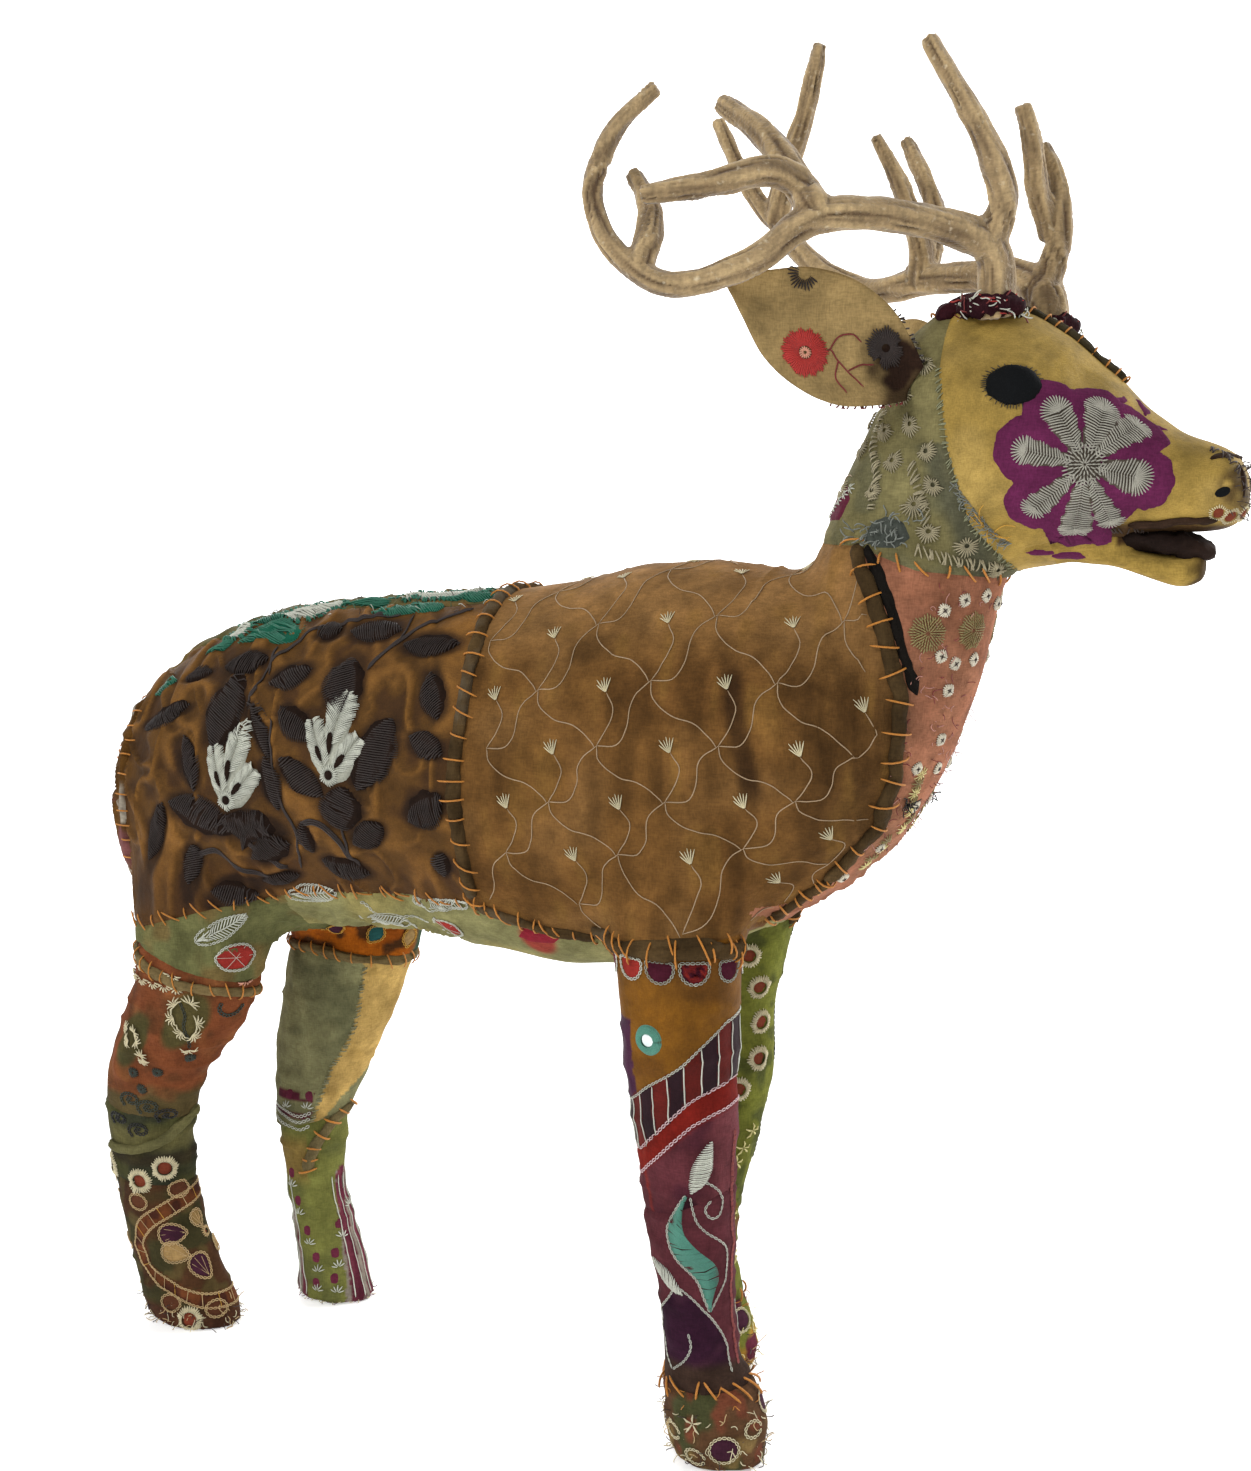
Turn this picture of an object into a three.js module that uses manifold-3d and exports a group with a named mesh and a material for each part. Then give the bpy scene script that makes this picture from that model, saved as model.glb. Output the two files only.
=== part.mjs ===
// A standing stag, made the way patchwork folk-art animals are made: a steel wire armature runs through
// papier-mache forms, a patchwork of embroidered cloth is sewn over the forms, rolled-cloth bindings cover
// the main seams, and wire antlers wrapped in cloth strips stand on the crown.
// Millimetres. +X points the way the nose points, +Y to the stag's left, +Z up.
import * as THREE from "three";
import { mergeVertices } from "three/addons/utils/BufferGeometryUtils.js";
import Module from "manifold-3d";

const wasm = await Module();
wasm.setup();

// ---- Driving dimensions ----
const CLOTH = 1.5; // thickness of a sewn patch
const GAP = 0.3; // clearance between touching pieces, and the width of a cut seam
const FORM_WALL = 6; // papier-mache wall of the hollow torso
const ROD = 3; // radius of the armature rods
const BINDING = 4; // radius of a rolled seam binding
const LEAF_THICK = 3.5; // ears and tail
const FAR = 400; // a coordinate beyond the whole stag
const SOLE_Z = 8; // height of the soles below; the finished stag is moved down to stand on z = 0
const TORSO_SIDES = 18;
const HEAD_SIDES = 12;
const LEG_SIDES = 9;
const ANTLER_SIDES = 6;
const SMOOTHING = 0.12; // facets finer than this are merged

// Torso stations from rump to chest: [x, top z, bottom z, half width].
const TORSO = [
  [-240, 350, 298, 17],
  [-233, 376, 274, 37],
  [-216, 403, 254, 54],
  [-180, 426, 244, 70],
  [-135, 444, 250, 77],
  [-85, 451, 260, 77],
  [-30, 456, 261, 75],
  [25, 459, 254, 77],
  [65, 464, 250, 79],
  [105, 473, 254, 80],
  [145, 475, 266, 80],
  [185, 471, 284, 76],
  [222, 466, 309, 66],
  [247, 458, 334, 50],
  [265, 444, 364, 34],
  [275, 424, 388, 17],
];
// Neck stations from shoulder to skull: [x, z, half depth, half width]; each lies square to the neck's line.
const NECK = [
  [223, 393, 51, 50],
  [237, 435, 51, 48],
  [249, 471, 47, 44],
  [260, 505, 46, 41],
  [270, 540, 40, 38],
];
// Head stations from the back of the skull to the nose: [x, top z, bottom z, half width].
const HEAD = [
  [238, 566, 520, 18],
  [246, 584, 500, 32],
  [262, 597, 480, 42],
  [285, 601, 469, 47],
  [308, 594, 470, 47],
  [328, 580, 474, 43],
  [346, 565, 479, 36],
  [362, 547, 484, 29],
  [378, 534, 489, 25],
  [394, 529, 489, 23],
  [403, 524, 492, 20],
  [408, 514, 500, 11],
];
// Lower jaw stations: [x, top z, bottom z, half width].
const JAW = [
  [330, 484, 474, 14],
  [348, 482, 473, 18],
  [366, 479, 466, 17],
  [381, 478, 461, 15],
  [390, 480, 466, 11],
];
// Leg stations from inside the body down to the sole: [z, x, y, half length, half width], y away from the middle.
const FRONT_RIGHT_LEG = [
  [345, 146, 46, 46, 28],
  [300, 144, 52, 40, 29],
  [275, 144, 54, 35, 29],
  [235, 146, 54, 31, 27],
  [193, 148, 54, 28, 25],
  [150, 150, 53, 25, 23],
  [112, 153, 52, 21, 21],
  [80, 156, 51, 19, 20],
  [58, 158, 51, 20, 20],
  [46, 162, 51, 25, 22],
  [22, 166, 51, 27, 24],
  [SOLE_Z, 168, 51, 25, 22],
];
const FRONT_LEFT_LEG = [
  [345, 142, 44, 44, 28],
  [300, 140, 48, 40, 29],
  [275, 139, 49, 36, 28],
  [226, 130, 49, 31, 26],
  [180, 129, 49, 30, 24],
  [136, 125, 48, 25, 22],
  [105, 120, 47, 22, 20],
  [70, 118, 46, 20, 19],
  [46, 124, 46, 22, 20],
  [22, 129, 46, 24, 22],
  [SOLE_Z, 130, 46, 23, 21],
];
const REAR_RIGHT_LEG = [
  [330, -160, 34, 56, 30],
  [285, -160, 42, 50, 32],
  [240, -164, 44, 42, 30],
  [204, -179, 43, 41, 27],
  [165, -203, 41, 33, 23],
  [140, -211, 39, 30, 21],
  [110, -213, 37, 28, 20],
  [75, -208, 35, 27, 20],
  [45, -199, 33, 29, 20],
  [20, -190, 32, 32, 21],
  [SOLE_Z, -186, 32, 30, 20],
];
const REAR_LEFT_LEG = [
  [330, -115, 34, 52, 30],
  [285, -110, 40, 50, 32],
  [245, -112, 42, 46, 31],
  [200, -124, 40, 40, 26],
  [160, -136, 38, 32, 23],
  [124, -144, 36, 24, 20],
  [95, -143, 35, 20, 18],
  [72, -140, 34, 18, 18],
  [35, -131, 33, 21, 19],
  [SOLE_Z, -125, 32, 25, 20],
];

// Seam lines of the patchwork, as they run on the flank: [x, z].
const WAIST_X = 28;
const RUMP_END_X = -208;
const BACK_PATCH_HALF_WIDTH = 26;
const BACK_PATCH_Z = 392;
const BELLY_SEAM = [
  [-208, 262],
  [-189, 261],
  [-139, 275],
  [-84, 287],
  [-20, 291],
  [28, 289],
  [68, 279],
  [100, 276],
  [180, 288],
  [217, 314],
];
const COLLAR_SEAM = [
  [217, 314],
  [244, 343],
  [254, 371],
  [257, 410],
  [246, 450],
  [232, 482],
];
const NECK_SEAM = [
  [160, 486],
  [232, 482],
  [262, 470],
  [330, 462],
];
const FACE_SEAM = [
  [272, 640],
  [270, 565],
  [276, 527],
  [286, 492],
  [300, 474],
  [312, 440],
];
const MOUTH_SEAM = [
  [314, 440],
  [336, 486],
  [420, 485],
];
const THIGH_FRONT_X = -60;
const FRONT_LEG_SOCKET = { back: 97, front: 183, inner: 20 };
const LEG_SEAMS = {
  frontRightMid: [
    [60, 160],
    [130, 174],
    [162, 205],
    [260, 262],
  ],
  frontRightLow: [
    [60, 128],
    [150, 144],
    [260, 190],
  ],
  frontRightHoof: [
    [60, 44],
    [260, 54],
  ],
  frontLeftMid: [
    [60, 112],
    [260, 100],
  ],
  frontLeftHoof: [
    [60, 50],
    [260, 46],
  ],
  rearRightTop: [
    [-300, 262],
    [-190, 248],
    [-118, 226],
    [-60, 214],
  ],
  rearRightMid: [
    [-300, 152],
    [-120, 132],
  ],
  rearRightLow: [
    [-300, 98],
    [-120, 96],
  ],
  rearLeftTop: [
    [-260, 240],
    [-20, 228],
  ],
  rearLeftLow: [
    [-260, 92],
    [-20, 150],
  ],
};

// Antler branches: centre-line points, then the radius at the root and at the tip.
const ANTLERS = {
  antler_right_beam: {
    points: [
      [293, -21, 590],
      [290, -26, 622],
      [257, -55, 633],
      [221, -78, 632],
      [195, -90, 612],
      [160, -101, 602],
      [134, -105, 617],
      [121, -106, 644],
      [130, -102, 674],
      [149, -95, 693],
    ],
    root: 9.5,
    tip: 4.2,
  },
  antler_right_brow: {
    points: [
      [286, -25, 620],
      [297, -29, 640],
      [293, -35, 660],
      [279, -38, 688],
      [262, -38, 717],
    ],
    root: 8.5,
    tip: 4,
  },
  antler_right_fork: {
    points: [
      [221, -78, 635],
      [208, -71, 653],
      [190, -61, 675],
      [164, -50, 695],
    ],
    root: 9,
    tip: 5,
    spur: {
      points: [
        [214, -76, 648],
        [200, -87, 653],
        [172, -99, 646],
        [146, -106, 643],
      ],
      root: 7.5,
      tip: 5,
    },
  },
  antler_left_beam: {
    points: [
      [310, 23, 585],
      [307, 26, 606],
      [292, 35, 617],
      [268, 52, 621],
      [236, 67, 623],
      [204, 80, 621],
      [177, 90, 632],
      [157, 96, 647],
      [142, 98, 665],
      [125, 98, 686],
      [107, 92, 724],
    ],
    root: 10,
    tip: 4.5,
  },
  antler_left_brow: {
    points: [
      [305, 26, 606],
      [313, 29, 632],
      [311, 33, 659],
      [302, 36, 681],
    ],
    root: 8,
    tip: 4,
    spur: {
      points: [
        [309, 30, 634],
        [303, 22, 657],
        [301, 14, 676],
        [297, 8, 694],
      ],
      root: 6.5,
      tip: 4.5,
    },
  },
  antler_left_mid_tine: {
    points: [
      [234, 67, 624],
      [234, 62, 645],
      [226, 55, 668],
      [213, 48, 696],
    ],
    root: 7.5,
    tip: 3.5,
  },
  antler_left_outer_tine: {
    points: [
      [232, 70, 625],
      [240, 74, 648],
      [235, 79, 670],
      [219, 86, 702],
    ],
    root: 7.5,
    tip: 4,
  },
  antler_left_back_tine: {
    points: [
      [141, 98, 664],
      [150, 91, 692],
      [164, 81, 722],
      [174, 74, 754],
    ],
    root: 8,
    tip: 3.8,
  },
};
const RIGHT_BEAM_SPUR = {
  points: [
    [144, -103, 612],
    [147, -98, 628],
    [143, -91, 642],
    [132, -84, 658],
  ],
  root: 7,
  tip: 4.5,
};

// Dark cloth wraps round the antler roots: centre-line points.
const WRAP_RADIUS = 13.5;
const WRAP_RIGHT = [
  [293, -20, 584],
  [293, -22, 597],
  [292, -24, 610],
];
const WRAP_LEFT = [
  [311, 22, 578],
  [310, 24, 590],
  [308, 26, 602],
];

// Ear and tail leaves: stations from root to tip, each a share of the length and a half width.
const EAR_SHAPE = [
  [0, 9],
  [0.1, 17],
  [0.28, 27],
  [0.48, 29],
  [0.68, 24],
  [0.86, 12],
  [1, 2],
];
const TAIL_SHAPE = [
  [0, 7],
  [0.3, 12],
  [0.6, 13],
  [0.85, 8],
  [1, 2],
];
const LEAVES = {
  ear_right: { shape: EAR_SHAPE, root: [257, -38, 558], tip: [180, -86, 606], up: [-0.1, 0, 1] },
  ear_left: { shape: EAR_SHAPE, root: [257, 38, 558], tip: [196, 98, 592], up: [-0.1, 0, 1] },
  tail: { shape: TAIL_SHAPE, root: [-236, 0, 384], tip: [-257, 0, 334], up: [0, 1, 0] },
};

const EYE = { x: 307, z: 556, long: 13.5, high: 9.5, deep: 5 };
const MIRROR = { x: 137, z: 232, radius: 5.5, thick: 1.6 };
const BROW_BINDING_X = [287, 352];
const WAIST_BINDING_ANGLE = 2.3; // how far the waist roll reaches down each side, radians from the top

// ---- Materials ----
const finish = (color, roughness, metalness = 0) =>
  new THREE.MeshStandardMaterial({ color, roughness, metalness });
const MATERIALS = {
  papier: finish(0xb9ab8c, 0.95),
  steel: finish(0x6c6a66, 0.45, 0.9),
  brown: finish(0x7a5528, 0.9),
  appliqueBrown: finish(0x84582a, 0.9),
  jade: finish(0x2f7a62, 0.85),
  rust: finish(0x8d4a30, 0.9),
  olive: finish(0x77743f, 0.9),
  mustard: finish(0xa9823f, 0.85),
  plum: finish(0x5d2a3d, 0.9),
  orange: finish(0xb4672a, 0.9),
  binding: finish(0x3c352c, 0.95),
  maroon: finish(0x3d1a22, 0.9),
  antler: finish(0xa58c66, 0.8),
  ear: finish(0x9d8455, 0.9),
  black: finish(0x0d0f10, 0.6),
  mirror: finish(0xd8e2e0, 0.1, 0.9),
};

// ---- Making and combining solids ----
const AXIS = {
  x: new THREE.Vector3(1, 0, 0),
  y: new THREE.Vector3(0, 1, 0),
  z: new THREE.Vector3(0, 0, 1),
};

// A closed geometry as a manifold solid with its faces pointing out.
function solid(geometry) {
  const bare = new THREE.BufferGeometry();
  bare.setAttribute("position", geometry.getAttribute("position"));
  bare.setIndex(geometry.index);
  const merged = mergeVertices(bare, 1e-4);
  const vertProperties = merged.attributes.position.array;
  const triVerts = new Uint32Array(merged.index.array);
  const made = new wasm.Manifold(new wasm.Mesh({ numProp: 3, vertProperties, triVerts }));
  if (made.volume() > 0) return made;
  triVerts.reverse();
  return new wasm.Manifold(new wasm.Mesh({ numProp: 3, vertProperties, triVerts }));
}

function geometryOf(manifold) {
  const made = manifold.getMesh();
  const geometry = new THREE.BufferGeometry();
  geometry.setAttribute("position", new THREE.BufferAttribute(made.vertProperties, 3));
  geometry.setIndex(new THREE.BufferAttribute(made.triVerts, 1));
  geometry.computeVertexNormals();
  return geometry;
}

const unite = (solids) => solids.reduce((sum, next) => sum.add(next));
const largest = (manifold) =>
  manifold.decompose().reduce((best, next) => (next.volume() > best.volume() ? next : best));

// A closed skin over a row of oval sections, each { c, u, v, a, b }: centre, two directions, two half sizes.
function loft(sections, sides, inset = 0) {
  const points = [];
  const index = [];
  const last = sections.length - 1;
  const axis = (i, j) => sections[j].c.clone().sub(sections[i].c).setLength(inset);
  sections.forEach((s, i) => {
    const c = s.c.clone();
    if (i === 0) c.add(axis(0, 1));
    if (i === last) c.add(axis(last, last - 1));
    for (let k = 0; k < sides; k++) {
      const t = (2 * Math.PI * k) / sides;
      const p = c.clone();
      p.addScaledVector(s.u, Math.max(s.a - inset, 1) * Math.cos(t));
      p.addScaledVector(s.v, Math.max(s.b - inset, 1) * Math.sin(t));
      points.push(p);
    }
  });
  const cell = (i, k) => i * sides + (k % sides);
  for (let i = 0; i < last; i++)
    for (let k = 0; k < sides; k++) {
      index.push(cell(i, k), cell(i, k + 1), cell(i + 1, k + 1));
      index.push(cell(i, k), cell(i + 1, k + 1), cell(i + 1, k));
    }
  for (let k = 1; k < sides - 1; k++) {
    index.push(cell(0, 0), cell(0, k + 1), cell(0, k));
    index.push(cell(last, 0), cell(last, k), cell(last, k + 1));
  }
  const geometry = new THREE.BufferGeometry().setFromPoints(points);
  geometry.setIndex(index);
  return solid(geometry);
}

const uprightSections = (stations) =>
  stations.map(([x, top, bottom, half]) => ({
    c: new THREE.Vector3(x, 0, (top + bottom) / 2),
    u: AXIS.y,
    v: AXIS.z,
    a: half,
    b: (top - bottom) / 2,
  }));

function neckSections() {
  const first = NECK[0];
  const end = NECK[NECK.length - 1];
  const across = new THREE.Vector3(end[1] - first[1], 0, first[0] - end[0]).normalize();
  return NECK.map(([x, z, depth, width]) => ({
    c: new THREE.Vector3(x, 0, z),
    u: AXIS.y,
    v: across,
    a: width,
    b: depth,
  }));
}

const legSections = (stations, side) =>
  stations.map(([z, x, y, long, wide]) => ({
    c: new THREE.Vector3(x, side * y, z),
    u: AXIS.x,
    v: AXIS.y,
    a: long,
    b: wide,
  }));

// The parts of the stag's shape, each drawn in by inset from the outside of the cloth.
function shapes(inset) {
  return {
    torso: loft(uprightSections(TORSO), TORSO_SIDES, inset),
    neck: loft(neckSections(), HEAD_SIDES, inset),
    head: loft(uprightSections(HEAD), HEAD_SIDES, inset),
    jaw: loft(uprightSections(JAW), HEAD_SIDES, inset),
    frontRight: loft(legSections(FRONT_RIGHT_LEG, -1), LEG_SIDES, inset),
    frontLeft: loft(legSections(FRONT_LEFT_LEG, 1), LEG_SIDES, inset),
    rearRight: loft(legSections(REAR_RIGHT_LEG, -1), LEG_SIDES, inset),
    rearLeft: loft(legSections(REAR_LEFT_LEG, 1), LEG_SIDES, inset),
  };
}
const whole = (inset) => unite(Object.values(shapes(inset)));

// A prism over an outline in the XZ plane, from y0 to y1.
function prism(outline, y0, y1) {
  const shape = new THREE.Shape(outline.map(([x, z]) => new THREE.Vector2(x, z)));
  const geometry = new THREE.ExtrudeGeometry(shape, { depth: y1 - y0, bevelEnabled: false });
  geometry.rotateX(Math.PI / 2);
  geometry.translate(0, y1, 0);
  return solid(geometry);
}

function box(x0, x1, y0, y1, z0, z1) {
  const geometry = new THREE.BoxGeometry(x1 - x0, y1 - y0, z1 - z0);
  geometry.translate((x0 + x1) / 2, (y0 + y1) / 2, (z0 + z1) / 2);
  return solid(geometry);
}

// A thin wall that follows a seam line, to cut the cloth apart along it.
function seamCut(line, y0 = -FAR, y1 = FAR) {
  const walls = [];
  for (let i = 0; i + 1 < line.length; i++) {
    const [ax, az] = line[i];
    const [bx, bz] = line[i + 1];
    const length = Math.hypot(bx - ax, bz - az);
    const [dx, dz] = [(bx - ax) / length, (bz - az) / length];
    const [nx, nz] = [(-dz * GAP) / 2, (dx * GAP) / 2];
    const over = GAP / 2;
    const [sx, sz, ex, ez] = [ax - dx * over, az - dz * over, bx + dx * over, bz + dz * over];
    const outline = [
      [sx - nx, sz - nz],
      [ex - nx, ez - nz],
      [ex + nx, ez + nz],
      [sx + nx, sz + nz],
    ];
    walls.push(prism(outline, y0, y1));
  }
  return unite(walls);
}

// A tapered round branch along a smooth curve through the points, with blunt ends.
function branch({ points, root, tip }, grow = 0, step = 16, sides = ANTLER_SIDES) {
  const curve = new THREE.CatmullRomCurve3(points.map((p) => new THREE.Vector3(...p)));
  const count = Math.max(3, Math.round(curve.getLength() / step));
  const frames = curve.computeFrenetFrames(count, false);
  const sections = [];
  for (let i = 0; i <= count; i++) {
    const radius = THREE.MathUtils.lerp(root, tip, i / count) + grow;
    const [u, v] = [frames.normals[i], frames.binormals[i]];
    sections.push({ c: curve.getPointAt(i / count), u, v, a: radius, b: radius });
  }
  const end = sections[count];
  const out = frames.tangents[count].clone().multiplyScalar(end.a * 0.6);
  sections.push({ ...end, c: end.c.clone().add(out), a: end.a * 0.5, b: end.b * 0.5 });
  return loft(sections, sides);
}

const rod = (points, radius, grow = 0) =>
  branch({ points, root: radius, tip: radius }, grow, 40, 6);

// ---- The stag ----
const stag = new THREE.Group();
const solids = {};

function place(name, manifold, material) {
  const kept = manifold.simplify(SMOOTHING);
  const mesh = new THREE.Mesh(geometryOf(kept), MATERIALS[material]);
  mesh.name = name;
  solids[name] = kept;
  stag.add(mesh);
}

const outside = whole(0);
const clear = whole(-GAP); // what a piece lying on the cloth is cut by
const form = shapes(CLOTH + GAP);
const formClear = shapes(CLOTH);

// Armature: a spine from rump to skull, four leg rods, and one bent wire that carries both antlers.
const SPINE = [
  [-215, 0, 335],
  [-100, 0, 372],
  [60, 0, 385],
  [200, 0, 420],
  [250, 0, 490],
  [285, 0, 545],
];
const ANTLER_WIRE = [
  [291, -23, 618],
  [294, -20, 590],
  [298, -14, 572],
  [300, 0, 566],
  [304, 14, 572],
  [309, 22, 590],
  [308, 25, 603],
];
const LEG_RODS = {
  leg_rod_front_right: [FRONT_RIGHT_LEG, -1],
  leg_rod_front_left: [FRONT_LEFT_LEG, 1],
  leg_rod_rear_right: [REAR_RIGHT_LEG, -1],
  leg_rod_rear_left: [REAR_LEFT_LEG, 1],
};
const ROD_FOOT_Z = 14; // the rods stop short of the sole

function legRodPoints([stations, side]) {
  const down = stations.filter(([z]) => z > ROD_FOOT_Z).map(([z, x, y]) => [x, side * y, z]);
  const [hipX, hipY] = down[0];
  return [[hipX, hipY * 0.5, 362], ...down];
}

const armature = [rod(SPINE, ROD), rod(ANTLER_WIRE, ROD)];
place("spine_rod", armature[0], "steel");
place("antler_wire", armature[1], "steel");
let channels = rod(SPINE, ROD, GAP).add(rod(ANTLER_WIRE, ROD, GAP));
for (const [name, leg] of Object.entries(LEG_RODS)) {
  place(name, rod(legRodPoints(leg), ROD), "steel");
  channels = channels.add(rod(legRodPoints(leg), ROD, GAP));
}

// Papier-mache forms, butted together, with channels for the armature.
const torsoHollow = shapes(CLOTH + GAP + FORM_WALL).torso;
const legForm = (leg) => largest(leg.subtract(formClear.torso).subtract(channels));
place("torso_form", form.torso.subtract(torsoHollow).subtract(channels), "papier");
place("head_form", form.head.subtract(channels), "papier");
const neckClear = form.neck.subtract(formClear.torso).subtract(formClear.head);
place("neck_form", largest(neckClear.subtract(channels)), "papier");
place("jaw_form", largest(form.jaw.subtract(formClear.head)), "papier");
place("leg_form_front_right", legForm(form.frontRight), "papier");
place("leg_form_front_left", legForm(form.frontLeft), "papier");
place("leg_form_rear_right", legForm(form.rearRight), "papier");
place("leg_form_rear_left", legForm(form.rearLeft), "papier");

// Cloth: one skin round the whole shape, cut along the seams into patches.
const upright = (x, z0, z1, y0 = -FAR, y1 = FAR) => seamCut([[x, z0], [x, z1]], y0, y1);
const lengthwise = (y, x0, x1, z0, z1) => box(x0, x1, y - GAP / 2, y + GAP / 2, z0, z1);
const { back: socketBack, front: socketFront, inner: socketInner } = FRONT_LEG_SOCKET;
const ALL_SEAMS = [BELLY_SEAM, COLLAR_SEAM, NECK_SEAM, FACE_SEAM, MOUTH_SEAM];
const seams = unite([
  upright(WAIST_X, 278, 520),
  upright(RUMP_END_X, 200, 460),
  upright(THIGH_FRONT_X, 200, 291),
  upright(socketFront, 200, 293),
  upright(socketBack, 200, 276, -FAR, -socketInner),
  upright(socketBack, 200, 276, socketInner, FAR),
  lengthwise(-socketInner, socketBack, socketFront, 230, 290),
  lengthwise(socketInner, socketBack, socketFront, 230, 290),
  lengthwise(-BACK_PATCH_HALF_WIDTH, RUMP_END_X, WAIST_X, BACK_PATCH_Z, 2 * FAR),
  lengthwise(BACK_PATCH_HALF_WIDTH, RUMP_END_X, WAIST_X, BACK_PATCH_Z, 2 * FAR),
  lengthwise(0, RUMP_END_X, THIGH_FRONT_X, 200, 295),
  lengthwise(0, WAIST_X, 240, 400, 486),
  lengthwise(0, 268, 336, 440, 640),
  lengthwise(0, 335, 2 * FAR, 485, 640),
  ...ALL_SEAMS.map((line) => seamCut(line)),
  ...Object.entries(LEG_SEAMS).map(([name, line]) =>
    name.includes("Right") ? seamCut(line, -FAR, 0) : seamCut(line, 0, FAR),
  ),
]);
const cloth = outside.subtract(whole(CLOTH)).subtract(seams).subtract(channels);
const CRUMB = 500; // mm3; scraps between crossing seams are trimmed off
const patches = cloth.decompose().filter((patch) => patch.volume() > CRUMB);

// Each patch is found by the middle of its bounds: [x, y, z], then its material.
const PATCHES = {
  side_panel_right: [[142, -41, 379], "brown"],
  side_panel_left: [[142, 41, 379], "brown"],
  rump_panel_right: [[-94, -50, 355], "appliqueBrown"],
  rump_panel_left: [[-94, 50, 355], "appliqueBrown"],
  back_panel: [[-94, 0, 427], "jade"],
  rump_end_panel: [[-230, 0, 332], "rust"],
  belly_panel: [[59, 0, 270], "olive"],
  chest_panel: [[242, 0, 382], "rust"],
  neck_panel: [[253, 0, 532], "olive"],
  face_panel_right: [[339, -24, 535], "mustard"],
  face_panel_left: [[339, 24, 535], "mustard"],
  jaw_cover: [[360, 0, 473], "mustard"],
  front_right_upper_sleeve: [[138, -52, 227], "plum"],
  front_right_middle_sleeve: [[149, -54, 177], "maroon"],
  front_right_lower_sleeve: [[155, -53, 101], "plum"],
  front_right_hoof_cover: [[165, -51, 25], "appliqueBrown"],
  front_left_upper_sleeve: [[137, 49, 194], "olive"],
  front_left_lower_sleeve: [[122, 47, 79], "mustard"],
  front_left_hoof_cover: [[127, 46, 25], "mustard"],
  rear_right_thigh_sleeve: [[-138, -37, 259], "olive"],
  rear_right_shank_sleeve: [[-183, -44, 194], "rust"],
  rear_right_hock_cuff: [[-211, -38, 121], "olive"],
  rear_right_lower_sleeve: [[-197, -34, 49], "appliqueBrown"],
  rear_left_thigh_sleeve: [[-138, 37, 260], "olive"],
  rear_left_shank_sleeve: [[-120, 41, 175], "orange"],
  rear_left_lower_sleeve: [[-132, 34, 63], "olive"],
};
const middleOf = (manifold) => {
  const { min, max } = manifold.boundingBox();
  return new THREE.Vector3().addVectors(new THREE.Vector3(...min), new THREE.Vector3(...max)).divideScalar(2);
};
const nearestPatch = (point) => {
  const target = new THREE.Vector3(...point);
  const gap = (patch) => middleOf(patch).distanceTo(target);
  return patches.reduce((best, next) => (gap(next) < gap(best) ? next : best));
};
const sewn = Object.entries(PATCHES).map(([name, [point, material]]) => ({
  name,
  material,
  patch: nearestPatch(point),
}));

// Antlers: each branch is cut back where it meets the one it grows from.
const grown = (name, grow) => {
  const { spur, ...stem } = ANTLERS[name];
  const made = branch(stem, grow);
  return spur ? made.add(branch(spur, grow)) : made;
};
const rightBeam = (grow) => grown("antler_right_beam", grow).add(branch(RIGHT_BEAM_SPUR, grow));
const leftBeam = (grow) => grown("antler_left_beam", grow);
const wireSocket = rod(ANTLER_WIRE, ROD, GAP);
const wraps = {
  antler_wrap_right: [WRAP_RIGHT, rightBeam],
  antler_wrap_left: [WRAP_LEFT, leftBeam],
};
const wrapSolid = (points, grow) => branch({ points, root: WRAP_RADIUS, tip: WRAP_RADIUS - 1.5 }, grow, 6);
const wrapClear = wrapSolid(WRAP_RIGHT, GAP).add(wrapSolid(WRAP_LEFT, GAP));
const tipsOnly = (manifold) => largest(manifold.subtract(wrapClear).subtract(wireSocket));

place("antler_right_beam", tipsOnly(rightBeam(0)), "antler");
place("antler_right_brow", tipsOnly(grown("antler_right_brow", 0).subtract(rightBeam(GAP))), "antler");
place("antler_right_fork", largest(grown("antler_right_fork", 0).subtract(rightBeam(GAP))), "antler");
place("antler_left_beam", tipsOnly(leftBeam(0)), "antler");
const LEFT_TINES = ["brow", "mid_tine", "outer_tine", "back_tine"];
const midTine = grown("antler_left_mid_tine", GAP);
for (const tine of LEFT_TINES) {
  const name = `antler_left_${tine}`;
  const cut = tine === "outer_tine" ? leftBeam(GAP).add(midTine) : leftBeam(GAP);
  place(name, tipsOnly(grown(name, 0).subtract(cut)), "antler");
}
for (const [name, [points]] of Object.entries(wraps))
  place(name, largest(wrapSolid(points, 0).subtract(clear).subtract(wireSocket)), "maroon");

// A flat leaf with a lens section, such as an ear.
function leaf({ shape, root, tip, up }) {
  const [from, to, upward] = [root, tip, up].map((p) => new THREE.Vector3(...p));
  const along = to.clone().sub(from).normalize();
  const across = upward.addScaledVector(along, -upward.dot(along)).normalize();
  const normal = new THREE.Vector3().crossVectors(along, across);
  const sections = shape.map(([share, half]) => ({
    c: from.clone().lerp(to, share),
    u: across,
    v: normal,
    a: half,
    b: Math.min(LEAF_THICK / 2, half / 2),
  }));
  return loft(sections, HEAD_SIDES);
}
for (const [name, spec] of Object.entries(LEAVES))
  place(name, largest(leaf(spec).subtract(clear)), name === "tail" ? "rust" : "ear");

// Where a line parallel to an axis first meets the outside of the cloth.
const skinMesh = new THREE.Mesh(geometryOf(outside), new THREE.MeshBasicMaterial());
function firstHit(from, direction) {
  const ray = new THREE.Raycaster(from, direction);
  return ray.intersectObject(skinMesh)[0].point;
}
const flank = (x, z, side) =>
  firstHit(new THREE.Vector3(x, side * FAR, z), new THREE.Vector3(0, -side, 0));
const crest = (x, y) => firstHit(new THREE.Vector3(x, y, 2 * FAR), new THREE.Vector3(0, 0, -1));

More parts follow.
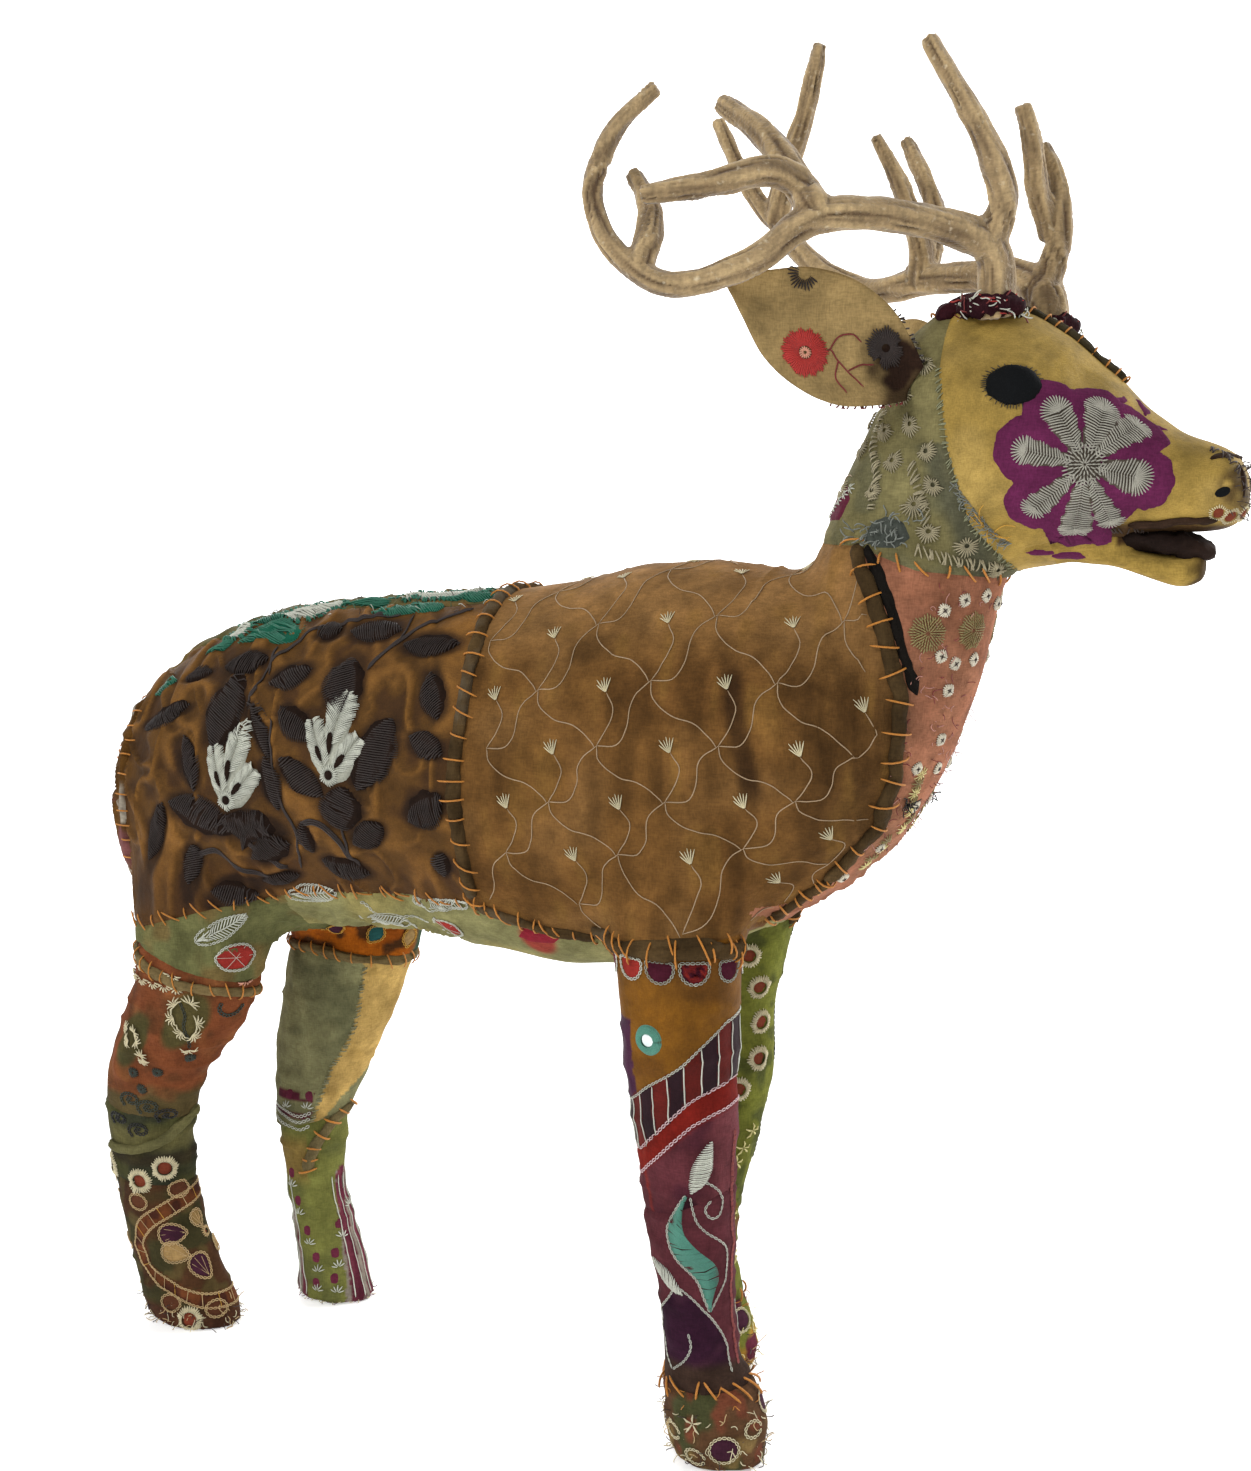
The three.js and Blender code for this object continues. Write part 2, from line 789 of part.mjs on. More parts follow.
// Rolled bindings laid over the seams, flattened where they lie on the cloth.
const roll = (points) => {
  const tube = branch({ points: points.map((p) => p.toArray()), root: BINDING, tip: BINDING }, 0, 15, 6);
  return largest(tube.subtract(clear));
};
const collarLine = (side) =>
  COLLAR_SEAM.slice(1).map(([x, z]) => flank(x, z, side));
const waistPoint = (angle) => {
  const middle = new THREE.Vector3(WAIST_X, 0, 356);
  const outward = new THREE.Vector3(0, Math.sin(angle), Math.cos(angle));
  return firstHit(middle.clone().addScaledVector(outward, FAR), outward.negate());
};
const steps = (from, to, count) =>
  Array.from({ length: count + 1 }, (_, i) => THREE.MathUtils.lerp(from, to, i / count));
const waistLine = steps(-WAIST_BINDING_ANGLE, WAIST_BINDING_ANGLE, 16).map(waistPoint);
const browLine = steps(...BROW_BINDING_X, 5).map((x) => crest(x, 0));
place("waist_binding", roll(waistLine), "binding");
place("collar_binding_right", roll(collarLine(-1)), "binding");
place("collar_binding_left", roll(collarLine(1)), "binding");
place("brow_binding", roll(browLine), "binding");

// Eyes are oval buttons and the mirror a round disc, both lying on the cloth.
for (const [name, side] of [["eye_right", -1], ["eye_left", 1]]) {
  const { x, z, long, high, deep } = EYE;
  const button = new THREE.SphereGeometry(1, 14, 7);
  button.scale(long, deep, high);
  button.translate(...flank(x, z, side).toArray());
  place(name, largest(solid(button).subtract(clear)), "black");
}
const mirrorAt = flank(MIRROR.x, MIRROR.z, -1);
const disc = new THREE.CylinderGeometry(MIRROR.radius, MIRROR.radius, MIRROR.thick, 20);
disc.translate(mirrorAt.x, mirrorAt.y - MIRROR.thick, mirrorAt.z);
place("shisha_mirror", largest(solid(disc).subtract(clear)), "mirror");

for (const { name, material, patch } of sewn) place(name, patch, material);

// The origin is the middle of the footprint, on the ground under the soles.
const bounds = new THREE.Box3().setFromObject(stag);
const centre = bounds.getCenter(new THREE.Vector3());
for (const mesh of stag.children) mesh.geometry.translate(-centre.x, -centre.y, -bounds.min.z);

export default stag;
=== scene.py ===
"""A standing stag made of papier-mache forms under a patchwork of embroidered cloth.

Tables are in millimetres in the maker's frame: +X the way the nose points, +Y to the stag's left, +Z up.
place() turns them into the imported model's frame in metres.
"""

import math

import bmesh
import bpy
import numpy as np
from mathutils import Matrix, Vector
from mathutils.bvhtree import BVHTree
from mathutils.geometry import delaunay_2d_cdt


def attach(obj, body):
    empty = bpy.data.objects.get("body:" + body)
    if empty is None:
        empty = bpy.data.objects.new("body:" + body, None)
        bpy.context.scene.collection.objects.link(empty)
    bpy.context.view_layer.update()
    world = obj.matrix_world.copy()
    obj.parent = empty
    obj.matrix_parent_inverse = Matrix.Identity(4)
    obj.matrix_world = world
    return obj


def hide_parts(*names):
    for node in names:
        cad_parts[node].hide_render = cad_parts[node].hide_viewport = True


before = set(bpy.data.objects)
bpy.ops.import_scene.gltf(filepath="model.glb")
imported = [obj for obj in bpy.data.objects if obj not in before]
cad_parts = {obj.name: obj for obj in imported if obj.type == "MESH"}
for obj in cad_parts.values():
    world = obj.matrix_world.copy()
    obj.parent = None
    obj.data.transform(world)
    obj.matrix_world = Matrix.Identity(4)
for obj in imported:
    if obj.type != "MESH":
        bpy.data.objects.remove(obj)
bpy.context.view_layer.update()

# ---- Frame ----
MM = 0.001
FOOT_CENTRE = np.array([75.04, -2.74, 8.0])  # the row frame's origin, in the maker's frame
AXIS_Z = 356.0  # height of the torso's long axis
FLANK_R = 90.0  # millimetres of cloth to one radian round the torso
RIGHT, LEFT = -1, 1
SIDE_NAMES = {RIGHT: "right", LEFT: "left"}


def place(points):
    """Maker's millimetres to row-frame metres."""
    return (np.asarray(points, float) - FOOT_CENTRE) * MM


# ---- Shape tables ----
# Torso: x, top z, bottom z, half width.
TORSO = [
    (-240, 350, 298, 17), (-233, 376, 274, 37), (-216, 403, 254, 54), (-180, 426, 244, 70),
    (-135, 444, 250, 77), (-85, 451, 260, 77), (-30, 456, 261, 75), (25, 459, 254, 77),
    (65, 464, 250, 79), (105, 473, 254, 80), (145, 475, 266, 80), (185, 471, 284, 76),
    (222, 466, 309, 66), (247, 458, 334, 50), (265, 444, 364, 34), (275, 424, 388, 17),
]
# Neck: x, z, half depth, half width, square to the neck's line.
NECK = [(223, 393, 51, 50), (237, 435, 51, 48), (249, 471, 47, 44), (260, 505, 46, 41), (270, 540, 40, 38)]
# Head: x, top z, bottom z, half width.
HEAD = [
    (238, 566, 520, 18), (246, 584, 500, 32), (262, 597, 480, 42), (285, 601, 469, 47),
    (308, 594, 470, 47), (328, 580, 474, 43), (346, 565, 479, 36), (362, 547, 484, 29),
    (378, 534, 489, 25), (394, 529, 489, 23), (403, 524, 492, 20), (408, 514, 500, 11),
]
JAW = [(330, 484, 474, 14), (348, 482, 473, 18), (366, 479, 466, 17), (381, 478, 461, 15),
       (390, 480, 466, 11)]
# The cheek where it closes the corner of the mouth: x, z, half height, half width.
MOUTH_WEB = [(322, 486, 8, 21), (336, 485, 9, 21), (348, 484, 8, 20), (356, 484, 5, 17), (359, 484, 2, 13)]
# Legs: z, x, distance from the middle, half length, half width.
LEGS = {
    "front_right": (RIGHT, [
        (345, 146, 46, 46, 28), (300, 144, 52, 40, 29), (275, 144, 54, 35, 29), (235, 146, 54, 31, 27),
        (193, 148, 54, 28, 25), (150, 150, 53, 25, 23), (112, 153, 52, 21, 21), (80, 156, 51, 19, 20),
        (58, 158, 51, 20, 20), (46, 162, 51, 25, 22), (22, 166, 51, 27, 24), (8, 168, 51, 25, 22),
    ]),
    "front_left": (LEFT, [
        (345, 142, 44, 44, 28), (300, 140, 48, 40, 29), (275, 139, 49, 36, 28), (226, 130, 49, 31, 26),
        (180, 129, 49, 30, 24), (136, 125, 48, 25, 22), (105, 120, 47, 22, 20), (70, 118, 46, 20, 19),
        (46, 124, 46, 22, 20), (22, 129, 46, 24, 22), (8, 130, 46, 23, 21),
    ]),
    "rear_right": (RIGHT, [
        (330, -160, 34, 56, 30), (285, -160, 42, 50, 32), (240, -164, 44, 42, 30), (204, -179, 43, 41, 27),
        (165, -203, 41, 33, 23), (140, -211, 39, 30, 21), (110, -213, 37, 28, 20), (75, -208, 35, 27, 20),
        (45, -199, 33, 29, 20), (20, -190, 32, 32, 21), (8, -186, 32, 30, 20),
    ]),
    "rear_left": (LEFT, [
        (330, -115, 34, 52, 30), (285, -110, 40, 50, 32), (245, -112, 42, 46, 31), (200, -124, 40, 40, 26),
        (160, -136, 38, 32, 23), (124, -144, 36, 24, 20), (95, -143, 35, 20, 18), (72, -140, 34, 18, 18),
        (35, -131, 33, 21, 19), (8, -125, 32, 25, 20),
    ]),
}
# Seams as they run on the flank: x, z.
WAIST_X, RUMP_END_X, THIGH_FRONT_X = 28, -208, -60
BACK_HALF = 26
BELLY_SEAM = [(-300, 262), (-189, 261), (-139, 275), (-84, 287), (-20, 291), (28, 289), (68, 279),
              (100, 276), (180, 288), (217, 314)]
COLLAR_SEAM = [(217, 314), (244, 343), (254, 371), (257, 410), (246, 450), (232, 482)]
NECK_SEAM = [(160, 486), (232, 482), (262, 470), (330, 462)]
FACE_SEAM = [(272, 640), (270, 565), (276, 527), (286, 492), (300, 474), (312, 440)]
MOUTH_SEAM = [(300, 478), (336, 486), (420, 485)]
LEG_SEAMS = {
    "front_right": [[(60, 160), (130, 174), (162, 205), (260, 262)], [(60, 128), (150, 144), (260, 190)],
                    [(60, 44), (260, 54)]],
    "front_left": [[(60, 112), (260, 100)], [(60, 50), (260, 46)]],
    "rear_right": [[(-300, 262), (-190, 248), (-118, 226), (-60, 214)], [(-300, 152), (-120, 132)],
                   [(-300, 98), (-120, 96)]],
    "rear_left": [[(-260, 240), (-20, 228)], [(-260, 92), (-20, 150)]],
}
# Antler branches: centre line, then the radius at the root and at the tip.
ANTLERS = {
    "antler_right": [
        ([(293, -21, 590), (290, -26, 622), (257, -55, 633), (221, -78, 632), (195, -90, 612),
          (160, -101, 602),
          (134, -105, 617), (121, -106, 644), (130, -102, 674), (149, -95, 693)], 9.5, 4.2),
        ([(144, -103, 612), (147, -98, 628), (143, -91, 642), (132, -84, 658)], 7, 4.5),
        ([(286, -25, 620), (297, -29, 640), (293, -35, 660), (279, -38, 688), (262, -38, 717)], 8.5, 4),
        ([(221, -78, 635), (208, -71, 653), (190, -61, 675), (164, -50, 695)], 9, 5),
        ([(214, -76, 648), (200, -87, 653), (172, -99, 646), (146, -106, 643)], 7.5, 5),
    ],
    "antler_left": [
        ([(310, 23, 585), (307, 26, 606), (292, 35, 617), (268, 52, 621), (236, 67, 623), (204, 80, 621),
          (177, 90, 632), (157, 96, 647), (142, 98, 665), (125, 98, 686), (107, 92, 724)], 10, 4.5),
        ([(305, 26, 606), (313, 29, 632), (311, 33, 659), (302, 36, 681)], 8, 4),
        ([(309, 30, 634), (303, 22, 657), (301, 14, 676), (297, 8, 694)], 6.5, 4.5),
        ([(234, 67, 624), (234, 62, 645), (226, 55, 668), (213, 48, 696)], 7.5, 3.5),
        ([(232, 70, 625), (240, 74, 648), (235, 79, 670), (219, 86, 702)], 7.5, 4),
        ([(141, 98, 664), (150, 91, 692), (164, 81, 722), (174, 74, 754)], 8, 3.8),
    ],
}
ANTLER_NODES = {
    "antler_right": ["antler_right_beam", "antler_right_brow", "antler_right_fork"],
    "antler_left": ["antler_left_beam", "antler_left_brow", "antler_left_mid_tine", "antler_left_outer_tine",
                    "antler_left_back_tine"],
}
EYE = (307, 556)
CHAIN_RISE = [250, 244, 233, 222, 212, 199, 196, 240]  # height of the chain line round the front right leg
DYE = 0.74  # how deep the cloth is dyed


# ---- Numbers ----
def smooth_noise(points, size, seed=0):
    """Value noise from -1 to 1 that varies over about size."""
    table = np.random.default_rng(seed).uniform(-1, 1, 4096)
    q = np.asarray(points, float) / size
    cell = np.floor(q).astype(int)
    f = q - cell
    f = f * f * (3 - 2 * f)
    total = 0.0
    for i in range(8):
        d = np.array([i & 1, i >> 1 & 1, i >> 2 & 1])
        c = cell + d
        key = (c[:, 0] * 73 + c[:, 1] * 179 + c[:, 2] * 283) % 4096
        w = np.prod(np.where(d == 1, f, 1 - f), axis=1)
        total = total + table[key] * w
    return total


def smoothstep(edge0, edge1, x):
    t = np.clip((np.asarray(x, float) - edge0) / (edge1 - edge0), 0, 1)
    return t * t * (3 - 2 * t)


def resample(points, step):
    """The same line with a point every step or so."""
    points = np.asarray(points, float)
    lengths = np.linalg.norm(np.diff(points, axis=0), axis=1)
    at = np.concatenate([[0], np.cumsum(lengths)])
    count = max(2, int(round(at[-1] / step)) + 1)
    new = np.linspace(0, at[-1], count)
    return np.stack([np.interp(new, at, points[:, k]) for k in range(points.shape[1])], axis=1)


def curve(points, step=2.0):
    """A smooth line through the points (Catmull-Rom), evenly stepped."""
    p = np.asarray(points, float)
    if len(p) < 3:
        return resample(p, step)
    ext = np.vstack([2 * p[0] - p[1], p, 2 * p[-1] - p[-2]])
    t = np.linspace(0, 1, 12, endpoint=False)[:, None]
    out = []
    for a, b, c, d in zip(ext, ext[1:], ext[2:], ext[3:]):
        out.append(
            0.5 * (2 * b + (c - a) * t + (2 * a - 5 * b + 4 * c - d) * t**2 + (3 * b - a - 3 * c + d) * t**3))
    return resample(np.vstack(out + [p[-1:]]), step)


def full_turn(count):
    """Angles evenly round a circle, in radians."""
    return np.linspace(0, 2 * math.pi, count, endpoint=False)


def toward(angle):
    """A flat step of length one; the angle is in radians."""
    return np.array([math.cos(angle), math.sin(angle)])


def turned(points, degrees, scale=1.0, at=(0, 0)):
    """2-D points turned about the origin, scaled and moved."""
    a = math.radians(degrees)
    m = np.array([[math.cos(a), math.sin(a)], [-math.sin(a), math.cos(a)]]) * scale
    return np.asarray(points, float) @ m + np.asarray(at, float)


# ---- Meshes ----
def new_object(name, verts, faces, material=None, body="root", nodes=(), smooth=True):
    mesh = bpy.data.meshes.new(name)
    mesh.from_pydata([tuple(v) for v in verts], [], [tuple(f) for f in faces])
    mesh.update()
    if smooth:
        mesh.shade_smooth()
    obj = bpy.data.objects.new(name, mesh)
    bpy.context.scene.collection.objects.link(obj)
    if material:
        mesh.materials.append(material)
    if body:
        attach(obj, body)
    if nodes:
        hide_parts(*nodes)
    return obj


def loft_mesh(centres, us, vs, sides):
    """Closed tube over rings centre + cos*u + sin*v."""
    t = full_turn(sides)
    rings = centres[:, None] + np.cos(t)[None, :, None] * us[:, None] + np.sin(t)[None, :, None] * vs[:, None]
    n = len(centres)
    verts = rings.reshape(-1, 3)
    faces = []
    for i in range(n - 1):
        for k in range(sides):
            a, b = i * sides + k, i * sides + (k + 1) % sides
            faces.append((a, b, b + sides, a + sides))
    faces.append(tuple(range(sides - 1, -1, -1)))
    faces.append(tuple(range((n - 1) * sides, n * sides)))
    return verts, faces


def softened(table, step=3.0, rounds=3):
    """A station table filled in finely, with its corners eased."""
    dense = resample(table, step)
    for _ in range(rounds):
        inner = (dense[:-2] + 2 * dense[1:-1] + dense[2:]) / 4
        dense = np.vstack([dense[:1], inner, dense[-1:]])
    return dense


def join_lofts(lofts):
    verts, faces = [], []
    for v, f in lofts:
        base = len(verts)
        verts.extend(v)
        faces.extend(tuple(i + base for i in face) for face in f)
    return verts, faces


BODY_SIDES, LIMB_SIDES = 96, 64


def body_lofts():
    ex, ey, ez = np.eye(3)
    out = []
    for table in (TORSO, HEAD, JAW):
        s = softened(table)
        centres = np.stack([s[:, 0], 0 * s[:, 0], (s[:, 1] + s[:, 2]) / 2], axis=1)
        out.append(loft_mesh(centres, s[:, 3:4] * ey, (s[:, 1:2] - s[:, 2:3]) / 2 * ez, BODY_SIDES))
    web = softened(MOUTH_WEB, 2.0, 2)
    centres = np.stack([web[:, 0], 0 * web[:, 0], web[:, 1]], axis=1)
    out.append(loft_mesh(centres, web[:, 3:4] * ey, web[:, 2:3] * ez, LIMB_SIDES))
    s = softened(NECK)
    along = np.array([NECK[-1][0] - NECK[0][0], 0, NECK[-1][1] - NECK[0][1]], float)
    across = np.array([along[2], 0, -along[0]]) / np.linalg.norm(along)
    centres = np.stack([s[:, 0], 0 * s[:, 0], s[:, 1]], axis=1)
    out.append(loft_mesh(centres, s[:, 3:4] * ey, s[:, 2:3] * across, BODY_SIDES))
    for side, table in LEGS.values():
        s = softened(table)
        centres = np.stack([s[:, 1], side * s[:, 2], s[:, 0]], axis=1)
        out.append(loft_mesh(centres, s[:, 3:4] * ex, s[:, 4:5] * ey, LIMB_SIDES))
    return join_lofts(out)


def remeshed(name, verts, faces, voxel):
    """One even skin round overlapping closed shapes: points in millimetres, quads."""
    obj = new_object(name, np.asarray(verts) * MM, faces, body=None)
    mod = obj.modifiers.new("skin", "REMESH")
    mod.mode = "VOXEL"
    mod.voxel_size = voxel * MM
    deps = bpy.context.evaluated_depsgraph_get()
    made = obj.evaluated_get(deps).to_mesh()
    co = np.empty(len(made.vertices) * 3)
    made.vertices.foreach_get("co", co)
    quads = np.array([tuple(p.vertices) for p in made.polygons])
    bpy.data.objects.remove(obj)
    return co.reshape(-1, 3) / MM, quads


def edges_of(quads):
    e = np.vstack([quads[:, [k, (k + 1) % quads.shape[1]]] for k in range(quads.shape[1])])
    return np.unique(np.sort(e, axis=1), axis=0)


def relaxed(co, edges, weight, rounds):
    """Points eased towards their neighbours' middle, weight from 0 to 1 at each."""
    n = len(co)
    a, b = edges[:, 0], edges[:, 1]
    count = np.bincount(a, minlength=n) + np.bincount(b, minlength=n)
    w = np.broadcast_to(np.asarray(weight, float), (n,))[:, None]
    for _ in range(rounds):
        total = np.stack([
            np.bincount(a, co[b, k], n) + np.bincount(b, co[a, k], n) for k in range(3)
        ], axis=1)
        co = co + w * (total / count[:, None] - co)
    return co


def normals_of(co, quads):
    a, b, c, d = (co[quads[:, k]] for k in range(4))
    n = np.cross(c - a, d - b)
    out = np.stack([
        sum(np.bincount(quads[:, k], n[:, j], len(co)) for k in range(4)) for j in range(3)
    ], axis=1)
    return out / np.maximum(np.linalg.norm(out, axis=1, keepdims=True), 1e-9)


def line_reach(points_xz, line):
    """Distance of each point from a line in the XZ plane, with the vector to it."""
    p = np.asarray(points_xz, float)
    line = np.asarray(line, float)
    best = np.full(len(p), 1e9)
    move = np.zeros((len(p), 2))
    for a, b in zip(line, line[1:]):
        d = b - a
        t = np.clip(((p - a) @ d) / (d @ d), 0, 1)
        v = a + t[:, None] * d - p
        dist = np.hypot(v[:, 0], v[:, 1])
        near = dist < best
        best[near] = dist[near]
        move[near] = v[near]
    return best, move


def height_of(line, x):
    line = np.asarray(line, float)
    return np.interp(x, line[:, 0], line[:, 1])


# ---- The skin ----
VOXEL = 1.9  # the skin's grain, in millimetres
EASE, EASE_ROUNDS = 0.6, 8  # smoothing of the whole skin
JOINT_EASE, JOINT_ROUNDS = 0.65, 70  # smoothing where legs and neck join the body


def build_skin():
    co, quads = remeshed("skin_source", *body_lofts(), VOXEL)
    edges = edges_of(quads)
    x, y, z = co.T
    joint = np.zeros(len(co))
    for side, table in LEGS.values():
        top = table[2]
        reach = np.hypot((x - top[1]) / (top[3] + 14), (y - side * top[2]) / (top[4] + 22))
        joint = np.maximum(joint, smoothstep(1.5, 0.9, reach) * smoothstep(52, 10, abs(z - top[0] - 4)))
    throat = smoothstep(60, 25, np.hypot(x - 222, z - 470)) + smoothstep(30, 12, np.hypot(x - 292, z - 478))
    joint = np.maximum(joint, np.clip(throat, 0, 1))
    co = relaxed(co, edges, EASE, EASE_ROUNDS)
    co = relaxed(co, edges, JOINT_EASE * joint, JOINT_ROUNDS)
    return co, quads


def puckers(co):
    """Pull folds of the rump cloth, between its appliques: 1 on a ridge, falling to 0 beside it."""
    x, y, z = co.T
    s = FLANK_R * np.arctan2(z - AXIS_Z, np.abs(y))
    flat = np.stack([x, s, np.where(y < 0, 0.0, 500.0)], axis=1)
    steep = smooth_noise(flat * [1, 0.42, 1] + 31, 17, 5)
    slanted = smooth_noise(np.stack([x * 0.8 + s * 0.5, s * 0.8 - x * 0.5, flat[:, 2]], 1) * [1, 0.5, 1]
                           + 77, 12, 6)
    ridge = np.maximum(np.exp(-((steep / 0.16) ** 2)), 0.8 * np.exp(-((slanted / 0.14) ** 2)))
    for cx, cs, _, _ in RUMP_FLOWERS:
        ridge = ridge * smoothstep(17, 32, np.hypot(x - cx - 3, s - cs - 16))
    return ridge


def leaf_cover(x, s):
    """How far a place on the rump lies under an applique leaf: 1 inside, 0 outside."""
    cover = np.zeros(len(x))
    for cx, cs, length, width, lean in RUMP_LEAVES:
        a = math.radians(lean)
        along = (x - cx) * math.sin(a) + (s - cs) * math.cos(a)
        across = (x - cx) * math.cos(a) - (s - cs) * math.sin(a)
        cover = np.maximum(cover,
                           smoothstep(1.45, 0.95, np.hypot(along / (length / 2), across / (width / 2))))
    return cover


def sculpt(co, quads):
    n = normals_of(co, quads)
    x, y, z = co.T
    torso = (z > 250) & (x < 262) & (z < 482)
    rump = torso * smoothstep(WAIST_X + 2, WAIST_X - 12, x)
    s = FLANK_R * np.arctan2(z - AXIS_Z, np.abs(y))
    side_key = np.where(y < 0, 0.0, 500.0)
    flat = np.stack([x, s, side_key], axis=1)
    bulge = 0.9 * smooth_noise(co, 38, 3) + 0.5 * smooth_noise(co, 17, 4)
    folds = rump * (3.0 * puckers(co) * (1 - 0.6 * leaf_cover(x, s)) - 0.9)
    folds = folds * smoothstep(WAIST_X, WAIST_X - 30, x)
    front = torso * smoothstep(150, 200, x) * smoothstep(262, 236, x)
    drape = 1 - np.abs(smooth_noise(flat * [1, 0.16, 1] + 13, 11, 8))
    folds = folds + front * 2.2 * (drape**5 - 0.25)
    elbow = np.exp(-(((x - 178) / 7) ** 2)) * np.exp(-(((s - 18) / 26) ** 2)) * torso
    folds = folds - 2.6 * elbow
    legs = smoothstep(262, 236, z)
    rings = 1 - np.abs(smooth_noise(co * [0.35, 0.35, 1] + 9, 12, 9))
    folds = folds + legs * (1.3 * (rings**4 - 0.3) + 0.7 * smooth_noise(co, 9, 10))
    hock = legs * (x < 0) * np.exp(-(((z - 122) / 16) ** 2))
    folds = folds + hock * 1.3 * (rings**2 - 0.4)
    head = (x > 262) & (z > 466)
    brow = np.hypot(x - EYE[0], (z - EYE[1] - 3) * 1.25)
    face = np.zeros(len(co))
    face += head * 2.2 * np.exp(-((brow / 15) ** 2)) * (np.abs(y) > 20)
    face -= head * 1.6 * np.exp(-((np.hypot(x - 336, z - 561) / 7) ** 2))
    face -= head * 2.4 * np.exp(-((np.hypot(x - 396, z - 505) / 4.5) ** 2)) * (np.abs(y) > 10)
    face -= head * 1.6 * np.exp(-((np.hypot(x - 386, z - 504) / 3) ** 2)) * (np.abs(y) > 12)
    cheek = head * np.exp(-((np.hypot(x - 372, (z - 500) * 1.2) / 15) ** 2))
    face += 0.9 * cheek
    co = co + n * (np.clip(bulge, -2, 2) * 0.8 + folds + 1.3 * face)[:, None]
    return co


def snap_to_seams(co):
    """Points near a seam are moved onto it, so that the cloth parts along a clean line."""
    x, y, z = co.T
    reach = 0.62 * VOXEL
    depth = np.full(len(co), 1e9)

    def snap(where, line):
        nonlocal co, depth
        dist, move = line_reach(co[:, [0, 2]], line)
        depth = np.where(where, np.minimum(depth, dist), depth)
        near = where & (dist < reach)
        co[near, 0] += move[near, 0]
        co[near, 2] += move[near, 1]

    trunk = z > 240
    snap(trunk, [(WAIST_X, 288), (WAIST_X, 520)])
    snap(trunk & (z < 425), [(RUMP_END_X, 240), (RUMP_END_X, 420)])
    for line in (BELLY_SEAM, COLLAR_SEAM, NECK_SEAM, FACE_SEAM):
        snap(trunk, line)
    snap((np.abs(y) < 30) & (x > 310), MOUTH_SEAM)
    for name, lines in LEG_SEAMS.items():
        side = LEGS[name][0]
        inside = (np.sign(y) == side) & ((x > 60) == name.startswith("front")) & (z < 275)
        for line in lines:
            snap(inside, line)
    back = (x > RUMP_END_X) & (x < WAIST_X) & (z > 392)
    for edge in (-BACK_HALF, BACK_HALF):
        near = back & (np.abs(y - edge) < reach)
        co[near, 1] = edge
        depth = np.where(back, np.minimum(depth, np.abs(y - edge)), depth)
    return co, depth


def panel_of(co):
    """The name of the patch that each point belongs to."""
    x, y, z = co.T
    side = np.where(y < 0, "right", "left")
    out = np.full(len(co), "belly_panel", dtype=object)
    above = z > height_of(BELLY_SEAM, x)
    trunk = above & (x > RUMP_END_X)
    mid = (x >= WAIST_X)
    out[trunk & mid] = np.char.add("side_panel_", side.astype(str))[trunk & mid]
    out[trunk & ~mid] = np.char.add("rump_panel_", side.astype(str))[trunk & ~mid]
    out[trunk & ~mid & (np.abs(y) < BACK_HALF) & (z > 392)] = "back_panel"
    collar_x = np.interp(z, [p[1] for p in COLLAR_SEAM], [p[0] for p in COLLAR_SEAM])
    out[(x > collar_x) & (z > 300)] = "chest_panel"
    out[(z < 300) & (x > 183)] = "chest_panel"
    out[(z <= height_of(BELLY_SEAM, x)) & (x > 183)] = "chest_panel"
    out[z > np.where(x > 160, height_of(NECK_SEAM, x), 1e9)] = "neck_panel"
    face_line = sorted(FACE_SEAM, key=lambda p: p[1])
    face_x = np.interp(z, [p[1] for p in face_line], [p[0] for p in face_line])
    is_face = (x > face_x) & (z > 466)
    out[is_face] = np.char.add("face_panel_", side.astype(str))[is_face]
    out[(z < height_of(MOUTH_SEAM, x)) & (x > 322) & (z > 455)] = "jaw_cover"
    out[(x <= RUMP_END_X) & (z > 252)] = "rump_end_panel"
    for name, (s, table) in LEGS.items():
        rows = np.array(table)[::-1]
        cx = np.interp(z, rows[:, 0], rows[:, 1])
        here = (np.sign(y) == s) & ((x > 60) == name.startswith("front")) & (z < height_of(BELLY_SEAM, x))
        here &= np.abs(x - cx) < 62
        if name.startswith("front"):
            here &= (x > 97) & (x < 183) & (np.abs(y) > 20)
            names = {"front_right": ["upper_sleeve", "middle_sleeve", "lower_sleeve", "hoof_cover"],
                     "front_left": ["upper_sleeve", "lower_sleeve", "hoof_cover"]}[name]
        else:
            here &= (x < THIGH_FRONT_X) & (x > RUMP_END_X - 40)
            names = {"rear_right": ["thigh_sleeve", "shank_sleeve", "hock_cuff", "lower_sleeve"],
                     "rear_left": ["thigh_sleeve", "shank_sleeve", "lower_sleeve"]}[name]
        here |= (np.sign(y) == s) & ((x > 60) == name.startswith("front")) & (z < 236)
        level = np.zeros(len(co), int)
        for line in LEG_SEAMS[name]:
            level += z < height_of(line, x)
        for i, part in enumerate(names):
            out[here & (level == i)] = f"{name}_{part}"
    return out


# ---- Materials ----
def hex_rgb(text):
    """The linear colour of a web colour."""
    c = np.array([int(text[i:i + 2], 16) for i in (0, 2, 4)]) / 255
    return tuple(np.where(c <= 0.04045, c / 12.92, ((c + 0.055) / 1.055) ** 2.4))


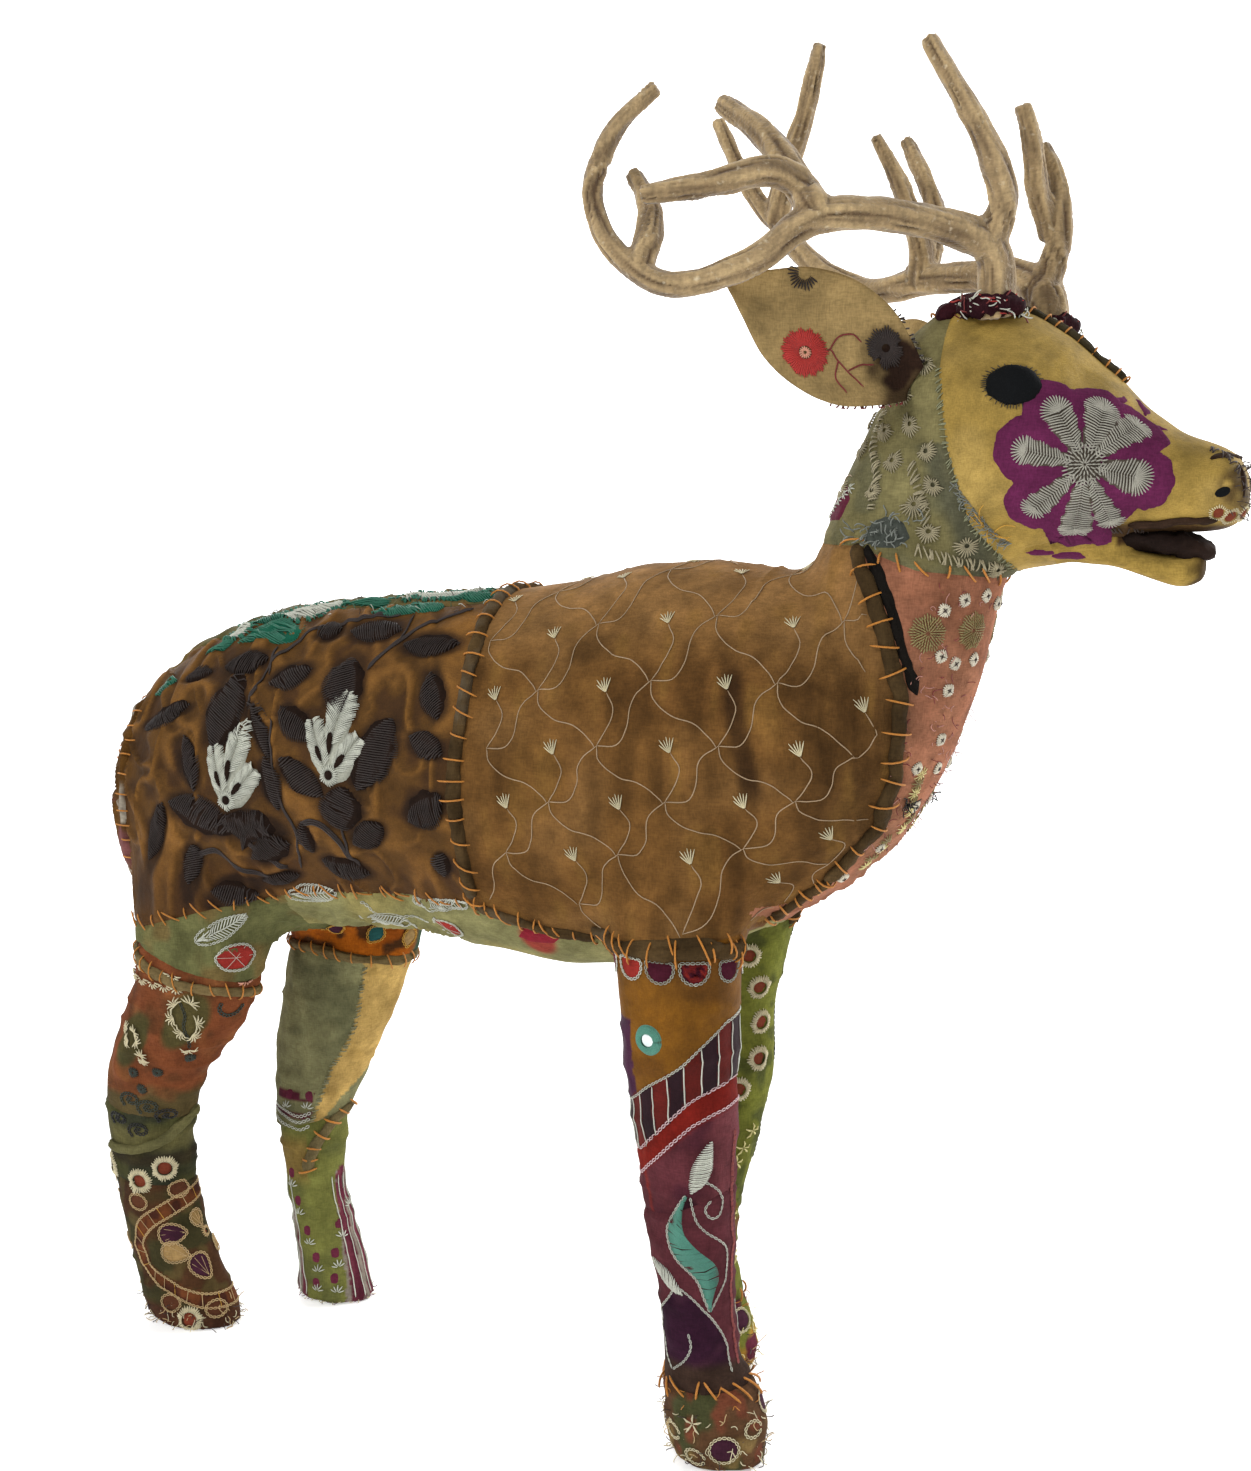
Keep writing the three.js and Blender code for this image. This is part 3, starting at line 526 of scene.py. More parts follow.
class Nodes:
    """Short names for building one material's node tree."""

    def __init__(self, name):
        self.material = bpy.data.materials.new(name)
        self.material.use_nodes = True
        self.tree = self.material.node_tree
        self.shader = self.tree.nodes["Principled BSDF"]
        self.position = self.add("ShaderNodeTexCoord").outputs["Object"]

    def add(self, kind, **values):
        node = self.tree.nodes.new(kind)
        for key, value in values.items():
            if hasattr(node, key):
                setattr(node, key, value)
            else:
                node.inputs[key].default_value = value
        return node

    def link(self, a, b):
        self.tree.links.new(a, b)

    def stretched(self, scale):
        m = self.add("ShaderNodeMapping", Scale=scale)
        self.link(self.position, m.inputs["Vector"])
        return m.outputs["Vector"]

    def noise(self, scale, detail=3, vector=None, rough=0.55):
        n = self.add("ShaderNodeTexNoise", Scale=scale, Detail=detail, Roughness=rough)
        self.link(vector or self.position, n.inputs["Vector"])
        return n.outputs["Fac"]

    def span(self, value, low, high, to_low=0.0, to_high=1.0):
        r = self.add("ShaderNodeMapRange")
        for i, v in enumerate((low, high, to_low, to_high), start=1):
            r.inputs[i].default_value = v
        self.link(value, r.inputs[0])
        return r.outputs[0]

    def blend(self, fac, a, b, mode="MIX"):
        m = self.add("ShaderNodeMix", data_type="RGBA", blend_type=mode)
        for socket, value in ((m.inputs[0], fac), (m.inputs[6], a), (m.inputs[7], b)):
            if isinstance(value, bpy.types.NodeSocket):
                self.link(value, socket)
            elif isinstance(value, (int, float)):
                socket.default_value = value
            else:
                socket.default_value = (*value, 1)
        return m.outputs[2]

    def sum(self, a, b, mode="ADD"):
        m = self.add("ShaderNodeMath", operation=mode)
        for socket, value in zip(m.inputs, (a, b)):
            if isinstance(value, bpy.types.NodeSocket):
                self.link(value, socket)
            else:
                socket.default_value = value
        return m.outputs[0]

    def bump(self, height, distance, strength=1.0, after=None):
        b = self.add("ShaderNodeBump", Distance=distance, Strength=strength)
        self.link(height, b.inputs["Height"])
        if after:
            self.link(after, b.inputs["Normal"])
        return b.outputs["Normal"]

    def finish(self, colour, normal=None, **constants):
        if isinstance(colour, bpy.types.NodeSocket):
            self.link(colour, self.shader.inputs["Base Color"])
        else:
            self.shader.inputs["Base Color"].default_value = (*colour, 1)
        if normal:
            self.link(normal, self.shader.inputs["Normal"])
        for key, value in constants.items():
            self.shader.inputs[key.replace("_", " ")].default_value = value
        return self.material


def cloth(name, base=None, weave=0.00035, rough=0.85, sheen=0.0, shine=0.08, mottle=0.3, wrinkle=0.0006,
          stain_and_shade=None):
    """Woven cloth. Without a base colour it takes the one painted on the mesh."""
    n = Nodes(name)
    if base is None:
        paint = n.add("ShaderNodeVertexColor", layer_name="paint")
        colour = paint.outputs["Color"]
    else:
        colour = n.add("ShaderNodeRGB").outputs[0]
        colour.default_value = (*base, 1)
    fine = 1 / (weave * 2.2)
    warp = n.noise(1.0, 1, n.stretched((fine, fine, fine * 0.22)))
    weft = n.noise(1.0, 1, n.stretched((fine * 0.22, fine * 0.22, fine)))
    threads = n.sum(warp, weft, "ADD")
    blotch = n.noise(45, 4)
    worn = n.noise(14, 5)
    shade = n.span(blotch, 0.3, 0.7, 1 - mottle, 1 + mottle * 0.6)
    shade = n.sum(shade, n.span(threads, 0.7, 1.3, 0.82, 1.16), "MULTIPLY")
    shade = n.sum(shade, n.span(worn, 0.3, 0.7, 1 - mottle * 0.5, 1 + mottle * 0.5), "MULTIPLY")
    combined = n.add("ShaderNodeVectorMath", operation="SCALE")
    n.link(colour, combined.inputs[0])
    n.link(shade, combined.inputs["Scale"])
    colour = combined.outputs[0]
    if stain_and_shade:
        colour = n.blend(n.span(n.noise(26, 4), 0.56, 0.75, 0, 0.6), colour, stain_and_shade)
    normal = n.bump(threads, weave, 0.55)
    normal = n.bump(n.noise(160, 4, n.stretched((1, 1, 0.5))), wrinkle, 0.8, normal)
    normal = n.bump(n.noise(55, 3), wrinkle * 3, 0.7, normal)
    return n.finish(colour, normal, Roughness=rough, Sheen_Weight=sheen, Sheen_Roughness=0.45,
                    Specular_IOR_Level=shine)


def thread(name, rgb, rough=0.7, sheen=0.05, vary=0.3):
    """Embroidery thread: fine twisted strands with a slight lustre."""
    n = Nodes(name)
    strands = n.noise(2600, 2)
    shade = n.span(strands, 0.3, 0.7, 1 - vary, 1 + vary)
    slow = n.span(n.noise(70, 2), 0.35, 0.65, 0.9, 1.08)
    shade = n.sum(shade, slow, "MULTIPLY")
    base = n.add("ShaderNodeRGB").outputs[0]
    base.default_value = (*rgb, 1)
    s = n.add("ShaderNodeVectorMath", operation="SCALE")
    n.link(base, s.inputs[0])
    n.link(shade, s.inputs["Scale"])
    normal = n.bump(strands, 0.0002, 0.6)
    return n.finish(s.outputs[0], normal, Roughness=rough, Sheen_Weight=sheen, Sheen_Roughness=0.4)


COLOURS = {
    "brown": "735028", "rump": "5f401a", "rust": "a06a50", "olive": "75783f", "mustard": "a98c45",
    "green_grey": "8a8659", "neck": "7f774f", "jade": "1f9a72", "cream": "e6dfcc",
    "white": "eeeeea", "silver": "c3c6c6", "dark": "35241f", "maroon": "5c2433", "plum": "44203a",
    "red": "93241f", "crimson": "a02a2c", "purple": "8c2f86", 
    "binding": "45351f", "orange": "d07a1f", "black": "15120f", "tan": "a88f62", 
    "vine": "4a2b18",
}
RGB = {k: hex_rgb(v) for k, v in COLOURS.items()}


# ---- The cloth skin, cut into its patches ----
def paint_cloth(name, co):
    """The patches' colours, as printed and faded cloth, with painted shade and painted highlights in places:
    one linear colour for each point.
    """
    x, y, z = co.T
    base = {
        "side": "brown", "rump": "rump", "back": "jade_ground", "belly": "green_grey", "chest": "rust",
        "neck": "neck", "face": "mustard", "jaw": "mustard",
    }
    key = next((v for k, v in base.items() if name.startswith(k)), "rust")
    ground = {"jade_ground": hex_rgb("5f5a3a")}
    c = np.tile(np.array(ground.get(key, RGB.get(key, RGB["rust"]))), (len(co), 1))

    def wash(rgb, amount):
        nonlocal c
        a = np.clip(np.asarray(amount, float), 0, 1)[:, None]
        c = c * (1 - a) + np.asarray(rgb) * a

    s = FLANK_R * np.arctan2(z - AXIS_Z, np.abs(y))
    blotch = smooth_noise(co, 26, 21)
    if name.startswith("side_panel"):
        # Lighter towards the top of the flank: painted light, mixed with random blotches.
        wash(hex_rgb("a87f4e"), 0.55 * smoothstep(60, 112, s) + 0.25 * smoothstep(-0.1, 0.8, blotch))
        wash(hex_rgb("5a3a1c"), 0.35 * smoothstep(0.1, 0.9, smooth_noise(co, 34, 22)))
        # Darker low at the front of the flank, by the shoulder: painted shade.
        wash(hex_rgb("4a341c"), 0.5 * smoothstep(190, 232, x) * smoothstep(95, 60, s))
        streak = smooth_noise(co * [1, 1, 0.22], 9, 35)
        wash(hex_rgb("3d2812"), 0.5 * smoothstep(0.05, 0.7, streak) * smoothstep(105, 70, s))
        wash(hex_rgb("8f6a34"), 0.4 * smoothstep(0.1, 0.7, -streak))
        # A dark line down the crease by the elbow: painted shade in the fold.
        wash(hex_rgb("2c1c10"),
             0.7 * smoothstep(9, 2, np.abs(x - 186 + (s - 30) * 0.22)) * smoothstep(42, 25, np.abs(s - 38)))
    elif name.startswith("rump_panel"):
        ridge = puckers(co)
        wash(hex_rgb("55361a"), 0.6 * smoothstep(0.1, 0.9, smooth_noise(co, 30, 23)))
        # Painted shade in the valleys between the pucker ridges, and a painted highlight along the ridges.
        wash(hex_rgb("3f2814"),
             0.75 * smoothstep(0.35, 0.08, ridge) * smoothstep(-0.4, 0.3, smooth_noise(co, 10, 32)))
        wash(hex_rgb("9a6a30"), 0.55 * smoothstep(0.5, 1.0, ridge))
        # Darker towards the underside of the rump: painted shade.
        wash(hex_rgb("4a3018"), 0.5 * smoothstep(-40, -75, s))
        # Dark ground under and round the appliqué leaves: the leaves' own dark cloth, with a soft painted
        # shadow round their edges.
        wash(hex_rgb("24160e"), 0.82 * leaf_cover(x, s))
    elif name == "rump_end_panel":
        wash(RGB["cream"], 0.55 * smoothstep(0.25, 0.6, smooth_noise(co, 12, 24)))
        wash(hex_rgb("7b4a50"), 0.7 * smoothstep(0.3, 0.6, smooth_noise(co + 50, 15, 25)))
    elif name == "belly_panel":
        wash(hex_rgb("9a8c52"), 0.6 * smoothstep(0, 0.8, blotch))
        wash(RGB["crimson"], 0.85 * smoothstep(12, 8, np.hypot(x - 60, z - 272)))
    elif name == "back_panel":
        wash(hex_rgb("8a6a3c"), 0.5 * smoothstep(0, 0.7, blotch))
    elif name == "chest_panel":
        wash(hex_rgb("a87a5c"), 0.6 * smoothstep(0, 0.8, blotch))
        wash(hex_rgb("83543c"), 0.5 * smoothstep(0.1, 0.9, smooth_noise(co, 20, 26)))
    elif name == "neck_panel":
        wash(hex_rgb("68674e"), 0.6 * smoothstep(0.2, 0.7, smooth_noise(co, 18, 27)))
        wash(hex_rgb("47483c"), 0.7 * smoothstep(14, 5, np.abs(x - 290 + (z - 480) * 0.4)) * (z < 530))
    elif name.startswith("face"):
        wash(hex_rgb("8d7438"), 0.5 * smoothstep(0, 0.8, blotch))
        wash(hex_rgb("b69a58"), 0.5 * smoothstep(0, 0.8, smooth_noise(co, 22, 28)))
        nose = smoothstep(11, 5, np.hypot(x - 404, (z - 508) * 0.8))
        wash(hex_rgb("43301f"), 0.8 * nose * smoothstep(-0.4, 0.3, smooth_noise(co, 5, 29)))
        lips = smoothstep(6.5, 3, np.abs(z - height_of(MOUTH_SEAM, x) - 2) + 1.5
                          * smooth_noise(co, 5, 33)) * (x > 340)
        wash(hex_rgb("3a2119"), 0.9 * lips)
        wash(hex_rgb("2a2018"),
             0.7 * smoothstep(14, 8, np.hypot(x - EYE[0], (z - EYE[1]) * 1.3)) * (np.abs(y) > 25))
    elif name == "jaw_cover":
        wash(hex_rgb("3a2119"), 0.9
             * smoothstep(6, 3, height_of(MOUTH_SEAM, x) - z + 1.5 * smooth_noise(co, 5, 33)) * (x > 352))
        wash(hex_rgb("33231a"), 0.85 * smoothstep(380, 388, x + 3 * smooth_noise(co, 5, 34)))
    else:
        c = paint_leg(name, co, c)
    fade = 1 + 0.16 * smooth_noise(co, 7, 30) + 0.14 * smooth_noise(co, 3, 31)
    return np.clip(c * fade[:, None] * DYE, 0, 1)


# Designs on the legs, as height and turn about the leg.
S_LEAF_LEFT = [(155, 71), (142, 93), (133, 101), (122, 93), (110, 66), (99, 57), (92, 51)]
S_LEAF_RIGHT = [(154, 69), (145, 77), (134, 77), (126, 62), (117, 38), (108, 34), (94, 48)]
S_LEAF_BORDER = [(154, 65), (142, 60), (135, 48), (128, 26), (120, 16), (106, 23), (97, 39), (92, 51)]
S_LEAF_SHADE = [(146, 68), (134, 62), (124, 42), (116, 27), (106, 28), (98, 42)]
SPIRAL = [(158, 64), (162, 48), (158, 33), (152, 22), (144, 27), (142, 40), (147, 48), (151, 38)]
PLUM_PETAL = [(62, 150), (76, 148), (86, 145), (94, 120), (104, 96), (101, 80), (93, 59), (83, 39), (72, 26),
              (58, 22)]
BRICK_ARC = [(91, -30), (86, 20), (80, 50), (73, 80), (63, 108), (52, 116), (41, 108), (36, 88), (31, 60),
             (26, 30), (24, -25)]
BRICK_TURN = 0.42  # millimetres round the shin to one degree


def leg_angle(co, leg):
    """Turn about the leg's line in degrees: 0 faces forward, 90 faces out to that leg's side."""
    side, table = LEGS[leg]
    rows = np.array(table)[::-1]
    cx = np.interp(co[:, 2], rows[:, 0], rows[:, 1])
    cy = np.interp(co[:, 2], rows[:, 0], rows[:, 2])
    return np.degrees(np.arctan2(side * co[:, 1] - cy, co[:, 0] - cx))


def paint_leg(name, co, c):
    x, _, z = co.T
    leg = next(k for k in LEGS if name.startswith(k))
    turn = leg_angle(co, leg)
    n1, n2 = smooth_noise(co, 13, 41), smooth_noise(co, 8, 42)

    def fill(rgb, where):
        nonlocal c
        a = np.clip(np.broadcast_to(np.asarray(where, float), x.shape), 0, 1)[:, None]
        c = c * (1 - a) + np.asarray(rgb) * a

    if leg == "front_right":
        chain_z = np.interp((turn + 60) % 360 - 60, [-60, 18, 46, 71, 104, 152, 240, 300], CHAIN_RISE)
        if "upper" in name:
            fill(hex_rgb("7c5012"), 1)
            fill(hex_rgb("553410"), 0.6 * smoothstep(0, 0.7, n1))
            fill(RGB["plum"], (z < 243) * (turn > 128) * (turn < 165))
            striped = z < chain_z
            stripe = np.floor((turn + 200) / 19).astype(int) % 2
            fill(hex_rgb("5f1a14"), striped & (stripe == 1))
            fill(hex_rgb("2a151c"), striped & (stripe == 0))
        elif "middle" in name:
            fill(hex_rgb("5c2d33"), 1)
            fill(hex_rgb("4a222e"), 0.7 * smoothstep(0, 0.7, n1))
            fill(hex_rgb("7d4247"), 0.7 * smoothstep(30, 12, np.abs(turn - 12)))
            band = height_of(LEG_SEAMS[leg][0], x) - 13
            fill(hex_rgb("7c2018"), smoothstep(-3, 1, z - band))
            fill(hex_rgb("8a2d22"), 0.7 * smoothstep(5, 1, np.abs(turn - 128)))
            s_leaf = line_reach(np.stack([turn * 0.42, z], 1), [(t * 0.42, h) for h, t in S_LEAF_SHADE])[0]
            fill(hex_rgb("33141f"), smoothstep(7.5, 5.5, s_leaf))
        elif "lower" in name:
            fill(hex_rgb("5c2d33"), 1)
            petal = inside(np.stack([turn, z], 1), np.array([(t, h) for h, t in PLUM_PETAL]))
            fill(hex_rgb("34182a"), petal)
            fill(hex_rgb("4f2c3a"), petal * 0.6 * smoothstep(0.1, 0.7, n2))
            fill(hex_rgb("3a2a22"), smoothstep(66, 60, z))
        else:
            fill(hex_rgb("5a3f2a"), 1)
            fill(hex_rgb("47482c"), smoothstep(0.1, 0.4, n1))
            fill(hex_rgb("6f3f2c"), smoothstep(0.2, 0.45, n2))
            fill(hex_rgb("877044"), 0.8 * smoothstep(-0.15, -0.5, n2) * smoothstep(34, 22, z))
    elif leg == "front_left":
        fill(hex_rgb("70732f"), 1)
        fill(hex_rgb("3f4424"), 0.7 * smoothstep(0.1, 0.5, n2))
        if "lower" in name:
            fill(hex_rgb("6f4a2a"), smoothstep(0.0, 0.3, n1))
        if "hoof" in name:
            fill(hex_rgb("a37a30"), smoothstep(-0.2, 0.1, n1))
            fill(RGB["maroon"], smoothstep(0.2, 0.4, n2))
    elif leg == "rear_right":
        if "thigh" in name:
            fill(hex_rgb("6a6a42"), 1)
            fill(hex_rgb("77623a"), 0.8 * smoothstep(0, 0.5, n1))
        elif "shank" in name:
            fill(hex_rgb("7c4528"), 1)
            fill(hex_rgb("5a3a22"), 0.7 * smoothstep(0, 0.7, n2))
            fill(hex_rgb("8e5a34"), 0.6 * smoothstep(0.2, 0.7, n1))
            for h, t in ((207, 55), (191, 118)):
                fill(hex_rgb("4b4a2a"),
                     0.9 * smoothstep(1.25, 0.95, np.hypot((turn - t) * 0.5 / 11, (z - h) / 17)))
            fill(hex_rgb("56492c"), smoothstep(164, 148, z + 14 * n2))
        elif "cuff" in name:
            fill(hex_rgb("4d4c2c"), 1)
            fill(hex_rgb("343628"), 0.9 * smoothstep(-0.1, 0.25, n1))
            fill(hex_rgb("66603a"), 0.8 * smoothstep(10, 4, np.abs(z - 126)))
            # A dark band under the rolled fold: painted shade.
            fill(hex_rgb("332a1c"), 0.8 * smoothstep(7, 2, np.abs(z - 113)))
        else:
            fill(hex_rgb("3f3a22"), 1)
            fill(hex_rgb("4f2f1e"), 0.8 * smoothstep(0.1, 0.4, n1))
            fill(hex_rgb("5f5230"), 0.7 * smoothstep(0.25, 0.5, n2))
            band = line_reach(np.stack([turn * BRICK_TURN, z], 1),
                              [(t * BRICK_TURN, h) for h, t in BRICK_ARC])[0]
            fill(hex_rgb("6a3c22"), smoothstep(5.5, 4.2, band))
            fill(hex_rgb("46261c"),
                 smoothstep(5.5, 4.2, band) * smoothstep(0.0, 0.3, smooth_noise(co, 6, 44)))
            fill(hex_rgb("4c2a1e"), 0.8 * smoothstep(24, 18, z))
    else:
        if "thigh" in name:
            fill(hex_rgb("ad5c14"), 1)
            fill(hex_rgb("8a4410"), 0.7 * smoothstep(0.1, 0.5, n1))
            fill(hex_rgb("4f3018"), smoothstep(0.15, 0.4, n2))
            fill(hex_rgb("3d5642"), smoothstep(-8, 4, turn) * smoothstep(-0.3, 0.1, n1))
        elif "shank" in name:
            fill(hex_rgb("83805a"), 1)
            fill(hex_rgb("666648"), 0.7 * smoothstep(0.0, 0.6, n1))
            edge = np.interp(z, [110, 122, 157, 183, 226, 245], [-64, -58, -47, -36, -42, -60])
            front = np.interp(z, [118, 140, 160, 200, 245], [-50, -22, 15, 45, 60])
            fill(hex_rgb("c9a661"), (turn > edge) & (turn < front))
            fill(hex_rgb("9c7d42"), 0.5 * ((turn > edge) & (turn < front)) * smoothstep(0.1, 0.6, n2))
            fill(RGB["maroon"], (z < 143) & (z > 136) & (turn < -62) & (smooth_noise(co, 5, 43) > -0.2))
            fill(RGB["maroon"], (z < 130) & (z > 126) & (turn < -60))
        else:
            fill(hex_rgb("74753c"), 1)
            fill(hex_rgb("5a5c34"), 0.7 * smoothstep(0.0, 0.6, n1))
            striped = ((turn > np.interp(z, [9, 74], [-42, -16]))
                       | (turn < -118)) & (z < 92 - 0.2 * np.abs(turn))
            stripe = np.floor((turn + 204 + 0.25 * (74 - z)) / 11).astype(int) % 3
            fill(RGB["maroon"], striped & (stripe == 0))
            fill(hex_rgb("8f8478"), striped & (stripe == 1))
            fill(hex_rgb("6d3340"), striped & (stripe == 2))
            fill(hex_rgb("8a6a3a"), 0.7 * smoothstep(118, 104, z) * smoothstep(78, 92, z) * (turn < -70))
    return c


def build_panels():
    co, quads = build_skin()
    co = sculpt(co, quads)
    co, depth = snap_to_seams(co)
    n = normals_of(co, quads)
    co = co - n * (1.1 * np.exp(-((depth / 1.6) ** 2)))[:, None]
    co[:, 2] = np.maximum(co[:, 2], FOOT_CENTRE[2])
    centre = co[quads].mean(axis=1)
    owner = panel_of(centre)
    surface = Surface(co, quads)
    satin = cloth("cloth_satin", rough=0.68, shine=0.1, weave=0.0002, mottle=0.3)
    plain = cloth("cloth_plain", rough=0.92)
    known = set(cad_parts)
    for name in sorted(set(owner)):
        rows = quads[owner == name]
        if len(rows) < 8:
            continue
        used, flat = np.unique(rows, return_inverse=True)
        rows = flat.reshape(rows.shape)
        is_satin = name.startswith(("rump_panel", "face", "front_right_upper_sleeve"))
        nodes = [name] if name in known else []
        obj = new_object(name, place(co[used]), rows, satin if is_satin else plain, nodes=[])
        obj.name = "cloth_" + name
        if nodes:
            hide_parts(*nodes)
        paint = obj.data.color_attributes.new("paint", "FLOAT_COLOR", "POINT")
        rgb = paint_cloth(name, co[used])
        rgba = np.concatenate([rgb, np.ones((len(used), 1))], axis=1)
        paint.data.foreach_set("color", rgba.astype(np.float32).ravel())
    return surface


OUTSIDE = 300  # millimetres from the axis, well clear of the torso
BESIDE_LEG = 45  # millimetres from a leg's line, outside its cloth
TURN_TO_MM = 0.45  # millimetres of leg cloth to one degree, near enough


class Surface:
    """The outside of the cloth, in the maker's millimetres."""

    def __init__(self, co, quads):
        self.tree = BVHTree.FromPolygons([tuple(p) for p in co], [tuple(q) for q in quads])

    def near(self, point):
        at, n, _, _ = self.tree.find_nearest(Vector(point))
        return np.array(at), np.array(n)

    def ray(self, start, way):
        at, n, _, _ = self.tree.ray_cast(Vector(start), Vector(way))
        return (None, None) if at is None else (np.array(at), np.array(n))

    def flank(self, x, s, side=RIGHT):
        """A place on the torso: x along it, and s millimetres up round it from the middle of the flank."""
        a = s / FLANK_R
        way = np.array([0, side * math.cos(a), math.sin(a)])
        at, n = self.ray(np.array([x, 0, AXIS_Z]) + OUTSIDE * way, -way)
        return at, n

    def leg(self, leg, z, turn):
        """A place on a leg: its height, and the turn about its line from the front towards its own side."""
        side, table = LEGS[leg]
        rows = np.array(table)[::-1]
        centre = np.array(
            [np.interp(z, rows[:, 0], rows[:, 1]), side * np.interp(z, rows[:, 0], rows[:, 2]), z])
        a = math.radians(turn)
        way = np.array([math.cos(a), side * math.sin(a), 0])
        at, n = self.ray(centre + BESIDE_LEG * way, -way)
        return at, n

    def laid(self, points, lift=0.0):
        at, facing = [], []
        for p in np.atleast_2d(points):
            q, n = self.near(p)
            at.append(q)
            facing.append(n)
        facing = np.array(facing)
        return np.array(at) + facing * np.reshape(lift, (-1, 1)), facing

    def flank_line(self, points, side=RIGHT, step=2.0):
        """A smooth line on the torso through places (x, s)."""
        out = [self.flank(x, s, side)[0] for x, s in curve(points, step)]
        return np.array([p for p in out if p is not None])

    def side_line(self, points, side=RIGHT, step=2.5):
        """A line on the flank through places (x, z), as seen square on."""
        out = []
        for x, z in resample(points, step):
            p, _ = self.ray(np.array([x, side * 300.0, z]), np.array([0, -side, 0.0]))
            if p is not None and p[1] * side > 2:
                out.append(p)
        return np.array(out)

    def leg_line(self, leg, points, step=2.0):
        """A smooth line on a leg through places (height, turn)."""
        scaled = curve([(z, t * TURN_TO_MM) for z, t in points], step)
        out = [self.leg(leg, z, t / TURN_TO_MM)[0] for z, t in scaled]
        return np.array([p for p in out if p is not None])

    def leg_spot(self, leg, z, turn, spin=0.0):
        p, _ = self.leg(leg, z, turn)
        return Spot(self, p, (0, 0, 1), spin)

    def flank_spot(self, x, s, side=RIGHT, spin=0.0):
        a, _ = self.flank(x, s, side)
        b, _ = self.flank(x, s + 4, side)
        return Spot(self, a, b - a, spin)


# ---- Antlers ----
ANTLER_VOXEL = 1.15  # the mesh's grain, in millimetres
ANTLER_SIDES = 20
BRANCH_STEP = 3.0  # millimetres between the rings of a branch


def antler(name, branches):
    lofts = []
    lines = []
    for points, root, tip in branches:
        line = curve(points, BRANCH_STEP)
        share = np.linspace(0, 1, len(line))
        radius = root + (tip - root) * share
        radius = radius * (1 + 0.07 * smooth_noise(line, 14, 51))
        way = np.gradient(line, axis=0)
        way /= np.linalg.norm(way, axis=1, keepdims=True)
        side = np.cross(way, [0.3, 0.2, 1.0])
        side /= np.linalg.norm(side, axis=1, keepdims=True)
        up = np.cross(side, way)
        lofts.append(loft_mesh(line, side * radius[:, None], up * radius[:, None], ANTLER_SIDES))
        lines.append((line, side, up, radius))
    co, quads = remeshed(name + "_source", *join_lofts(lofts), ANTLER_VOXEL)
    edges = edges_of(quads)
    co = relaxed(co, edges, 0.5, 6)
    n = normals_of(co, quads)
    centres = np.vstack([line[0] for line in lines])
    sides, ups = (np.vstack([line[k] for line in lines]) for k in (1, 2))
    along = np.concatenate([np.linspace(0, len(line[0]) * BRANCH_STEP, len(line[0])) for line in lines])
    tree_index = nearest_index(co, centres)
    d = co - centres[tree_index]
    angle = np.arctan2((d * ups[tree_index]).sum(1), (d * sides[tree_index]).sum(1))
    run = along[tree_index]
    around = np.stack([np.cos(angle + 0.012 * run) * 9, np.sin(angle + 0.012 * run) * 9,
                       run * 0.13 + 30 * tree_index.astype(bool)], 1)
    tape = smooth_noise(around, 3.4, 52) * 1.3
    strand = smooth_noise(around * [1, 1, 0.7], 1.5, 53)
    lump = smooth_noise(co, 8, 54)
    groove = -np.maximum(
        0, smooth_noise(np.stack([np.cos(angle) * 14, np.sin(angle) * 14, run * 0.16], 1), 3.2, 55)) ** 2
    co = co + n * (0.62 * tape + 0.42 * strand + 0.6 * lump + 1.6 * groove)[:, None]
    obj = new_object("wrapped_" + name, place(co), quads, antler_material(), nodes=ANTLER_NODES[name])
    # The wrap's tone follows its relief: darkest in the grooves between the wraps, which is painted shade,
    # and lighter on the raised tape and strands, partly the wraps' own tone and partly painted light.
    tone = 0.56 + 0.34 * tape + 0.3 * strand + 0.9 * groove + 0.15 * smooth_noise(co, 11, 56)
    light, dark = np.array(hex_rgb("b39a70")), np.array(hex_rgb("54402a"))
    set_paint(obj, dark + (light - dark) * np.clip(tone, 0, 1)[:, None])
    return obj


def nearest_index(points, targets):
    out = np.empty(len(points), int)
    for i in range(0, len(points), 4000):
        d = ((points[i:i + 4000, None] - targets[None]) ** 2).sum(2)
        out[i:i + 4000] = d.argmin(1)
    return out


_antler_material = []


def antler_material():
    if not _antler_material:
        n = Nodes("antler_wrap")
        colour = n.add("ShaderNodeVertexColor", layer_name="paint").outputs["Color"]
        fibre = n.noise(420, 5, n.stretched((1, 1, 0.35)))
        fibre2 = n.noise(900, 3, n.stretched((0.3, 1, 1)))
        shade = n.sum(n.span(fibre, 0.3, 0.7, 0.75, 1.2), n.span(fibre2, 0.3, 0.7, 0.85, 1.12), "MULTIPLY")
        s = n.add("ShaderNodeVectorMath", operation="SCALE")
        n.link(colour, s.inputs[0])
        n.link(shade, s.inputs["Scale"])
        pale = n.blend(n.span(n.noise(260, 6), 0.6, 0.75, 0, 0.5), s.outputs[0], hex_rgb("d9ccb0"))
        normal = n.bump(n.sum(fibre, fibre2), 0.0009, 0.8)
        _antler_material.append(
            n.finish(pale, normal, Roughness=0.8, Sheen_Weight=0.25, Specular_IOR_Level=0.25))
    return _antler_material[0]


# ---- Stage ----
def glowing(name, strength, rgb=(1, 1, 1)):
    n = Nodes(name)
    n.shader.inputs["Emission Color"].default_value = (*rgb, 1)
    n.shader.inputs["Emission Strength"].default_value = strength
    return n.finish(n.blend(n.span(n.noise(3), 0.3, 0.7), (0.8, 0.8, 0.8), (0.78, 0.78, 0.78)), None,
                    Roughness=0.9)


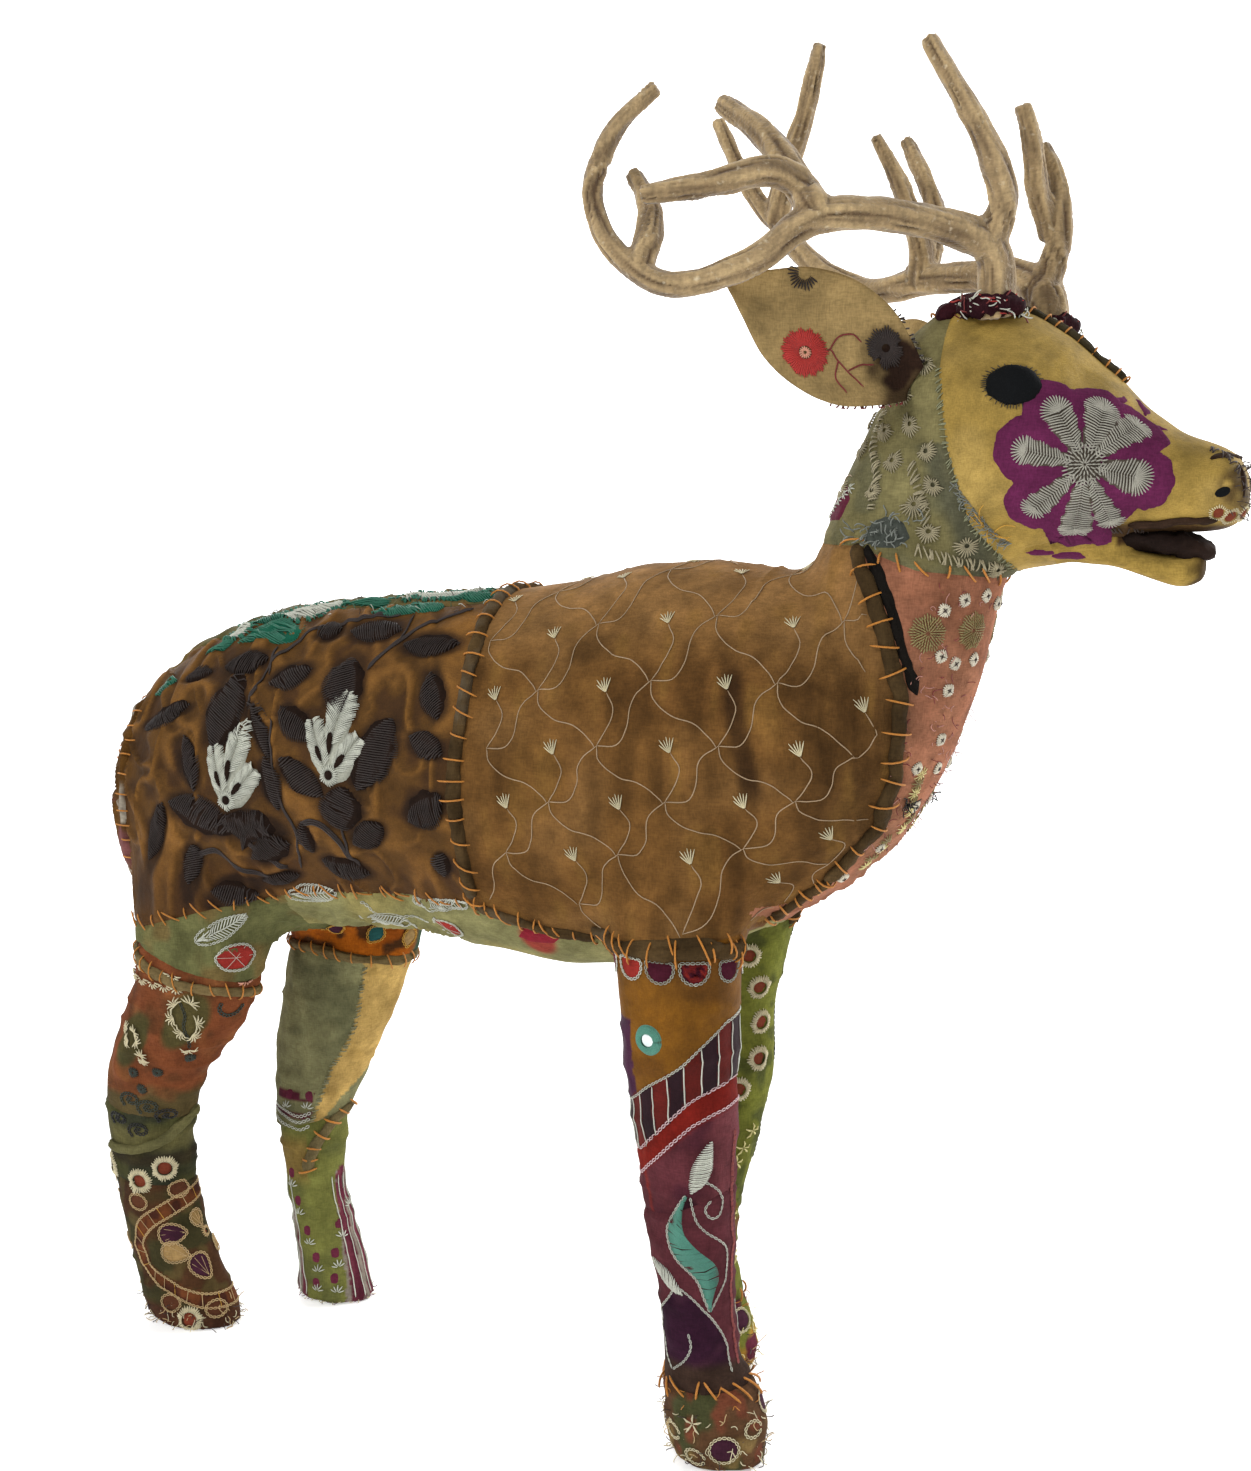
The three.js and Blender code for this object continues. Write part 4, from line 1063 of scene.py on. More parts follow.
def area_light(name, at, target, size, power, rgb=(1, 1, 1)):
    data = bpy.data.lights.new(name, "AREA")
    data.shape = "DISK"
    data.size = size
    data.energy = power
    data.color = rgb
    obj = bpy.data.objects.new(name, data)
    bpy.context.scene.collection.objects.link(obj)
    obj.location = at
    obj.rotation_euler = (Vector(target) - Vector(at)).to_track_quat("-Z", "Y").to_euler()
    return obj


CAMERA_AT = (467.6, -846.3, 480.0)  # maker's millimetres
CAMERA_HEADING = 24.0  # degrees from +Y towards -X
CAMERA_DIP = 6.2273
LENS = 41.6


def build_stage():
    size = 30  # metres from the middle to the floor's edge
    floor = new_object(
        "studio_floor", [(-size, -size, 0), (size, -size, 0), (size, size, 0), (-size, size, 0)],
        [(0, 1, 2, 3)],
        glowing("floor_white", 0.42), body=None,
    )
    world = bpy.data.worlds.new("studio")
    bpy.context.scene.world = world
    world.use_nodes = True
    world.node_tree.nodes["Background"].inputs[0].default_value = (1, 1, 1, 1)
    world.node_tree.nodes["Background"].inputs[1].default_value = 0.62
    wide, tall, behind, shift = 9, 8, 3.4, -1.5
    backdrop = new_object(
        "studio_backdrop",
        [(shift + way * wide, behind, z) for way, z in ((-1, 0), (1, 0), (1, tall), (-1, tall))],
        [(3, 2, 1, 0)], glowing("backdrop_white", 1.25), body=None,
    )
    middle = (0, 0, 0.35)
    area_light("key", (-0.7, -1.9, 1.9), middle, 0.9, 30)
    area_light("back_left", (-1.4, 1.7, 1.3), middle, 1.2, 30)
    area_light("back_right", (1.5, 1.3, 1.4), middle, 1.0, 26)
    data = bpy.data.cameras.new("camera")
    camera = bpy.data.objects.new("camera", data)
    bpy.context.scene.collection.objects.link(camera)
    bpy.context.scene.camera = camera
    data.lens = LENS
    data.sensor_width = 36
    heading, dip = math.radians(CAMERA_HEADING), math.radians(CAMERA_DIP)
    look = Vector((-math.sin(heading) * math.cos(dip), math.cos(heading) * math.cos(dip), -math.sin(dip)))
    camera.location = place(CAMERA_AT)
    camera.rotation_euler = look.to_track_quat("-Z", "Y").to_euler()
    bpy.context.scene.view_settings.view_transform = "Standard"


# ---- Sewing ----
class Spot:
    """A place on the cloth with its own flat axes, as someone looking at it sees them: ex right, ey up."""

    def __init__(self, surface, point, up, turn=0.0, snap=True):
        self.surface = surface
        self.o, self.n = surface.near(point) if snap else (np.asarray(point, float), None)
        up = np.asarray(up, float)
        ey = up - (up @ self.n) * self.n
        ey /= np.linalg.norm(ey)
        ex = np.cross(ey, self.n)
        a = math.radians(turn)
        self.ex = math.cos(a) * ex + math.sin(a) * ey
        self.ey = math.cos(a) * ey - math.sin(a) * ex

    def at(self, uv, lift=0.0):
        """Points on the cloth for flat points (mm) round this place, with the cloth's facing there."""
        uv = np.atleast_2d(np.asarray(uv, float))
        flat = self.o + uv[:, :1] * self.ex + uv[:, 1:2] * self.ey
        return self.surface.laid(flat, lift)


class Sewing:
    """Collects stitches and sewn-on patches, and makes one mesh of each piece and colour."""

    def __init__(self):
        self.tubes = {}
        self.sheets = {}

    def stitch(self, piece, colour, points, facing, radius=0.4, sides=4):
        tube = (np.asarray(points), np.asarray(facing), radius, sides)
        self.tubes.setdefault((piece, colour), []).append(tube)

    def line(self, piece, colour, points, surface, radius=0.35, lift=0.2, wobble=0.0):
        at, facing = surface.laid(points, lift)
        if wobble:
            at = at + wobble * np.stack([smooth_noise(at + k * 40, 5, 60 + k) for k in range(3)], 1)
        self.stitch(piece, colour, at, facing, radius)

    def chain(self, piece, colour, points, surface, link=3.2, width=0.8, radius=0.3, lift=0.35):
        """Chain stitch: a row of little loops."""
        knots = resample(points, link)
        at, facing = surface.laid(knots, lift)
        for a, b, n in zip(at, at[1:], facing):
            d = b - a
            side = np.cross(d, n)
            side = side / max(np.linalg.norm(side), 1e-6) * width
            loop = [a, a + 0.3 * d + side, a + 0.75 * d + side, b, a + 0.75 * d - side, a + 0.3 * d - side, a]
            self.stitch(piece, colour, loop, [n] * 7, radius)

    def satin(self, piece, colour, spot, outline, angle=0.0, gap=0.8, radius=0.45, dome=0.8, lift=0.25,
              ragged=0.4):
        """Close parallel stitches that fill an outline, higher in the middle."""
        flat = turned(outline, angle)
        low, high = flat[:, 1].min(), flat[:, 1].max()
        loop = np.vstack([flat, flat[:1]])
        rows = []
        for k, level in enumerate(np.arange(low + gap / 2, high, gap)):
            a, b = loop[:-1], loop[1:]
            hit = (a[:, 1] <= level) != (b[:, 1] <= level)
            t = (level - a[hit, 1]) / (b[hit, 1] - a[hit, 1])
            xs = np.sort(a[hit, 0] + t * (b[hit, 0] - a[hit, 0]))
            for x0, x1 in zip(xs[::2], xs[1::2]):
                if x1 - x0 < 0.5:
                    continue
                r = np.array([math.sin(12.9898 * (k + x0)), math.sin(78.233 * (k + x1))]) * ragged
                x0, x1 = x0 - abs(r[0]), x1 + abs(r[1])
                rows.append((x0, x1, level))
        for x0, x1, level in rows:
            span = x1 - x0
            u = np.array([0, 0.18, 0.5, 0.82, 1.0]) if span > 7 else np.array([0, 0.3, 0.7, 1.0])
            pts = turned(np.stack([x0 + u * span, np.full(len(u), level)], 1), -angle)
            rise = dome * min(1, span / 7) * np.sin(math.pi * np.clip(u, 0.02, 0.98)) ** 0.6
            rise = rise * (1 + 0.16 * math.sin(level * 9.7 + x0))
            at, facing = spot.at(pts, lift * (u > 0) * (u < 1) + rise)
            self.stitch(piece, colour, at, facing, radius)

    def _arc(self, piece, colour, spot, a, b, radius, dome):
        u = np.array([0, 0.35, 0.75, 1.0])
        pts = a + u[:, None] * (b - a)
        at, facing = spot.at(pts, 0.2 + dome * np.array([0.9, 1.0, 0.6, 0.0]))
        self.stitch(piece, colour, at, facing, radius)

    def rays(self, piece, colour, spot, angles, inner, outer, radius=0.35, dome=0.6, centre=(0, 0)):
        """Straight stitches out from a centre."""
        for k, a in enumerate(angles):
            r = math.radians(a)
            way = toward(r)
            reach = outer * (1 + 0.08 * math.sin(7.7 * k))
            middle = np.asarray(centre)
            self._arc(piece, colour, spot, middle + way * inner, middle + way * reach, radius, dome)

    def ring(self, piece, colour, spot, r0, r1, radius=0.4, dome=0.9, centre=(0, 0), gap=0.85):
        """A padded eyelet: stitches across the rim of a ring."""
        count = max(10, int(2 * math.pi * (r0 + r1) / 2 / gap))
        self.rays(piece, colour, spot, np.linspace(0, 360, count, endpoint=False), r0, r1, radius, dome,
                  centre)

    def fan(self, piece, colour, spot, length=9.5, spread=33, count=6, radius=0.31):
        for k in range(count):
            a = math.radians(90 + spread * (2 * k / (count - 1) - 1))
            way = toward(a)
            self._arc(piece, colour, spot, way * 0.6, way * length * (0.85 + 0.15 * math.sin(3.3 * k)),
                      radius, 0.5)

    def leaf(self, piece, colour, spot, length, width, gap=0.85, radius=0.45, dome=0.9, angle=62, bend=0.0):
        """A pointed leaf filled with slanting satin stitches; it lies along ey, its root at the origin."""
        t = np.linspace(0, 1, 13)
        half = width / 2 * np.sin(math.pi * t) ** 0.8
        mid = bend * np.sin(math.pi * t)
        outline = np.vstack(
            [np.stack([mid + half, t * length], 1), np.stack([mid - half, t * length], 1)[::-1]])
        self.satin(piece, colour, spot, outline, angle - 90, gap, radius, dome)

    def whip(self, piece, colour, points, surface, step=11.0, reach=6.0, height=3.0, radius=0.5, slant=0.25,
             jitter=0.25):
        """Whipstitches: strong thread laid over a seam or a rolled binding."""
        knots = resample(points, step)
        at, facing = surface.laid(knots)
        way = np.gradient(at, axis=0)
        way /= np.maximum(np.linalg.norm(way, axis=1, keepdims=True), 1e-6)
        for k, (p, n, t) in enumerate(zip(at, facing, way)):
            side = np.cross(t, n)
            side /= max(np.linalg.norm(side), 1e-6)
            lean = slant + jitter * math.sin(37.7 * k + p[0])
            across = side + lean * t
            r = reach * (1 + 0.22 * math.sin(12.3 * k + p[2]))
            p = p + t * 1.6 * math.sin(5.1 * k)
            u = np.array([-1.0, -0.82, -0.45, 0.0, 0.45, 0.82, 1.0])
            up = height * np.array([-0.1, 0.38, 0.92, 1.08, 0.92, 0.38, -0.1])
            pts = p + across * (u * r)[:, None] + n * up[:, None]
            self.stitch(piece, colour, pts, [n] * len(u), radius, 5)

    def loose(self, piece, colour, start, way, length, radius=0.22, seed=0, curl=0.5):
        """A loose thread end, curling as it goes."""
        rng = np.random.default_rng(seed)
        p, d = np.asarray(start, float), np.asarray(way, float)
        d = d / np.linalg.norm(d)
        pts = [p]
        swing = rng.normal(size=3) * curl
        for _ in range(9):
            swing = swing * 0.7 + rng.normal(size=3) * curl * 0.6
            d = d + swing * 0.35
            d = d / np.linalg.norm(d)
            pts.append(pts[-1] + d * length / 9)
            pts[-1][2] = max(pts[-1][2], FOOT_CENTRE[2] + 0.4)
        self.stitch(piece, colour, pts, [np.array([0.3, -0.9, 0.2])] * len(pts), radius)

    def patch(self, piece, colour, spot, outline, lift=0.5, step=2.2, edge=1.2, sink=0.35):
        """A flat patch laid on the cloth, with its rim turned down."""
        rim = resample(np.vstack([outline, outline[:1]]), step)[:-1]
        low, high = rim.min(0), rim.max(0)
        gx, gy = np.meshgrid(np.arange(low[0], high[0], step), np.arange(low[1], high[1], step))
        grid = np.stack([gx.ravel(), gy.ravel()], 1)
        grid = grid[inside(grid, rim)]
        dist = rim_distance(grid, rim)
        grid, dist = grid[dist > step * 0.45], dist[dist > step * 0.45]
        flat = np.vstack([rim, grid])
        lifts = np.concatenate([np.full(len(rim), -sink), lift * smoothstep(0, edge, dist)])
        loops = [(i, (i + 1) % len(rim)) for i in range(len(rim))]
        made = delaunay_2d_cdt([Vector(p) for p in flat], loops, [], 1, 1e-5)
        verts2, faces = np.array([tuple(v) for v in made[0]]), made[2]
        if len(verts2) != len(flat):
            near = nearest_index(verts2, flat)
            lifts = lifts[near]
        at, _ = spot.at(verts2, lifts)
        self.sheets.setdefault((piece, colour), []).append((at, [tuple(f) for f in faces]))

    def finish(self, threads, cloths, slots):
        total = 0
        for (piece, colour), tubes in self.tubes.items():
            verts, faces = [], []
            base = 0
            for points, facing, radius, sides in tubes:
                v, f = tube_mesh(points, facing, radius, sides)
                verts.append(v)
                faces.append(f + base)
                base += len(v)
            name = f"{piece}_{colour}_thread"
            obj = array_object(name, np.vstack(verts), np.vstack(faces), threads[colour])
            total += len(obj.data.polygons)
        for (piece, colour), parts in self.sheets.items():
            verts, faces = join_lofts(parts)
            obj = new_object(f"{piece}_{colour}_patch", place(verts), faces, cloths[colour])
        print("STITCHES", len(self.tubes), "meshes", total, "quads", flush=True)


def inside(points, loop):
    out = np.zeros(len(points), bool)
    a, b = loop, np.roll(loop, -1, axis=0)
    for (x0, y0), (x1, y1) in zip(a, b):
        cross = (y0 > points[:, 1]) != (y1 > points[:, 1])
        if y1 != y0:
            out ^= cross & (points[:, 0] < (x1 - x0) * (points[:, 1] - y0) / (y1 - y0) + x0)
    return out


def rim_distance(points, loop):
    best = np.full(len(points), 1e9)
    for a, b in zip(loop, np.roll(loop, -1, axis=0)):
        d = b - a
        t = np.clip(((points - a) @ d) / max(d @ d, 1e-9), 0, 1)
        best = np.minimum(best, np.linalg.norm(points - (a + t[:, None] * d), axis=1))
    return best


def tube_mesh(points, facing, radius, sides):
    p = np.asarray(points, float)
    way = np.gradient(p, axis=0)
    way /= np.maximum(np.linalg.norm(way, axis=1, keepdims=True), 1e-9)
    side = np.cross(way, facing)
    side /= np.maximum(np.linalg.norm(side, axis=1, keepdims=True), 1e-9)
    up = np.cross(side, way)
    r = np.full(len(p), radius)
    r[0] *= 0.4
    r[-1] *= 0.4
    t = full_turn(sides)
    ring = p[:, None] + r[:, None, None] * (
        np.cos(t)[None, :, None] * side[:, None] + np.sin(t)[None, :, None] * up[:, None])
    i = np.arange(len(p) - 1)[:, None] * sides
    k = np.arange(sides)[None]
    k2 = (k + 1) % sides
    faces = np.stack([i + k, i + k2, i + k2 + sides, i + k + sides], axis=2).reshape(-1, 4)
    return ring.reshape(-1, 3), faces


def array_object(name, verts, quads, material):
    mesh = bpy.data.meshes.new(name)
    mesh.vertices.add(len(verts))
    mesh.vertices.foreach_set("co", place(verts).astype(np.float32).ravel())
    mesh.loops.add(quads.size)
    mesh.loops.foreach_set("vertex_index", quads.astype(np.int32).ravel())
    mesh.polygons.add(len(quads))
    mesh.polygons.foreach_set("loop_start", np.arange(0, quads.size, 4, dtype=np.int32))
    mesh.update(calc_edges=True)
    mesh.validate()
    mesh.shade_smooth()
    mesh.materials.append(material)
    obj = bpy.data.objects.new(name, mesh)
    bpy.context.scene.collection.objects.link(obj)
    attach(obj, "root")
    return obj


# ---- Bindings ----
def binding(name, points, surface, radius=4.0, material=None, nodes=(), lift=0.25, flat=0.8):
    """A strip of cloth rolled and laid along a line, with its creases."""
    line = curve(points, 1.6)
    at, facing = surface.laid(line)
    for _ in range(4):
        facing[1:-1] = (facing[:-2] + 2 * facing[1:-1] + facing[2:]) / 4
        at[1:-1] = (at[:-2] + 2 * at[1:-1] + at[2:]) / 4
    facing /= np.linalg.norm(facing, axis=1, keepdims=True)
    way = np.gradient(at, axis=0)
    way /= np.linalg.norm(way, axis=1, keepdims=True)
    side = np.cross(way, facing)
    ends = np.minimum(np.arange(len(at)), np.arange(len(at))[::-1]) / 3
    r = radius * np.sqrt(np.clip(ends + 0.12, 0, 1))
    verts, faces = loft_mesh(at + facing * radius * lift, side * r[:, None], facing * (r * flat)[:, None], 18)
    centre = np.repeat(at, 18, axis=0)
    away = verts - centre
    away /= np.linalg.norm(away, axis=1, keepdims=True)
    run = np.repeat(np.arange(len(at)) * 1.6, 18)
    turn = np.tile(full_turn(18), len(at))
    q = np.stack([np.cos(turn) * 5, np.sin(turn) * 5, run * 0.35], 1)
    verts = verts + away * (0.9 * smooth_noise(q, 2.6, 71) + 0.5 * smooth_noise(verts, 3, 72))[:, None]
    obj = new_object(name, place(verts), faces, material, nodes=nodes)
    return obj


# ---- Embroidery designs ----
SEW = Sewing()
# Rump appliqué leaves: centre x, s, length, width, lean in degrees.
# A lean of 0 points up the flank, 90 towards the nose.
RUMP_LEAVES = [
    (-120, 75, 30, 16, 80), (-85, 65, 28, 14, 70), (-70, 95, 16, 14, 70), (-40, 95, 34, 16, 90),
    (0, 85, 36, 14, 90),
    (-48, 60, 36, 24, 5), (-125, 40, 46, 26, 10), (-150, 5, 36, 15, -25), (-140, -30, 50, 20, 105),
    (-105, -35, 42, 20, 100), (-90, -5, 32, 13, -15), (-75, 35, 28, 16, -50), (-70, 0, 34, 15, -55),
    (-25, 18, 46, 25, 30), (-45, -20, 26, 26, 0), (-30, -35, 25, 16, 60), (8, -15, 28, 20, 55),
    (10, 55, 28, 15, -20),
    (8, 25, 24, 15, 110), (-50, -60, 30, 14, 105), (-70, -40, 20, 9, -10), (-150, -60, 26, 13, 10),
    (-125, -75, 28, 14, 90), (-95, -50, 30, 15, 70), (-175, -45, 40, 13, 20), (-175, 40, 44, 12, 75),
    (-155, 70, 22, 9, 80), (-95, -70, 26, 9, 80), (-100, 30, 40, 10, -30), (15, -50, 16, 11, 10),
]
RUMP_STEMS = [
    [(15, 110), (5, 105), (-15, 92), (-35, 70)], [(-80, 97), (-100, 75), (-105, 58), (-110, 46)],
    [(-102, 85), (-100, 67)],
    [(-47, -27), (-47, -37), (-43, -52)], [(-72, -30), (-62, -28), (-52, -38), (-40, -58)],
    [(-150, -58), (-133, -52), (-120, -60), (-100, -70)], [(-20, 105), (-20, 88)],
    [(-122, -30), (-105, -50), (-88, -62)],
    [(-90, 35), (-85, -10), (-76, -38), (-80, -62)], [(-30, 108), (-60, 102), (-80, 97)],
]
# White flowers on the rump: x, s, size and lean.
# Their outline and slits are round the eyelet, in millimetres.
RUMP_FLOWERS = [(-120, -18, 0.98, 6), (-52, 3, 1.0, 0)]
FLOWER_RIM = [
    (9, 48), (3, 42), (-4, 33), (-5, 28), (-9, 31), (-13, 29), (-15, 22), (-15, 15), (-12, 7), (-7, 0),
    (-3, -5), (0, -7),
    (5, -5), (11, -3), (16, 3), (20, 10), (23, 18), (21, 22), (15, 23), (11, 23), (13, 30), (12, 40),
]
FLOWER_LOBES = [((1, 17), (9, 49), 17, 0.9), ((-3, 5), (-12.5, 31), 14, 0.45), ((4, 3), (19, 21.5), 15, 0.4)]
FLOWER_SLITS = [((0.4, 17), 4.2, 13, 0), ((-6, 11), 3.4, 10, 24), ((6.5, 7.5), 4.4, 10, -38)]
SLIT = [(0, -0.5), (0.35, -0.2), (0.5, 0.15), (0.25, 0.5), (-0.25, 0.5), (-0.5, 0.15), (-0.35, -0.2)]
# The vines on the side panel repeat like a printed cloth: the first crossing, then the two steps
# between crossings.
VINE_START, VINE_ALONG, VINE_DOWN = np.array([137, 62]), np.array([37, -29]), np.array([-27, -33])
VINE_NODES = [tuple(VINE_START + i * VINE_ALONG + j * VINE_DOWN) for i in range(-5, 6) for j in range(-5, 6)]
VINE_NODES = [(x, s) for x, s in VINE_NODES if 20 < x < 245 and -95 < s < 130]


def sew_flank(surface, side):
    tag = SIDE_NAMES[side]
    own = {"vine": f"vines_{tag}", "fan": f"fan_flowers_{tag}", "leaf": f"rump_leaves_{tag}"}
    for k, (x, s) in enumerate(VINE_NODES):
        if side == LEFT:
            x, s = x + 6, s - 7
        for path in (
            [(x, s), (x + 5, s + 9), (x + 8, s + 19), (x + 3, s + 27)],
            [(x, s), (x + 11, s + 1), (x + 16, s + 10), (x + 18, s + 24), (x + 27, s + 33)],
            [(x, s), (x + 2, s - 8), (x + 12, s - 16), (x + 24, s - 19), (x + 33, s - 26), (x + 36, s - 30)],
        ):
            path = [p for p in path if WAIST_X + 6 < p[0] < 250]
            if len(path) < 3:
                continue
            line = surface.flank_line(path, side, 2.2)
            z_low = height_of(BELLY_SEAM, line[:, 0]) + 3
            collar = np.interp(line[:, 2], [p[1] for p in COLLAR_SEAM], [p[0] for p in COLLAR_SEAM]) - 5
            line = line[(line[:, 2] > z_low) & (line[:, 0] < collar)]
            if len(line) > 3:
                SEW.line(own["vine"], "vinecream", line, surface, 0.29, 0.25, 0.3)
        tip, _ = surface.flank(x + 3, s + 27, side)
        if tip is not None and tip[0] < np.interp(tip[2], [p[1] for p in COLLAR_SEAM],
                                                  [p[0] for p in COLLAR_SEAM]) - 7 \
                and WAIST_X + 8 < tip[0] and tip[2] > height_of(BELLY_SEAM, tip[0]) + 6:
            SEW.fan(own["fan"], "cream", surface.flank_spot(x + 3, s + 27, side, -24 * side))
    for k, (x, s, length, width, lean) in enumerate(RUMP_LEAVES):
        spin = -lean * (1 if side == RIGHT else -1)
        spot = surface.flank_spot(x, s, side, spin)
        root = Spot(surface, spot.o - spot.ey * length / 2, spot.ey)
        along, half = np.linspace(0.02, 0.98, 14), width / 2
        rim = [(half * math.sin(math.pi * t) ** 0.6 * (1 + 0.10 * math.sin(21 * t + k)), t * length)
               for t in along]
        rim += [(-half * math.sin(math.pi * t) ** 0.6 * (1 + 0.10 * math.sin(17 * t - k)), t * length)
                for t in along[::-1]]
        SEW.patch(own["leaf"], "dark", root, np.array(rim), 1.5, 2.6, 2.0)
        SEW.leaf(own["leaf"], "dark", root, length, width, 1.3, 0.4, 1.9, 66 if k % 2 else -66,
                 2.4 * math.sin(k * 2.1))
    for path in RUMP_STEMS:
        line = surface.flank_line(path, side)
        for shift in (-1.3, 0, 1.3):
            SEW.line(own["leaf"], "dark", line + [0, 0, shift], surface, 0.6, 0.5, 0.2)
    for x, s, size, lean in RUMP_FLOWERS:
        sew_white_flower(surface.flank_spot(x, s, side, lean * side), f"white_flowers_{tag}", size, -side)


def feather(piece, colour, spot, base, tip, width, gap=1.0, radius=0.36, blunt=0.5, lift=1.5):
    """A lobe of slanting stitches, like the barbs of a feather, from base to tip."""
    base, tip = np.asarray(base, float), np.asarray(tip, float)
    length = np.linalg.norm(tip - base)
    d = (tip - base) / length
    across = np.array([-d[1], d[0]])
    for k, t in enumerate(np.arange(0, 0.97, gap / length)):
        w = width / 2 * max(0.3, math.sin(math.pi * min(0.96, 0.2 + 0.78 * t))) ** blunt
        for sign in (-1, 1):
            wob = 0.7 * math.sin(5.3 * k + sign)
            a = base + d * t * length + across * sign * 0.3
            b = base + d * min(length, t * length + w * 0.75 + wob) + across * sign * (w + 0.4 * wob)
            u = np.array([0, 0.3, 0.7, 1.0])
            at, facing = spot.at(a + u[:, None] * (b - a), lift + 0.6 * np.array([0.8, 1.0, 0.7, -1.6]))
            SEW.stitch(piece, colour, at, facing, radius)


def sew_white_flower(spot, piece, size, mirror):
    """A three-lobed flower of feathered lobes, with its eyelet and three dark slits."""
    rim = np.array(FLOWER_RIM, float) * size * [mirror, 1]
    SEW.patch(piece, "whitecloth", spot, rim * 0.95, 1.2, 1.8)
    for base, tip, width, blunt in FLOWER_LOBES:
        feather(piece, "white", spot, np.array(base) * size * [mirror, 1],
                np.array(tip) * size * [mirror, 1], width * size, 1.15, 0.38, blunt)
    SEW.ring(piece, "white", spot, 2.6, 6.4, 0.42, 2.0, gap=1.1)
    SEW.patch(piece, "dark", spot, circle(2.7 * size, 14, 1.15), 2.9, 1.2, 0.6, -1.6)
    for at, w, h, lean in FLOWER_SLITS:
        slit = turned(np.array(SLIT) * [w, h], lean * mirror, 1, np.array(at) * size * [mirror, 1])
        SEW.patch(piece, "dark", spot, slit, 3.3, 1.2, 0.5, -2.0)


# Satin shapes along the back, as outlines of x, s; 141 is the ridge of the back.
BACK_JADE = [
    [(-136, 91), (-128, 101), (-112, 109), (-97, 103), (-89, 97), (-93, 89), (-104, 88), (-116, 91)],
    [(-52, 110), (-38, 118), (-18, 120), (-6, 116), (-12, 106), (-26, 108), (-39, 105)],
    [(-74, 119), (-60, 125), (-44, 122), (-52, 116)], [(-16, 123), (4, 127), (22, 124), (14, 117), (0, 119)],
    [(-196, 66), (-186, 74), (-174, 72), (-182, 64)], [(-160, 90), (-150, 98), (-138, 96), (-146, 88)],
    [(-134, 108), (-118, 118), (-104, 116), (-118, 108)],
]
BACK_WHITE = [
    [(-116, 112), (-104, 122), (-86, 126), (-74, 121), (-84, 112), (-99, 107)],
    [(-46, 124), (-30, 131), (-6, 133), (14, 130), (4, 124), (-20, 123)],
    [(-152, 102), (-140, 110), (-128, 107), (-138, 99)],
]


def sew_back(surface):
    """Jade and white satin shapes that lie along the back, and the loose hairs of their edges."""
    for side in (RIGHT, LEFT):
        piece = "back_satin_" + SIDE_NAMES[side]
        for colour, shapes in (("jade", BACK_JADE), ("white", BACK_WHITE)):
            for k, shape in enumerate(shapes):
                shape = curve(np.array(shape + shape[:1], float), 3.0)[:-1]
                middle = shape.mean(0)
                spot = surface.flank_spot(middle[0], middle[1], side)
                outline = (shape - middle) * [1 if side == RIGHT else -1, 1]
                SEW.patch(piece, "jadecloth" if colour == "jade" else "whitecloth", spot, outline, 1.2, 2.6,
                          1.6)
                SEW.satin(piece, colour, spot, outline, 20 + 25 * math.sin(k * 2.3), 1.15, 0.5, 1.6)
                if colour == "white":
                    ring = spot.at(np.vstack([outline, outline[:1]]) * 1.06)[0]
                    SEW.whip(piece, "jade", ring, surface, 1.2, 2.4, 1.5, 0.5, 0.5)
        for k in range(60):
            start, n = surface.flank(-150 + 2.9 * k, 122 + 14 * math.sin(k * 2.7), side)
            if start is not None:
                SEW.loose(piece, ("jade", "white", "darkbrown")[k % 3], start, n + [math.sin(k), 0, 0.2],
                          4 + k % 3, 0.2, 1200 + k, 0.8)


def fern(surface, piece, colour, a, b, width=9):
    """A feathery leaf from a to b (points on or near the cloth)."""
    a, b = np.asarray(a, float), np.asarray(b, float)
    d = b - a
    spot = Spot(surface, (a + b) / 2, d)
    length = np.linalg.norm(d)
    SEW.line(piece, colour,
             spot.at(np.stack([np.zeros(12), np.linspace(-length / 2, length / 2, 12)], 1))[0], surface, 0.4)
    for t in np.arange(-length / 2, length / 2 - 2, 2.0):
        w = width * 0.5 * math.cos(math.pi * t / (length * 1.15))
        for sign in (-1, 1):
            SEW._arc(piece, colour, spot, np.array([0, t]), np.array([sign * w, t + 4]), 0.36, 0.4)
    rim = [(width * 0.55 * math.cos(a), length * 0.54 * math.sin(a)) for a in np.linspace(0, 2 * math.pi, 26)]
    SEW.chain(piece, colour, spot.at(rim)[0], surface, 2.6, 0.5, 0.26)


def red_flower(surface, piece, at, size, up=(0, 0, 1)):
    spot = Spot(surface, at, up)
    rim = [(size * (1 + 0.03 * math.cos(6 * a)) * math.cos(a),
            size * 0.72 * (1 + 0.03 * math.cos(6 * a)) * math.sin(a))
           for a in full_turn(30)]
    SEW.patch(piece, "red", spot, rim, 0.5)
    SEW.chain(piece, "white", spot.at(rim + rim[:1])[0], surface, 2.6, 0.5, 0.3, 0.7)
    for a in np.linspace(0, 2 * math.pi, 7)[:-1]:
        SEW.line(piece, "white", spot.at([(0, 0), (size * 0.9 * math.cos(a), size * 0.65 * math.sin(a))])[0],
                 surface, 0.35, 0.8)


